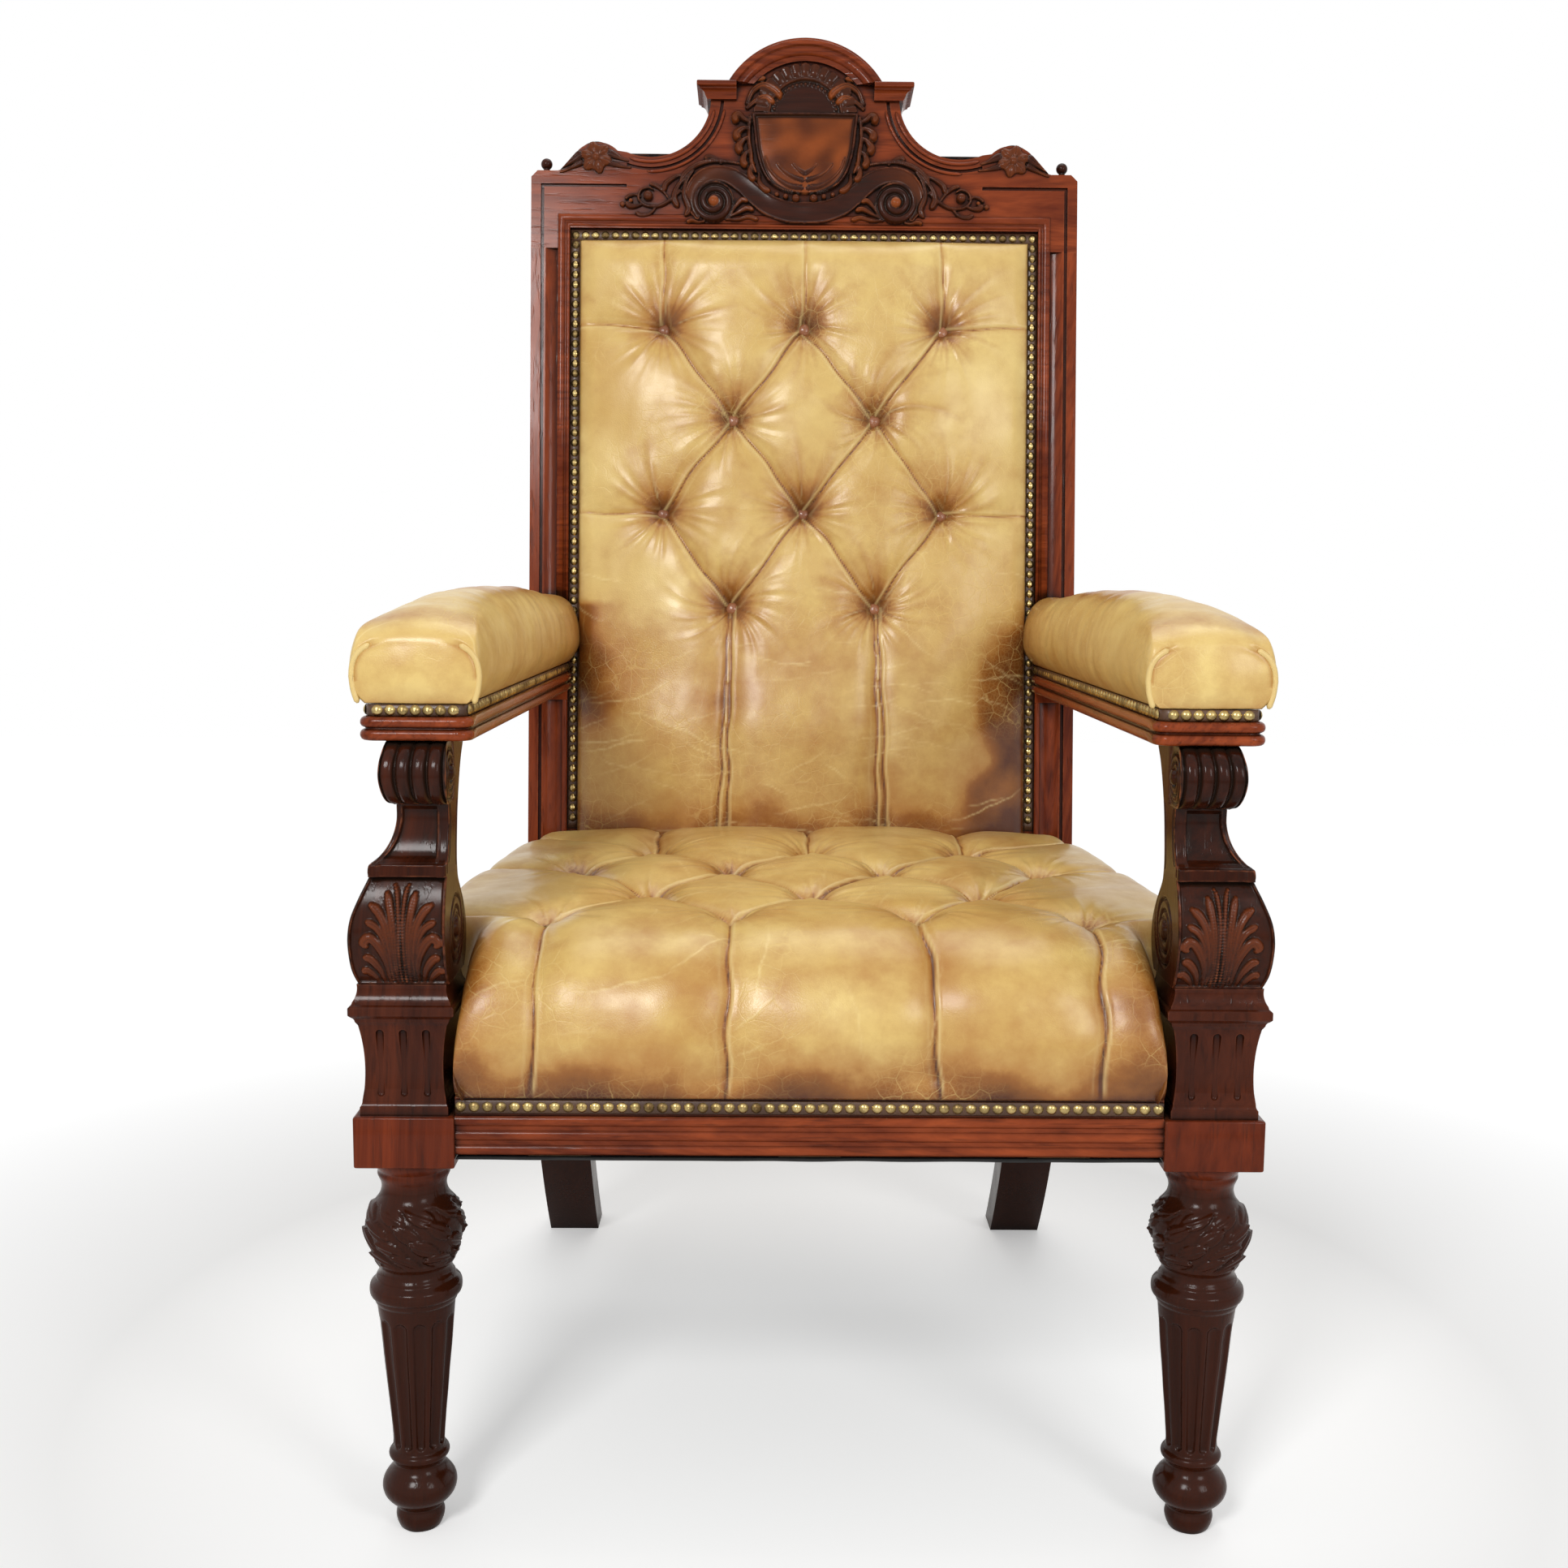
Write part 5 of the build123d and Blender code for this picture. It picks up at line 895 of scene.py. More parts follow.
def armWelts(edges):
    # Piping down both front corners of each pad, hooked in over the top
    paths = []
    for ring, angle, normals in edges:
        nearSide = np.where((angle > 0.0) & (angle < arm["hook"]))[0][::-1]
        farSide = np.where((angle > math.pi - arm["hook"]) & (angle < math.pi))[0]
        for cols in (nearSide, farSide):
            path = ring[cols] + normals[cols]
            low = path[-1].copy()
            low[2] = arm["low"] + 0.4
            low[0] += (np.mean(ring[:, 0]) - low[0]) * 0.09
            middle = (path[-1] + low) / 2 - [(np.mean(ring[:, 0]) - low[0]) * 0.02, 0, 0]
            paths.append(through(np.vstack([path, [middle], [low]]), arm["weltRows"])[0])
    points, faces = tubes(paths, arm["weltRadius"], arm["weltTurns"])
    makePiece("armWelts", "arm_welts", points, faces, hide, "leather",
              {"stain": np.full(len(points), 0.05), "pale": np.full(len(points), 0.45)})


seatPad()
backPad()
armWelts([armPad(1, "Right"), armPad(-1, "Left")])
print("hide pads made")

# Leather bands, cloths, webbing and arm rails


def bandMesh(path, outwards, across, half, thick):
    # A flat strip along the path with softened edges: seven corners round each section, closed at its ends
    section = np.array([(-1, 0.0), (-1, 0.6), (-0.88, 0.95), (0, 1.0), (0.88, 0.95), (1, 0.6), (1, 0.0)])
    points = (path[:, None] + section[None, :, 0, None] * half * across[:, None]
              + section[None, :, 1, None] * thick * outwards[:, None])
    return points.reshape(-1, 3), tubeFaces(len(path), len(section))


def bandRun(line, outwards, across, size):
    # The same outward and sideways directions all along a line
    return (line, np.tile(outwards, (len(line), 1)), np.tile(across, (len(line), 1)), size["half"],
            size["thick"])


def joinMeshes(meshes):
    # One list of points and faces from several; each mesh is turned so that its volume is positive
    points, faces, base = [], [], 0
    for own, sides in meshes:
        own = np.asarray(own, float)
        volume = 0.0
        for side in sides:
            corners = own[side]
            fan = np.cross(corners[1:-1] - corners[0], corners[2:] - corners[0])
            volume += float((fan * corners[0]).sum())
        if volume < 0:
            sides = [side[::-1] for side in sides]
        points.append(own)
        faces += [[corner + base for corner in side] for side in sides]
        base += len(own)
    return np.vstack(points), faces


def bandPiece(name, node, runs, material, slot):
    # Several bands in one piece
    makePiece(name, node, *joinMeshes([bandMesh(*run) for run in runs]), material, slot)


def sheetMesh(top, behind):
    # A thin closed sheet: the top grid, the same grid moved behind it, and a rim between
    rows, cols = top.shape[:2]
    below = top + behind
    points = np.vstack([top.reshape(-1, 3), below.reshape(-1, 3)])
    quads = gridQuads(rows, cols)
    rim = gridRim(rows, cols)[::-1]
    nextRim = np.roll(rim, -1)
    walls = np.stack([nextRim, rim, rim + rows * cols, nextRim + rows * cols], -1)
    return points, quads.tolist() + (quads[:, ::-1] + rows * cols).tolist() + walls.tolist()


border = {"half": 5.5, "thick": 2.0, "seatZ": 370.5, "frontY": 8.0, "frontEnd": 282.0, "sideX": 354.5,
          "sideFrom": 80.6, "backX": 245.9, "backLow": 152.0, "backTop": 790.0, "backDepth": -6.0,
          "armInset": 6.5, "acrossCount": 90, "sideCount": 70, "postCount": 110}


def borders():
    # Brown strips under the nails: round the seat, up and over the back, and round each arm platform
    x = np.linspace(-border["frontEnd"], border["frontEnd"], border["acrossCount"])
    runs = [bandRun(placed(x, border["frontY"], border["seatZ"]), [0.0, -1.0, 0.0], upright, border)]
    y = np.linspace(border["sideFrom"], postFace(border["seatZ"]) - 0.4, border["sideCount"])
    slope = seat["sideTaper"]
    away = np.array([1.0, slope, 0.0]) / math.hypot(1.0, slope)
    for side in (-1, 1):
        line = placed(side * (border["sideX"] - slope * (y - chair["taperFrom"])), y, border["seatZ"])
        runs.append(bandRun(line, away * [side, 1, 1], upright, border))
    bandPiece("seatBand", "seat_border", runs, darkHide, "leather_brown")
    rise = np.linspace(border["backLow"], border["backTop"] - border["half"] - 0.2, border["postCount"])
    runs = [bandRun(onBack(side * border["backX"], border["backDepth"], rise), backForward, sideways, border)
            for side in (-1, 1)]
    reach = border["backX"] + border["half"]
    x = np.linspace(-reach, reach, border["acrossCount"])
    runs.append(bandRun(onBack(x, border["backDepth"], border["backTop"]), backForward, backUp, border))
    bandPiece("backBand", "back_border", runs, darkHide, "leather_brown")
    for side, label in ((1, "Right"), (-1, "Left")):
        plan, ways = armPlan(border["armInset"], side)
        level = (chair["armTop"] + chair["armPlatform"]) / 2
        line = np.column_stack([plan, np.full(len(plan), level)])
        run = (line, np.column_stack([ways, np.zeros(len(plan))]), np.tile(upright, (len(plan), 1)),
               (chair["armPlatform"] - chair["armTop"]) / 2 - 0.05, border["thick"])
        bandPiece("armBand" + label, "arm_border_" + label.lower(), [run], darkHide, "leather_brown")


rail = {"front": -4.0, "outer": 351.0, "inner": 262.6, "rearOuter": 293.0, "rearInner": 245.0,
        "corner": 12.0, "low": 663.0, "tenonHalf": 14.0, "tenonLow": 667.0, "tenonHigh": 678.0,
        "tenonLong": 26.0, "tenonSunk": 5.0,
        "beads": [(663, 4), (663.3, 2.4), (664.4, 1), (666, 0.25), (667.6, 0), (669.2, 0.25), (670.6, 1),
                  (671.5, 2.2), (671.9, 3.6), (673, 3.9), (673.3, 2.6), (674.2, 1.2), (675.6, 0.45),
                  (677.2, 0.2), (678.8, 0.45), (680.3, 1.3), (681.4, 2.8), (681.9, 4.6), (682, 6.5),
                  (686.5, 6.5), (690.9, 6.5), (691, 7)]}


def armPlan(inset, side):
    # The arm's outline from the post along the outer side, round the front and back, with outward ways
    end = postFace(rail["low"])
    corner = rail["corner"] - inset * 0.6
    front, outer, inner = rail["front"] + inset, rail["outer"] - inset, rail["inner"] + inset
    turn = np.linspace(0, math.pi / 2, 9)
    outerArc = np.stack([outer - corner + corner * np.cos(turn), front + corner - corner * np.sin(turn)], -1)
    innerArc = np.stack([inner + corner - corner * np.sin(turn), front + corner - corner * np.cos(turn)], -1)
    share = np.linspace(0, 1, 30, endpoint=False)[:, None]
    outerRun = np.array([[rail["rearOuter"] - inset, end]]) * (1 - share) + outerArc[:1] * share
    innerRun = innerArc[-1:] * (1 - share[::-1]) + np.array([[rail["rearInner"] + inset, end]]) * share[::-1]
    middle = np.linspace(0, 1, 22)[1:-1, None]
    across = outerArc[-1:] * (1 - middle) + innerArc[:1] * middle
    plan = np.vstack([outerRun, outerArc, across, innerArc, innerRun[::-1]]) * [side, 1]
    way = np.gradient(plan, axis=0)
    way /= np.linalg.norm(way, axis=1, keepdims=True)
    return plan, np.column_stack([way[:, 1], -way[:, 0]]) * -side


def armRails():
    # Two half round beads along the front and both sides, under the padded platform, with the tenon behind
    for side, label in ((1, "Right"), (-1, "Left")):
        profile = np.array(rail["beads"])
        rings = []
        for z, inset in profile:
            plan = armPlan(inset, side)[0]
            plan[:, 1] += (postFace(z) - plan[0, 1]) * smooth(100.0, 500.0, plan[:, 1])
            rings.append(np.column_stack([plan, np.full(len(plan), z)]))
        body = np.array(rings)
        middle = side * (rail["rearOuter"] + rail["rearInner"]) / 2
        half, start = rail["tenonHalf"], postFace(rail["low"]) - rail["tenonSunk"]
        end = start + rail["tenonLong"] + rail["tenonSunk"]
        corners = [(middle + x, y, z) for z in (rail["tenonLow"], rail["tenonHigh"])
                   for x, y in ((-half, start), (half, start), (half, end), (-half, end))]
        points, faces = joinMeshes([(body.reshape(-1, 3), tubeFaces(*body.shape[:2])),
                                    (corners, tubeFaces(2, 4))])
        makePiece("armRailBeads" + label, "arm_rail_" + label.lower(), points, faces, mahoganyBack,
                  "mahogany")


web = {"half": 25.0, "thick": 1.1, "wave": 0.6, "pitch": 100.0, "backPitch": 90.0, "edge": 11.0,
       "count": 130, "backCount": 160, "seatLevel": 329.2, "seatX": (-200, -100, 0, 100, 200),
       "seatY": (130, 230, 330, 430), "seatFrom": 11.0, "seatTo": 545.0, "backDepth": -5.4,
       "backX": (-180, -90, 0, 90, 180), "backS": (202.3, 302.3, 402.3, 502.3, 602.3, 702.3),
       "backFrom": 106.5, "backTo": 783.0, "backHalf": 239.5}


def webbing():
    # Straps that pass over and under each other in turn: the height is a cosine between the crossings
    runs = []
    y = np.linspace(web["seatFrom"], web["seatTo"], web["count"])
    for i, x in enumerate(web["seatX"]):
        z = web["seatLevel"] + web["wave"] * np.cos(math.pi * ((y - web["seatY"][0]) / web["pitch"] + i))
        runs.append(bandRun(placed(x, y, z), upright, sideways, web))
    for j, y in enumerate(web["seatY"]):
        reach = seat["sideStart"] - web["edge"] - seat["sideTaper"] * (y + web["half"] - chair["taperFrom"])
        x = np.linspace(-reach, reach, web["count"])
        z = web["seatLevel"] - web["wave"] * np.cos(math.pi * (x / web["pitch"] + j))
        runs.append(bandRun(placed(x, y, z), upright, [0.0, 1.0, 0.0], web))
    bandPiece("seatStraps", "seat_webbing", runs, jute, "jute_web")
    runs = []
    rise = np.linspace(web["backFrom"], web["backTo"], web["backCount"])
    for i, x in enumerate(web["backX"]):
        passed = (rise - web["backS"][0]) / web["pitch"] + i
        depth = web["backDepth"] + web["wave"] * np.cos(math.pi * passed)
        runs.append(bandRun(onBack(x, depth, rise), backForward, sideways, web))
    x = np.linspace(-web["backHalf"], web["backHalf"], web["count"])
    for j, s in enumerate(web["backS"]):
        depth = web["backDepth"] - web["wave"] * np.cos(math.pi * (x / web["backPitch"] + j))
        runs.append(bandRun(onBack(x, depth, s), backForward, backUp, web))
    bandPiece("backStraps", "back_webbing", runs, jute, "jute_web")


coil = {"radius": 34.0, "wire": 1.9, "turns": 4, "x": (-150, 0, 150), "y": (160, 285, 410), "steps": 161,
        "sides": 10}


def springs():
    # Nine wire coils on the webbing: each climbs evenly round a circle, its section round and square to
    # its run
    low, high = (corner.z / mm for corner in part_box("seat_springs"))
    turn = np.linspace(0, 2 * math.pi * coil["turns"], coil["steps"])
    outwards = np.column_stack([np.cos(turn), np.sin(turn), np.zeros(len(turn))])
    path = coil["radius"] * outwards
    path[:, 2] = np.linspace(low + coil["wire"], high - coil["wire"], len(turn))
    way = np.gradient(path, axis=0)
    up = np.cross(way / np.linalg.norm(way, axis=1, keepdims=True), outwards)
    angle = np.linspace(0, 2 * math.pi, coil["sides"], endpoint=False)[None, :, None]
    rings = path[:, None] + coil["wire"] * (np.cos(angle) * outwards[:, None] + np.sin(angle) * up[:, None])
    faces = tubeFaces(coil["steps"], coil["sides"])
    meshes = [(rings.reshape(-1, 3) + [x, y, 0.0], faces) for x in coil["x"] for y in coil["y"]]
    makePiece("seatCoils", "seat_springs", *joinMeshes(meshes), springSteel, "spring_steel")


cloth = {"bottomZ": 328.3, "bottomSag": 4.0, "bottomThick": 0.7, "front": 4.6, "blockEnd": 80.5,
         "postStart": 506.3, "end": 551.6, "blockHalf": 282.0, "sideHalf": 352.0, "postHalf": 236.0,
         "canvasX": 185.5, "canvasY": (124.5, 445.5), "canvasZ": 441.9, "canvasDip": 1.6,
         "hessianHalf": 239.5, "hessianS": (152.6, 783), "hessianDepth": -2.75, "coverHalf": 249.5,
         "coverS": (113, 788), "coverDepth": -45.1, "coverThick": 1.5, "coverHide": 1.1, "canvasThick": 0.8,
         "hessianThick": 0.7, "bottomGrid": (61, 60), "canvasGrid": (65, 57), "hessianGrid": (49, 65),
         "coverGrid": (125, 169)}


def finishSheet(name, node, top, behind, material, slot, fields=None):
    # A closed sheet with its two flat sides
    if fields:
        fields = {title: np.tile(values.ravel(), 2) for title, values in fields.items()}
    piece = makePiece(name, node, *joinMeshes([sheetMesh(top, behind)]), material, slot, fields)


def cloths():
    # Under the seat, over the springs, behind the back's webbing, and the hide over the outside back: each
    # is its plane less a seeded slack that dies out at the held edges
    across, along = cloth["bottomGrid"]
    y = np.sort(np.concatenate([np.linspace(cloth["front"], cloth["end"], along), [cloth["blockEnd"] - 0.1],
                                [cloth["blockEnd"], cloth["postStart"], cloth["postStart"] + 0.1]]))
    half = np.where(y < cloth["blockEnd"], cloth["blockHalf"],
                    cloth["sideHalf"] - seat["sideTaper"] * (y - cloth["blockEnd"]))
    half = np.where(y > cloth["postStart"], cloth["postHalf"], half)
    share = np.linspace(-1, 1, across)
    x = half[:, None] * share
    run = (y - cloth["front"]) / (cloth["end"] - cloth["front"])
    sag = cloth["bottomSag"] * np.sin(math.pi * run)[:, None] * (1 - share ** 2)
    sag += 0.25 * (1 + swells(x, y[:, None], 60.0, 3)) * (1 - share ** 4)
    top = placed(x, y[:, None], cloth["bottomZ"] - sag)
    finishSheet("seatUnderCloth", "seat_bottom_cloth", top, -upright * cloth["bottomThick"], blackCloth,
                "black_cloth")
    across, along = cloth["canvasGrid"]
    x, y = np.meshgrid(np.linspace(-cloth["canvasX"], cloth["canvasX"], across),
                       np.linspace(*cloth["canvasY"], along))
    onSpring = np.zeros(x.shape)
    for springX in coil["x"]:
        for springY in coil["y"]:
            onSpring = np.maximum(onSpring, smooth(62.0, 34.0, np.hypot(x - springX, y - springY)))
    top = np.stack([x, y, cloth["canvasZ"] - cloth["canvasDip"] * (1 - onSpring)], -1)
    finishSheet("springCover", "spring_canvas", top, -upright * cloth["canvasThick"], canvas, "canvas")
    across, along = cloth["hessianGrid"]
    x, s = np.meshgrid(np.linspace(-cloth["hessianHalf"], cloth["hessianHalf"], across),
                       np.linspace(*cloth["hessianS"], along))
    top = onBack(x, cloth["hessianDepth"] - 0.1 * (1 + swells(x, s, 60.0, 8)), s)
    finishSheet("backHessian", "back_hessian", top, -backForward * cloth["hessianThick"], canvas, "canvas")
    across, along = cloth["coverGrid"]
    low, high = cloth["coverS"]
    x, s = np.meshgrid(np.linspace(cloth["coverHalf"], -cloth["coverHalf"], across),
                       np.linspace(low, high, along))
    inner = np.minimum(cloth["coverHalf"] - np.abs(x), np.minimum(s - low, high - s))
    held = smooth(10.0, 70.0, inner)
    slack = held * (1.1 * swells(x, s, 150.0, 91) + 0.35 * swells(x, s, 45.0, 92) - 1.2)
    pulled = 0.3 * np.sin((x + s) / 4.1) * bell(inner - 16.0, 8.0) * (0.6 + 0.4 * swells(x, s, 60.0, 94))
    swell = np.maximum(slack + pulled - 0.9 * bell(inner, 1.6), -1.3)
    top = onBack(x, cloth["coverDepth"] - cloth["coverThick"] - swell, s)
    stain = 0.34 * np.exp(-inner / 7.0) + 0.1 * (1 + swells(x, s, 110.0, 93)) * smooth(620.0, 200.0, s)
    look = {"seed": 95, "scores": 40, "scoreSpread": 1.5, "scoreArea": (-240, 240, 130, 770)}
    finishSheet("outsideBackHide", "back_outside_cover", top, backForward * cloth["coverHide"], hide,
                "leather",
                {"stain": np.clip(stain, 0, 1), "pale": 0.5 * scoreLines(x, s, look)})


borders()
armRails()
webbing()
springs()
cloths()
print("bands, rails, straps and cloths made")

# Turned and carved wood


def lobe(path, start, end, low, high, groove=0.0, lean=0.0, count=34):
    # One leaf lobe: half widths and heights at its start and end, its groove's depth and place, its points
    return {"path": path, "start": start, "end": end, "low": low, "high": high, "groove": groove,
            "lean": lean, "count": count}


def strokes(x, y, leaves):
    # Leaf lobes: each a smooth path with a width that swells from its start and rounds off at its end. The
    # height is a half round across the path, scored by a groove beside its middle, and the highest wins
    height = np.zeros(x.shape)
    tips = np.zeros(x.shape)
    for leaf in leaves:
        path = through(leaf["path"], leaf["count"])[0]
        share = np.linspace(0, 1, len(path))
        wide = leaf["start"] + (leaf["end"] - leaf["start"]) * smooth(0.0, 0.8, share)
        wide = wide * np.clip((1 - share) / 0.1, 0.0, 1) ** 0.5 + 0.05
        reach = wide.max() + 1.0
        low, high = path.min(0) - reach, path.max(0) + reach
        near = (x > low[0]) & (x < high[0]) & (y > low[1]) & (y < high[1])
        if not near.any():
            continue
        px, py = x[near], y[near]
        way = np.gradient(path, axis=0)
        way /= np.linalg.norm(way, axis=1, keepdims=True)
        offX, offY = px[:, None] - path[:, 0], py[:, None] - path[:, 1]
        far = np.hypot(offX, offY) / wide
        best = np.argmin(far, axis=1)
        pick = np.arange(len(px))
        off = far[pick, best]
        signed = (way[best, 0] * offY[pick, best] - way[best, 1] * offX[pick, best]) / wide[best]
        level = leaf["low"] + (leaf["high"] - leaf["low"]) * share[best]
        scored = leaf["groove"] * bell(signed - leaf["lean"], 0.16) * smooth(1.0, 0.9, share[best])
        rise = np.where(off < 1, halfRound(off) * level - scored, 0.0)
        height[near] = np.maximum(height[near], rise)
        # The share along the lobe lightens its outer end: painted glints
        tips[near] = np.maximum(tips[near], np.where(off < 1, share[best], 0.0))
    return height, tips


def mirrored(leaves):
    # The lobes and their mirror across the middle
    return leaves + [dict(leaf, path=[(-px, py) for px, py in leaf["path"]], lean=-leaf["lean"])
                     for leaf in leaves]


def sidePieces(name, node, surface, faces, material, fields=None):
    # The right hand shape, and its mirror with the faces turned over
    surface = surface.reshape(-1, 3)
    for label, sign in (("Right", 1), ("Left", -1)):
        turned = faces if sign > 0 else [face[::-1] for face in faces]
        makePiece(name + label, node + "_" + label.lower(), surface * [sign, 1, 1], turned, material,
                  "carved_mahogany", fields)


leg = {"x": 322.5, "y": 40.0, "blockHalf": 40.0, "blockLow": 321.0, "blockHigh": 363.0, "turns": 192,
       "step": 0.8,
       "profile": [(0, 16.2), (1.2, 17.2), (6, 19.2), (11, 20), (15, 19.2), (18, 18.6), (21.5, 21), (26, 26),
                   (31, 29.3), (37, 30.6), (43, 29.4), (48, 26.4), (52, 23), (55.5, 21.2), (58, 21.3),
                   (60.5, 22.8), (62.5, 24.4), (64.8, 24.9), (67, 24.2), (68.5, 22.4), (70, 21.3),
                   (82.7, 21.5), (120, 24.9), (160, 28.5), (188, 31), (194, 31.6), (197.2, 31.9), (198, 33),
                   (201, 34.1), (202.6, 34.4), (203.6, 36.3), (206, 37.4), (209.4, 37.6), (212.8, 36.9),
                   (215.5, 34.4), (217.4, 32.6), (219.9, 32), (222.5, 30.4), (225.5, 29.7), (229, 30.6),
                   (233, 33), (239, 36), (246, 38.8), (254, 40.8), (262.3, 41.5), (269, 40.6), (275, 38.2),
                   (280.5, 34.6), (285, 30.2), (288, 28.2), (291, 27), (295.5, 26.2), (300, 26.9),
                   (304, 28.6), (306.5, 29.4), (309.5, 29), (312, 30.4), (316.5, 33), (321, 34.5)],
       "flutes": 12, "fluteLow": 72.5, "fluteHigh": 186.5, "fluteDepth": 3.4, "fluteHalf": 0.36,
       "blockSoft": 1.4, "laurelLow": 233.0, "laurelHigh": 284.0, "laurelRows": 4, "laurelLeaves": 8,
       "laurelSeed": 17, "laurelSunk": 1.9, "leafLong": 15.0, "leafWide": 6.4, "leafRise": 2.6,
       "leafSlant": 0.42}


def laurel(around, z, radius):
    # Overlapping pointed leaves that climb round the ball in slanting rows; each leaf is a half round
    # lens with a midrib, and its tip lies over the next
    height = np.full(z.shape, -1.0)
    span = (leg["laurelHigh"] - leg["laurelLow"]) / leg["laurelRows"]
    rng = np.random.default_rng(leg["laurelSeed"])
    for row in range(-1, leg["laurelRows"] + 1):
        for k in range(leg["laurelLeaves"]):
            middle = leg["laurelLow"] + (row + 0.5) * span + rng.normal(0, 0.8)
            angle = 2 * math.pi * (k + 0.5 * (row % 2)) / leg["laurelLeaves"] + rng.normal(0, 0.05)
            away = (around - angle + math.pi) % (2 * math.pi) - math.pi
            slant = leg["leafSlant"] + rng.normal(0, 0.12)
            u = away * radius
            v = z - middle
            along = u * math.cos(slant) + v * math.sin(slant)
            cross = -u * math.sin(slant) + v * math.cos(slant)
            share = np.clip(along / leg["leafLong"], -1, 1)
            wide = leg["leafWide"] * (1 - share ** 2) ** 0.75 + 0.01
            inside = (np.abs(cross) < wide) & (np.abs(along) < leg["leafLong"])
            rise = leg["leafRise"] * np.clip(1 - (cross / wide) ** 2, 0, 1) ** 0.4 * (0.45 + 0.55 * share)
            rise += 0.4 + 0.5 * bell(cross, 0.9) - 0.55 * bell(np.abs(cross) - 2.0, 0.7)
            height = np.where(inside & (rise > height), rise, height)
    return height


def frontLegs():
    # A turning whose radius follows the profile, with round ended flutes and a carved ball, under a block
    profile = through(leg["profile"], 700)[0]
    z = np.concatenate([np.arange(0, leg["blockLow"], leg["step"]), [leg["blockLow"]]])
    radius = np.interp(z, profile[:, 0], profile[:, 1])
    angle = np.linspace(0, 2 * math.pi, leg["turns"], endpoint=False)
    around, up = np.meshgrid(angle, z)
    wide = np.repeat(radius[:, None], len(angle), 1)
    pitch = 2 * math.pi / leg["flutes"]
    off = ((around / pitch) % 1 - 0.5) * pitch * wide
    half = leg["fluteHalf"] * pitch * wide
    ends = np.minimum(up - leg["fluteLow"], leg["fluteHigh"] - up)
    endShare = np.clip(ends / half, -0.2, 1)
    width = half * halfRound(1 - endShare)
    flute = halfRound(off / np.maximum(width, 0.01)) * (ends > 0)
    relief = -leg["fluteDepth"] * flute * np.clip(width / half, 0, 1)
    onBall = smooth(leg["laurelLow"] - 1, leg["laurelLow"] + 4, up)
    onBall = onBall * smooth(leg["laurelHigh"] + 1, leg["laurelHigh"] - 4, up)
    relief += onBall * (laurel(around, up, wide) - leg["laurelSunk"])
    relief += 0.12 * swells(around * 40, up, 40.0, 3)
    wide = wide + relief
    turning = placed(leg["x"] + wide * np.cos(around), leg["y"] + wide * np.sin(around), up)
    low, high, soft = leg["blockLow"], leg["blockHigh"], leg["blockSoft"]
    arc = 5  # points round each corner of the block
    turn = np.radians(np.concatenate([np.linspace(a, a + 90, arc) for a in (0, 90, 180, 270)]))
    corners = []
    for inset, level in ((soft, low), (0.4, low + 0.5), (0, low + soft), (0, high - soft), (0.4, high - 0.5),
                         (soft, high)):
        flat = leg["blockHalf"] - inset - soft
        cornerX = np.repeat([1, -1, -1, 1], arc) * flat + soft * np.cos(turn)
        cornerY = np.repeat([1, 1, -1, -1], arc) * flat + soft * np.sin(turn)
        corners.append(placed(leg["x"] + cornerX, leg["y"] + cornerY, level))
    faces = tubeFaces(*up.shape) + tubeFaces(len(corners), len(turn), up.size)
    points = np.vstack([turning.reshape(-1, 3), np.vstack(corners)])
    sidePieces("legTurning", "front_leg", points, faces, carvedLeg)


support = {"inner": 285.0, "low": 470.0, "high": 663.0, "front": 104, "side": 52, "rear": 18, "step": 0.62,
           "corner": 2.2,
           "lobeY": [(470, 5.5), (476, 0.5), (486, -5), (500, -9.2), (513, -10.6), (528, -9), (542, -4.8),
                     (552, 0), (556.6, 3)],
           "neckY": [(566.4, 5), (570, 8.6), (577, 12.4), (588, 15.6), (600, 17), (612, 15.4)],
           "ledgeY": -1.6, "ledgeLow": 556.8, "ledgeHigh": 566.2,
           "rearY": [(470, 76), (477, 83), (487, 88), (498, 89.5), (510, 87), (524, 78), (536, 66),
                     (546, 56), (553, 52.5), (566, 51), (585, 53.5), (605, 58), (625, 66), (642, 76),
                     (654, 87), (663, 95)],
           "outerX": [(470, 357), (482, 359.8), (496, 361), (511, 361), (525, 358.8), (540, 353),
                      (552, 347.6), (557, 345.8), (561, 346), (566, 345), (569, 341), (576, 335),
                      (586, 329.8), (598, 326.8), (610, 326.2), (613.5, 326.4), (615, 330), (622, 332.4),
                      (634, 334.2), (645, 334), (655, 332.4), (663, 331)],
           "voluteFoot": 612.0, "voluteY": 12.2, "voluteZ": 637.5, "voluteR": 25.5, "ribs": 4,
           "ribDepth": 5.0, "palmX": 319.5,
           "scrolls": [(42.6, 509.6, 33, 9), (12.2, 637.5, 24, 6.5)]}

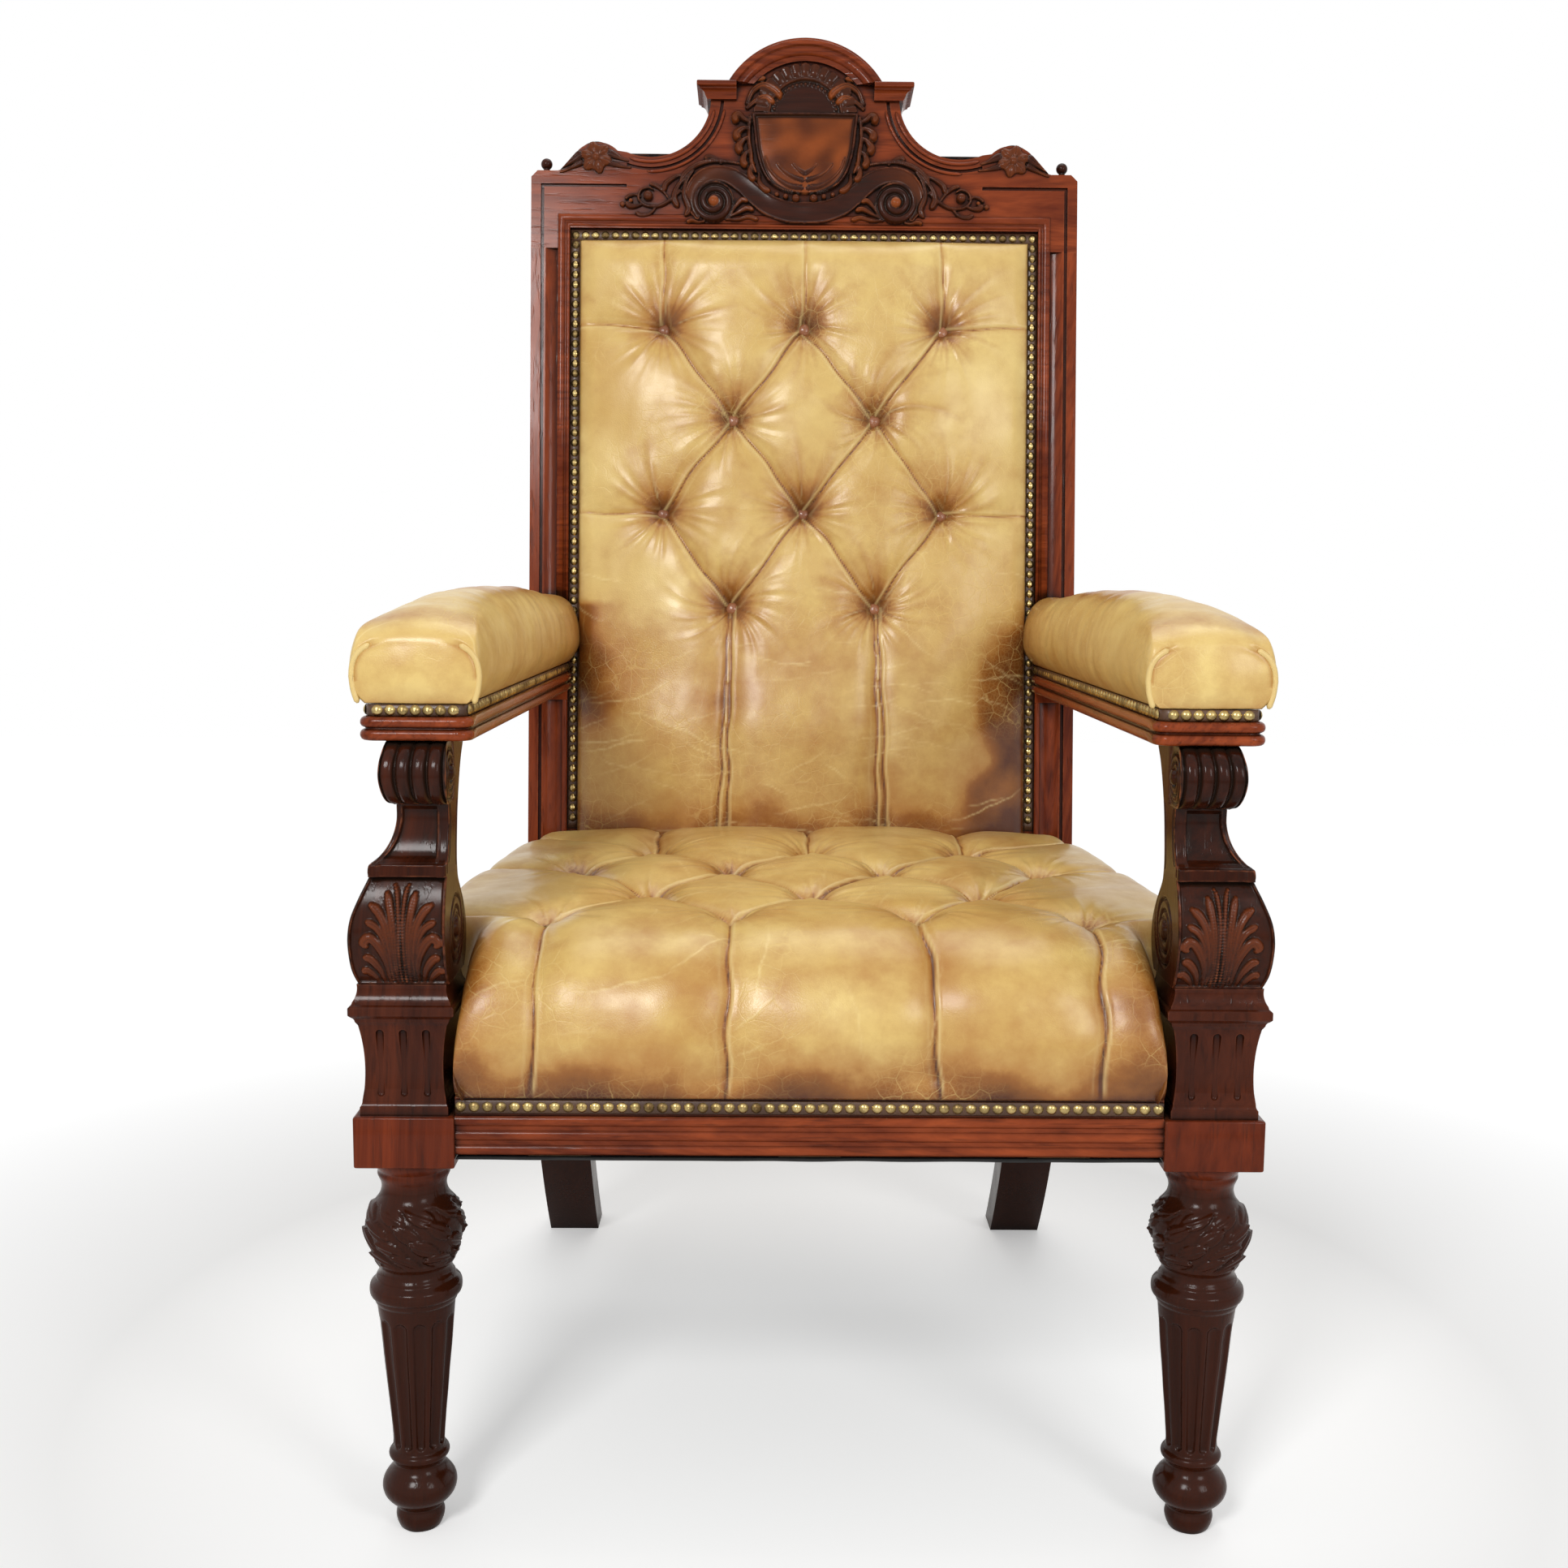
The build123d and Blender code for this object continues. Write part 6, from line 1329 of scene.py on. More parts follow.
palmette = mirrored([
    lobe([(1.6, 0), (1.8, 26), (1.6, 52), (3.4, 74), (6.5, 82)], 1.5, 2.0, 3.6, 3.4),
    lobe([(5, 0), (5.2, 24), (6.2, 46), (9, 66), (11.5, 76)], 1.7, 3.4, 3.2, 3.8, 0.9, 0.1),
    lobe([(8.2, 4), (8.6, 26), (11.5, 47), (17.5, 60), (25, 66.5)], 1.5, 3.7, 2.6, 4.0, 1.0, 0.2),
    lobe([(10.5, 18), (12.5, 35), (18, 47), (27, 53)], 1.3, 3.2, 2.0, 3.6, 0.9, 0.2),
    lobe([(11, 2), (12.5, 20), (18, 34), (24.5, 40), (29, 36), (26, 32.5)], 1.6, 4.2, 2.2, 4.4, 0.8, -0.2),
    lobe([(15, 1), (18, 13), (24, 22), (29.5, 24)], 1.6, 3.6, 1.8, 3.8, 0.8, 0.2),
    lobe([(19, 0), (22.5, 7), (28, 12.5), (31, 11)], 1.4, 3.4, 1.6, 3.4, 0.7, 0.2)])


def armSupports():
    # Each level is a rounded rectangle whose four sides follow the profiles; its front carries ribs, sunk
    # panel, ledge and palmette, its flanks the scrolls
    z = np.concatenate([np.arange(support["low"], support["high"], support["step"]), [support["high"]]])
    z = np.sort(np.concatenate([z, [support["ledgeLow"] - 0.01, support["ledgeHigh"] + 0.01,
                                     support["voluteFoot"] - 0.01]]))
    outer = np.interp(z, *through(support["outerX"], 500)[0].T)
    rear = np.interp(z, *through(support["rearY"], 500)[0].T)
    belly = np.interp(z, *through(support["lobeY"], 400)[0].T)
    neck = np.interp(z, *through(support["neckY"], 400)[0].T)
    drop = np.clip(support["voluteR"] ** 2 - (z - support["voluteZ"]) ** 2, 0, None)
    volute = support["voluteY"] - np.sqrt(drop)
    front = np.where(z < support["ledgeLow"], belly, np.where(z < support["voluteFoot"], neck, volute))
    onLedge = (z >= support["ledgeLow"]) & (z <= support["ledgeHigh"])
    front = np.where(onLedge, support["ledgeY"], front)
    wide = outer - support["inner"]
    soft = support["corner"]
    counts = (support["front"], support["side"], support["rear"], support["side"])
    even = [np.linspace(0, 1, n, endpoint=False) for n in counts]
    edge = [smooth(0.0, 1.0, share) * 0.35 + 0.65 * share for share in even]
    x, y, normalX, normalY, face = [], [], [], [], []
    inner = np.full(len(z), support["inner"])
    walls = ((inner, front, outer, front, 0, -1), (outer, front, outer, rear, 1, 0),
             (outer, rear, inner, rear, 0, 1), (inner, rear, inner, front, -1, 0))
    for part, (shares, (x0, y0, x1, y1, nx, ny)) in enumerate(zip(edge, walls)):
        x.append(x0[:, None] + (x1 - x0)[:, None] * shares)
        y.append(y0[:, None] + (y1 - y0)[:, None] * shares)
        normalX.append(np.full((len(z), len(shares)), float(nx)))
        normalY.append(np.full((len(z), len(shares)), float(ny)))
        face.append(np.full((len(z), len(shares)), part))
    x, y, face = np.hstack(x), np.hstack(y), np.hstack(face)
    normalX, normalY = np.hstack(normalX), np.hstack(normalY)
    up = np.repeat(z[:, None], x.shape[1], 1)
    toInner, toOuter = x - inner[:, None], outer[:, None] - x
    toFront, toRear = y - front[:, None], rear[:, None] - y
    cornerX = np.clip(1 - np.minimum(toInner, toOuter) / soft, 0, 1)
    cornerY = np.clip(1 - np.minimum(toFront, toRear) / soft, 0, 1)
    pull = soft * 0.6
    shiftY = np.where((face == 0) | (face == 2), -normalY * pull * cornerX ** 2, 0.0)
    shiftX = np.where((face == 1) | (face == 3), -normalX * pull * cornerY ** 2, 0.0)
    middle = (x - (inner + wide / 2)[:, None])
    onFront = face == 0
    ribShare = ((x - inner[:, None]) / wide[:, None] * support["ribs"]) % 1
    onVolute = up > support["voluteFoot"]
    ribs = -support["ribDepth"] * np.abs(2 * ribShare - 1) ** 3.2 * onVolute
    ends = np.minimum(toInner, toOuter)
    inPanel = smooth(9.0, 10.2, toInner) * smooth(5.0, 6.0, toOuter) * smooth(569.0, 571.0, up)
    belowVolute = up < support["voluteFoot"]
    inPanel = inPanel * smooth(611.0, 607.0, up) * belowVolute
    beads = 0.9 * (bell(toInner - 8.2, 0.9) + bell(toOuter - 4.4, 0.8)) * (up > 567) * belowVolute
    panel = -3.2 * inPanel + beads
    leaves, tips = strokes(x - support["palmX"], up - support["low"], palmette)
    onLobe = up < support["ledgeLow"]
    field = smooth(1.5, 3.5, ends) * smooth(470.5, 473.0, up)
    carving = np.where(onLobe, (leaves - 3.0) * field, 0.0)
    blocks = 1.6 * smooth(0.34, 0.4, np.abs(middle) / wide[:, None]) * (up > support["ledgeLow"])
    blocks = blocks * (up < support["ledgeHigh"])
    rise = np.where(onFront, ribs + panel + carving + blocks, 0.0)
    sides = (face == 1) | (face == 3)
    curl = np.zeros(x.shape)
    for scrollY, scrollZ, reach, eye in support["scrolls"]:
        far = np.hypot(y - scrollY, up - scrollZ)
        angle = np.arctan2(up - scrollZ, y - scrollY)
        step = (reach - eye) / 2.6
        phase = ((far - eye) / step - angle / (2 * math.pi)) % 1
        ring = -2.4 * bell(phase - 0.5, 0.16) * smooth(eye, eye + 1.5, far) * smooth(reach, reach - 3, far)
        dome = 2.8 * halfRound(far / eye) - 1.2 * bell(far - eye - 0.8, 1.0)
        curl += ring + dome
    alongEdge = np.minimum(toFront, toRear)
    line = -1.5 * bell(alongEdge - 6.5, 0.9) * (np.abs(up - 585.0) < 26)
    rise = rise + np.where(sides, (curl + line) * smooth(0.5, 2.5, alongEdge), 0.0)
    fromAxis = (up - support["voluteZ"]) / support["voluteR"]
    barrel = np.where(onVolute, 3.0 * halfRound(fromAxis), 0.0) * smooth(46.0, 20.0, y)
    shiftX = shiftX + np.where(face == 3, -barrel, 0.0)
    surface = placed(x + shiftX + normalX * rise, y + shiftY + normalY * rise, up)
    tips = np.where(onFront & onLobe, tips * (leaves > 0.6), 0.0)
    sidePieces("supportCarving", "arm_support", surface, tubeFaces(*up.shape), carvedUp, {"tips": tips})


frontLegs()
armSupports()
print("turned and carved pieces made")

# Crest carving


def reliefPiece(name, node, spanX, spanS, field, edge=None, both=False):
    # A plate sunk in the board; the field says how far each place stands in front of the board, and where
    # it says nothing the plate stays out of sight. An edge line keeps the plate below the board's outline
    across = np.arange(spanX[0], spanX[1], crest["step"])
    top = np.full(len(across), float(spanS[1]))
    if edge is not None:
        line = through(edge, 240)[0]
        top = np.minimum(top, np.interp(np.abs(across), line[:, 0], line[:, 1]))
    share = np.linspace(0, 1, int((spanS[1] - spanS[0]) / crest["step"]))[:, None]
    x = np.repeat(across[None], len(share), 0)
    s = spanS[0] + (top - spanS[0])[None] * share
    height, tips = field(x, s)
    depth = np.where(height > 0.02, height, crest["sunk"])
    depth[[0, -1]] = crest["sunk"]
    depth[:, [0, -1]] = crest["sunk"]
    faces = plateFaces(*x.shape)
    surface = onBack(x, depth, s).reshape(-1, 3)
    tips = np.clip(tips, 0, 1).ravel()
    if both:
        faces += [[corner + len(surface) for corner in face[::-1]] for face in faces]
        surface, tips = np.vstack([surface, surface * [-1, 1, 1]]), np.concatenate([tips, tips])
    makePiece(name, node, surface, faces, carvedAcross, "carved_mahogany", {"tips": tips})


crest = {"step": 0.75, "sunk": -4.5,
         "hump": [(184, 874.6), (190, 876.6), (200, 879), (208, 884), (216, 889), (224, 890.6), (232, 889),
                  (240, 884), (246, 876.5), (254, 867), (262, 859), (270, 857)],
         "arch": [(0, 985), (20, 983), (40, 976), (58, 963), (70, 949), (76, 941), (84, 938)]}

shield = {"outline": [(0, 834), (15, 835), (28, 839), (38.5, 846), (46, 857), (50.5, 870), (53.5, 884),
                      (55.5, 902), (57.5, 919.5)], "top": 920.0, "plate": 5.0, "dome": 2.6, "domeHalf": 59.0,
          "domeS": 880.0, "domeTall": 60.0, "rim": 2.2,
          "beads": ((9.5, 828.5, 4.4), (20.5, 830.5, 3), (30, 832.5, 2.6))}

# Strapwork round the shield: a knobbed scroll at each shoulder, curled leaves down the sides, and wide
# leaves that lie over the field's lower edge
shieldLobes = mirrored([
    lobe([(59, 910), (65, 913), (71, 918), (75, 916), (74, 910)], 2.6, 4.6, 7.0, 9.5, 0.8),
    lobe([(59, 915), (60, 903), (60, 890), (58, 878), (57, 866), (52, 855)], 2.6, 3.0, 6.8, 7.6, 1.2, 0.3),
    lobe([(60, 904), (67, 903), (73, 898), (72, 892)], 2.4, 5.0, 6.5, 9.2, 1.0, -0.2),
    lobe([(60, 894), (66, 891), (71, 884), (69, 878)], 2.2, 4.8, 6.5, 9.0, 1.0, -0.2),
    lobe([(58, 880), (64, 876), (66, 868), (63, 863)], 2.4, 4.6, 6.5, 8.8, 1.0, -0.2),
    lobe([(55, 866), (59, 860), (58, 852), (54, 848)], 2.2, 4.4, 6.5, 8.6, 0.9, -0.2),
    lobe([(49, 855), (49, 846), (44, 839), (38, 836)], 2.4, 4.2, 6.5, 8.4, 0.9, -0.2),
    lobe([(4, 840), (16, 842), (28, 849), (38, 860), (43, 874)], 5.5, 2.2, 8.0, 8.6, 1.2, 0.25),
    lobe([(3, 848), (12, 851), (22, 857), (30, 866)], 5.2, 2.4, 8.4, 9.0, 1.1, 0.25),
    lobe([(1, 855), (7, 859), (13, 865)], 4.6, 2.2, 8.8, 9.2, 0.9)])


def shieldField(x, s):
    # Plain domed field inside a rounded rim, with the strapwork and a row of beads over it
    outline = through(shield["outline"], 200)[0]
    half = np.interp(s, outline[:, 1], outline[:, 0], left=-1.0)
    inside = np.minimum(half - np.abs(x), shield["top"] - s)
    domed = (1 - (x / shield["domeHalf"]) ** 2) * (1 - ((s - shield["domeS"]) / shield["domeTall"]) ** 2)
    plate = shield["plate"] + shield["dome"] * domed - 1.2 * bell(inside - 4.6, 0.9)
    rimmed = plate + shield["rim"] * bell(inside - 1.8, 1.5)
    height = np.where(inside > 0, rimmed, 0.0)
    leaves, tips = strokes(x, s, shieldLobes)
    for beadX, beadS, radius in shield["beads"]:
        far = np.hypot(np.abs(x) - beadX, s - beadS) / radius
        dome = np.where(far < 1, 5.5 + radius * halfRound(far), 0.0)
        tips = np.where(dome > leaves, 0.5, tips)
        leaves = np.maximum(leaves, dome)
    flame = 0.72 * smooth(3.5, 9.0, inside) * np.clip(0.72 + 0.3 * swells(x, s, 34.0, 3), 0.3, 1)
    return np.maximum(height, leaves), np.where(leaves > height, tips * 0.4, flame)


ribbon = {"path": [(0, 813.5), (20, 815), (38, 821.5), (53, 832.5), (66, 844), (81, 852.5), (98, 854.5),
                   (112, 849), (121, 837), (122.5, 822), (115, 808.5)],
          "wide": [11.8, 11.8, 11.6, 11.2, 10.6, 10.0, 9.2, 8.4, 7.2, 5.6, 3.4], "count": 160, "thick": 4.6}


def ribbonField(x, s):
    # A plain band with a fine raised edge each side, rolled down at its ends
    path = through(ribbon["path"], ribbon["count"])[0]
    share = np.linspace(0, 1, ribbon["count"])
    wide = np.interp(share, np.linspace(0, 1, len(ribbon["wide"])), ribbon["wide"])
    offX, offS = np.abs(x)[..., None] - path[:, 0], s[..., None] - path[:, 1]
    far = np.hypot(offX, offS)
    best = np.argmin(far, axis=-1)
    off = np.take_along_axis(far, best[..., None], -1)[..., 0]
    half = wide[best]
    height = ribbon["thick"] - 1.1 * (1 - (off / half) ** 2) + bell(half - off - 1.5, 0.8)
    height += 0.35 * swells(x, s, 50.0, 9) - 0.5 * smooth(0.8, 1.0, share[best])
    return np.where(off < half, height, 0.0), 0.22 * smooth(0.45, 0.75, share[best])


voluteLeaves = [
    lobe([(84, 806), (72, 806), (60, 809), (50, 806)], 1.6, 3.2, 5.5, 6.5, 0.9),
    lobe([(82, 808), (72, 813), (62, 818), (55, 816)], 1.6, 3.4, 5.5, 7.5, 0.9),
    lobe([(80, 810), (74, 820), (67, 827), (61, 825)], 1.6, 3.2, 5.5, 7.5, 0.9),
    lobe([(108, 804), (114, 803), (121, 805), (126, 803)], 1.6, 2.6, 4.5, 5.5)]


rolledEnd = {"x": 97.5, "s": 824.5, "reach": 22.0, "start": 23.5, "pitch": 8.6, "knob": 6.2}


def voluteField(x, s):
    # A rolled end: a ridge that winds inwards to a knob
    offX, offS = np.abs(x) - rolledEnd["x"], s - rolledEnd["s"]
    away, angle = np.hypot(offX, offS), np.arctan2(offS, offX)
    turns = (rolledEnd["start"] - away) / rolledEnd["pitch"]
    phase = (turns + angle / (2 * math.pi) + 0.1) % 1
    ridge = 4.0 + 3.6 * halfRound((phase - 0.5) / 0.42) + np.clip(turns, 0, 2)
    inKnob = away / rolledEnd["knob"]
    knob = np.where(inKnob < 1, 6.5 + 5.0 * halfRound(inKnob), 0.0)
    height = np.where(away < rolledEnd["reach"], np.maximum(ridge, knob), 0.0)
    small, tips = strokes(np.abs(x), s, voluteLeaves)
    tips = np.maximum(0.8 * (knob > ridge), np.where(small > height, tips * 0.5, 0.0))
    return np.maximum(height, small), tips


sprayLeaves = [
    lobe([(70, 866), (84, 868), (100, 868.5), (116, 864), (128, 855), (134, 845)], 1.8, 3.6, 4.5, 6.0, 0.9),
    lobe([(90, 866), (96, 871), (103, 873.5), (107, 871)], 1.5, 2.8, 4.0, 5.5, 0.7),
    lobe([(120, 858), (127, 846), (129, 832), (124, 818), (128, 809)], 2.0, 4.2, 5.0, 6.5, 1.2),
    lobe([(124, 853), (135, 843), (140, 830), (136, 819)], 2.0, 4.0, 4.8, 6.0, 1.1),
    lobe([(128, 855), (139, 851), (149, 844), (151, 836)], 1.6, 3.4, 4.5, 5.5, 1.0),
    lobe([(134, 836), (145, 826), (157, 820), (170, 820.5), (178, 827), (176, 836), (168, 839.5),
          (161, 836)], 2.4, 1.8, 4.8, 5.0, 0.6, count=60),
    lobe([(146, 828), (152, 836), (160, 842), (166, 843)], 1.4, 2.8, 4.0, 5.0, 0.8),
    lobe([(158, 820), (166, 812), (175, 810), (181, 813)], 1.4, 2.8, 4.0, 5.0, 0.8),
    lobe([(174, 822), (180, 820), (187, 820), (191, 823)], 1.5, 3.6, 4.0, 5.4, 0.7),
    lobe([(176, 830), (183, 832), (189, 830), (192, 827)], 1.2, 2.4, 3.8, 4.8)]


sprayBerries = ((168, 830.5, 5, 5), (195.5, 821.5, 2.8, 3), (186.5, 825.5, 2.2, 3.5))


def sprayField(x, s):
    # Leaf spray from the ribbon's shoulder out along the rail: husk leaves, a curled stem and berries
    height, tips = strokes(np.abs(x), s, sprayLeaves)
    for beadX, beadS, radius, lift in sprayBerries:
        far = np.hypot(np.abs(x) - beadX, s - beadS) / radius
        bead = np.where(far < 1, lift + radius * 0.8 * halfRound(far), 0.0)
        tips = np.where(bead > height, 0.6, tips * 0.55)
        height = np.maximum(height, bead)
    return height, tips


hoodLeaves = mirrored([
    lobe([(62, 931), (56, 944), (44, 950), (31, 943.5), (27, 936)], 3.0, 4.6, 4.5, 7.0, 1.3, -0.1),
    lobe([(62, 926), (52, 934), (42, 937), (34, 931)], 2.6, 4.2, 4.2, 6.2, 1.1),
    lobe([(66, 938), (62, 949), (53, 956.5), (43, 957)], 2.2, 3.8, 4.0, 6.0, 1.0)])


hood = {"s": 918.0, "foot": 920.5, "archS": 902.2, "archRadius": 73.2, "flutes": 15, "fluteFrom": 37.5,
        "fluteTo": 53.0, "beads": 23, "beadRing": 34.0, "beadRadius": 1.9, "beadFoot": 922.5}


def hoodField(x, s):
    # Under the arch: a plain sunk ground, a shell of radiating flutes with scalloped ends, a ring of beads
    # inside it, and leaves at its feet
    away, angle = np.hypot(x, s - hood["s"]), np.arctan2(s - hood["s"], np.abs(x))
    phase = (angle / math.pi * hood["flutes"]) % 1
    scallop = halfRound((phase - 0.5) / 0.5)
    ring = (away > hood["fluteFrom"]) & (away < hood["fluteTo"] + 2.6 * scallop) & (s > hood["foot"])
    flutes = 2.6 + 2.4 * scallop * smooth(hood["fluteFrom"], 47.0, away) + 1.6 * bell(away - 39.0, 1.3)
    inGround = (away <= hood["fluteFrom"]) & (s > hood["foot"])
    height = np.where(ring, flutes, np.where(inGround, 0.9 + 0.5 * bell(away, 26.0), 0.0))
    around = ((angle / math.pi * hood["beads"]) % 1 - 0.5) * math.pi * hood["beadRing"] / hood["beads"]
    inBead = np.hypot(away - hood["beadRing"], around) / hood["beadRadius"]
    beads = 1.2 + 1.6 * halfRound(inBead)
    height = np.where((inBead < 1) & (s > hood["beadFoot"]), beads, height)
    leaves, tips = strokes(x, s, hoodLeaves)
    height = np.maximum(height, leaves)
    inArch = np.hypot(x, s - hood["archS"]) < hood["archRadius"]
    return np.where(inArch, height, 0.0), np.where(leaves >= height, tips * 0.9, 0.12 * ring)


rosetteLeaves = [
    lobe([(242, 874), (249, 869), (257, 863), (267, 858.5)], 5.0, 1.6, 4.2, 2.6, 0.8),
    lobe([(240, 866), (248, 862), (256, 858), (263, 855.5)], 3.4, 1.4, 3.8, 2.4, 0.6),
    lobe([(209, 876), (203, 873.5), (197, 870.5), (189, 868)], 4.6, 1.6, 4.0, 2.6, 0.8),
    lobe([(210, 866), (203, 864), (195, 862), (186, 861)], 3.4, 1.4, 3.8, 2.4, 0.6)]


rosette = {"x": 224.0, "s": 871.5, "petals": 6, "reach": 15.5, "wave": 2.2, "knob": 4.6}


def rosetteField(x, s):
    # Six round petals about a knob, with leaves down both slopes of the shoulder
    offX, offS = np.abs(x) - rosette["x"], s - rosette["s"]
    away, angle = np.hypot(offX, offS), np.arctan2(offS, offX)
    phase = (angle / (2 * math.pi) * rosette["petals"] + 0.25) % 1 - 0.5
    edge = rosette["reach"] + rosette["wave"] * np.cos(phase * 2 * math.pi)
    dished = np.sin(np.clip(away / edge, 0, 1) * math.pi) ** 0.7
    petal = 2.4 + 3.2 * dished * (1 - 1.6 * np.abs(phase) ** 1.5)
    petal -= bell(phase, 0.05) * smooth(5.0, 8.0, away)
    inKnob = away / rosette["knob"]
    knob = np.where(inKnob < 1, 3.6 + 3.6 * halfRound(inKnob), 0.0)
    height = np.maximum(np.where(away < edge, petal, 0.0), knob)
    leaves, tips = strokes(np.abs(x), s, rosetteLeaves)
    return np.maximum(height, leaves), np.where(height > leaves, 0.35, 0.25 * tips)


bead = {"radius": 1.9, "dipX": 166.0, "dipS": 938.0, "lift": 0.3, "steps": 90, "turns": 10,
        "arcs": ((70, 192, 288), (80.5, 190, 272))}


def crestBeads():
    # Half round beads that follow the dip on each side and run out along the shoulder
    paths = []
    for side in (-1, 1):
        for reach, start, end in bead["arcs"]:
            angle = np.radians(np.linspace(start, end, bead["steps"]))
            x = bead["dipX"] + reach * np.cos(angle)
            paths.append(onBack(side * x, bead["lift"], bead["dipS"] + reach * np.sin(angle)))
    points, faces = tubes(paths, bead["radius"], bead["turns"])
    makePiece("crestBeads", None, points, faces, mahoganyAcross, "mahogany")


frameMould = {"outer": 260.7, "top": 807.8, "from": 395.0, "middle": 600.0, "mitre": 12.0, "past": 14.0,
              "profile": [(3.9, -5), (3.9, 0.2), (3.4, 1.1), (2.2, 1.9), (0, 2.2), (-2.2, 1.9), (-3.4, 1.1),
                          (-3.9, 0.1), (-5.4, 0.1), (-5.9, 0.7), (-6.6, 1.2), (-7.4, 1.4), (-8.2, 1.2),
                          (-8.9, 0.7), (-9.2, 0.1), (-9.2, -5)]}


def frameMoulding():
    # A wide and a narrow bead up both posts and across the board, mitred at the corners: each section is
    # the profile set off square to the run, and on the corner's own diagonal where two runs meet
    x, top, mitre, past = (frameMould[key] for key in ("outer", "top", "mitre", "past"))
    line = [(-x, frameMould["from"], -1, 0), (-x, frameMould["middle"], -1, 0), (-x, top - past, -1, 0),
            (-x, top - mitre, -1, 0), (-x, top, -1, 1), (mitre - x, top, 0, 1), (past - x, top, 0, 1),
            (0, top, 0, 1)]
    line += [(-a, s, -b, c) for a, s, b, c in line[-2::-1]]
    line = np.array(line, float)
    offset, lift = np.array(frameMould["profile"]).T
    across = line[:, None, 0] + line[:, None, 2] * offset
    rise = line[:, None, 1] + line[:, None, 3] * offset
    surface = onBack(across, np.broadcast_to(lift, across.shape), rise)
    points, faces = joinMeshes([(surface.reshape(-1, 3), tubeFaces(*across.shape))])
    makePiece("frameMoulding", None, points, faces, mahoganyAcross, "mahogany")


reliefPiece("hoodCarving", "crest_fan", (-76, 76.4), (918, 985), hoodField, crest["arch"])
reliefPiece("shieldCarving", "crest_shield", (-80, 80.2), (820, 926), shieldField)
reliefPiece("ribbonCarving", "crest_scroll", (-131, 131.2), (799.5, 867), ribbonField)
reliefPiece("voluteCarving", "crest_volutes", (46, 129), (799.5, 849), voluteField, both=True)
reliefPiece("sprayCarving", "crest_leaves", (66, 201), (801, 878), sprayField, both=True)
reliefPiece("rosetteCarving", "crest_rosettes", (184, 270), (852, 893), rosetteField, crest["hump"],
            both=True)
crestBeads()
frameMoulding()
print("crest carving made")

# camera, light and floor

view = {"place": (-34.7, -1370.4, 807.0), "yaw": 0.0087, "pitch": 0.1274, "roll": 0.0075,
        "focalPixels": 2200.0, "framePixels": 1932.0, "sensor": 36.0}


def makeCamera():
    # Forward from the sines and cosines of yaw and pitch, right and up square to it and turned by the roll
    forward = np.array([math.sin(view["yaw"]) * math.cos(view["pitch"]),
                        math.cos(view["yaw"]) * math.cos(view["pitch"]), -math.sin(view["pitch"])])
    right = np.array([math.cos(view["yaw"]), -math.sin(view["yaw"]), 0.0])
    up = np.cross(right, forward)
    turn = (math.cos(view["roll"]), math.sin(view["roll"]))
    across, above = right * turn[0] + up * turn[1], up * turn[0] - right * turn[1]
    lens = bpy.data.cameras.new("photoView")
    lens.sensor_width = view["sensor"]
    lens.lens = view["sensor"] * view["focalPixels"] / view["framePixels"]
    lens.clip_end = 50.0
    camera = addObject("photoView", lens)
    pose = np.eye(4)
    pose[:3] = np.column_stack([across, above, -forward, toMetres(view["place"])[0]])
    camera.matrix_world = Matrix(pose.tolist())
    bpy.context.scene.camera = camera


studio = {"aim": (0, 0, 0.7), "ambient": 0.42, "key": 42.0, "fill": 15.0, "top": 18.0, "floorGlow": 0.3,
          "floorHalf": 6.0, "floorTint": (0.93, 0.93, 0.92, 1), "whiteFrom": 0.45, "whiteTo": 1.3}


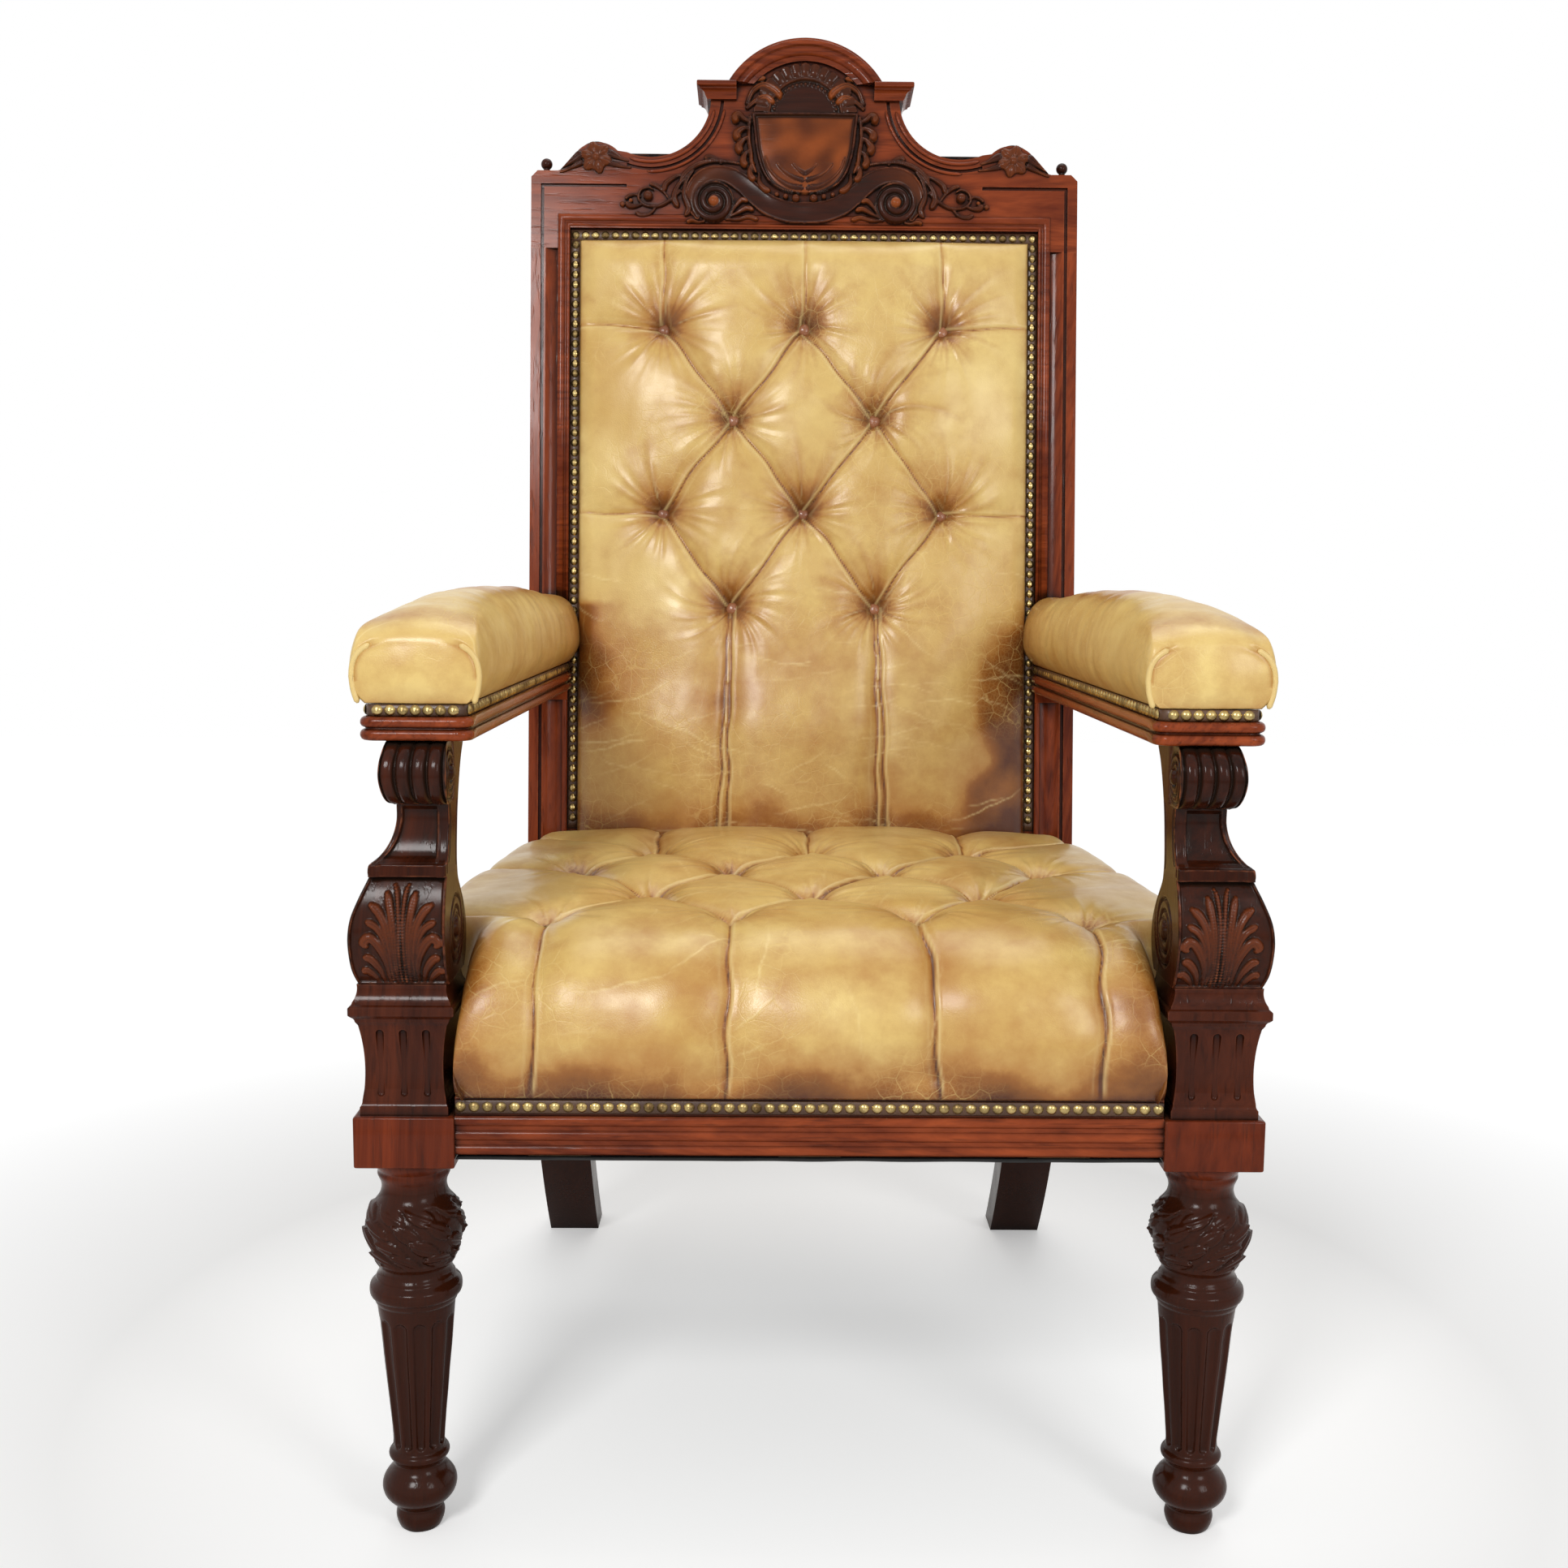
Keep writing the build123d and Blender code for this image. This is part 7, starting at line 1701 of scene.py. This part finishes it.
def makeLamp(name, place, size, power):
    # A rectangular soft light that looks at the chair's middle
    lamp = bpy.data.lights.new(name, "AREA")
    lamp.shape = "RECTANGLE"
    lamp.size, lamp.size_y = size
    lamp.energy = power
    holder = addObject(name, lamp)
    holder.location = place
    holder.rotation_euler = (Vector(studio["aim"]) - Vector(place)).to_track_quat("-Z", "Y").to_euler()


def makeWorld():
    # White to the camera and to mirrors, a plain soft light to everything else
    world = bpy.data.worlds.new("studio")
    world.use_nodes = True
    bpy.context.scene.world = world
    tree = world.node_tree
    back = tree.nodes["Background"]
    path = addNode(tree, "LightPath").outputs
    seen = sums(tree, "MAXIMUM", path["Is Camera Ray"], sums(tree, "MAXIMUM", path["Is Glossy Ray"],
                                                             path["Is Transmission Ray"]))
    back.inputs["Color"].default_value = (1, 1, 1, 1)
    tree.links.new(between(tree, seen, 0.0, 1.0, studio["ambient"], 1.0), back.inputs["Strength"])


def makeFloor():
    # A plain square. Past the reach of the shadow the camera sees plain white, so that no horizon shows
    half = studio["floorHalf"]
    mesh = bpy.data.meshes.new("floor")
    corners = [(-half, -half, 0), (half, -half, 0), (half, half, 0), (-half, half, 0)]
    mesh.from_pydata(corners, [], [(0, 1, 2, 3)])
    material, tree, shader, place = startMaterial("floorWhite")
    far = addNode(tree, "VectorMath", {0: place}, operation="LENGTH").outputs["Value"]
    seen = addNode(tree, "LightPath").outputs["Is Camera Ray"]
    white = times(tree, between(tree, far, studio["whiteFrom"], studio["whiteTo"]), seen)
    glow = sums(tree, "MAXIMUM", white, times(tree, seen, studio["floorGlow"]))
    connect(tree, shader, {"Base Color": blendColour(tree, white, studio["floorTint"], (0, 0, 0, 1)),
                           "Emission Color": (1, 1, 1, 1), "Emission Strength": glow, "Roughness": 0.9,
                           "Specular IOR Level": 0.1})
    mesh.materials.append(material)
    addObject("floor", mesh)


makeCamera()
makeLamp("keySoftbox", (-0.9, -2.6, 2.1), (0.7, 0.7), studio["key"])
makeLamp("fillSoftbox", (1.5, -2.3, 1.5), (0.7, 0.9), studio["fill"])
makeLamp("topSoftbox", (0.2, 0.4, 3.0), (1.6, 1.6), studio["top"])
makeWorld()
makeFloor()
bpy.context.scene.view_settings.view_transform = "Standard"
print("camera, lamps and floor set")
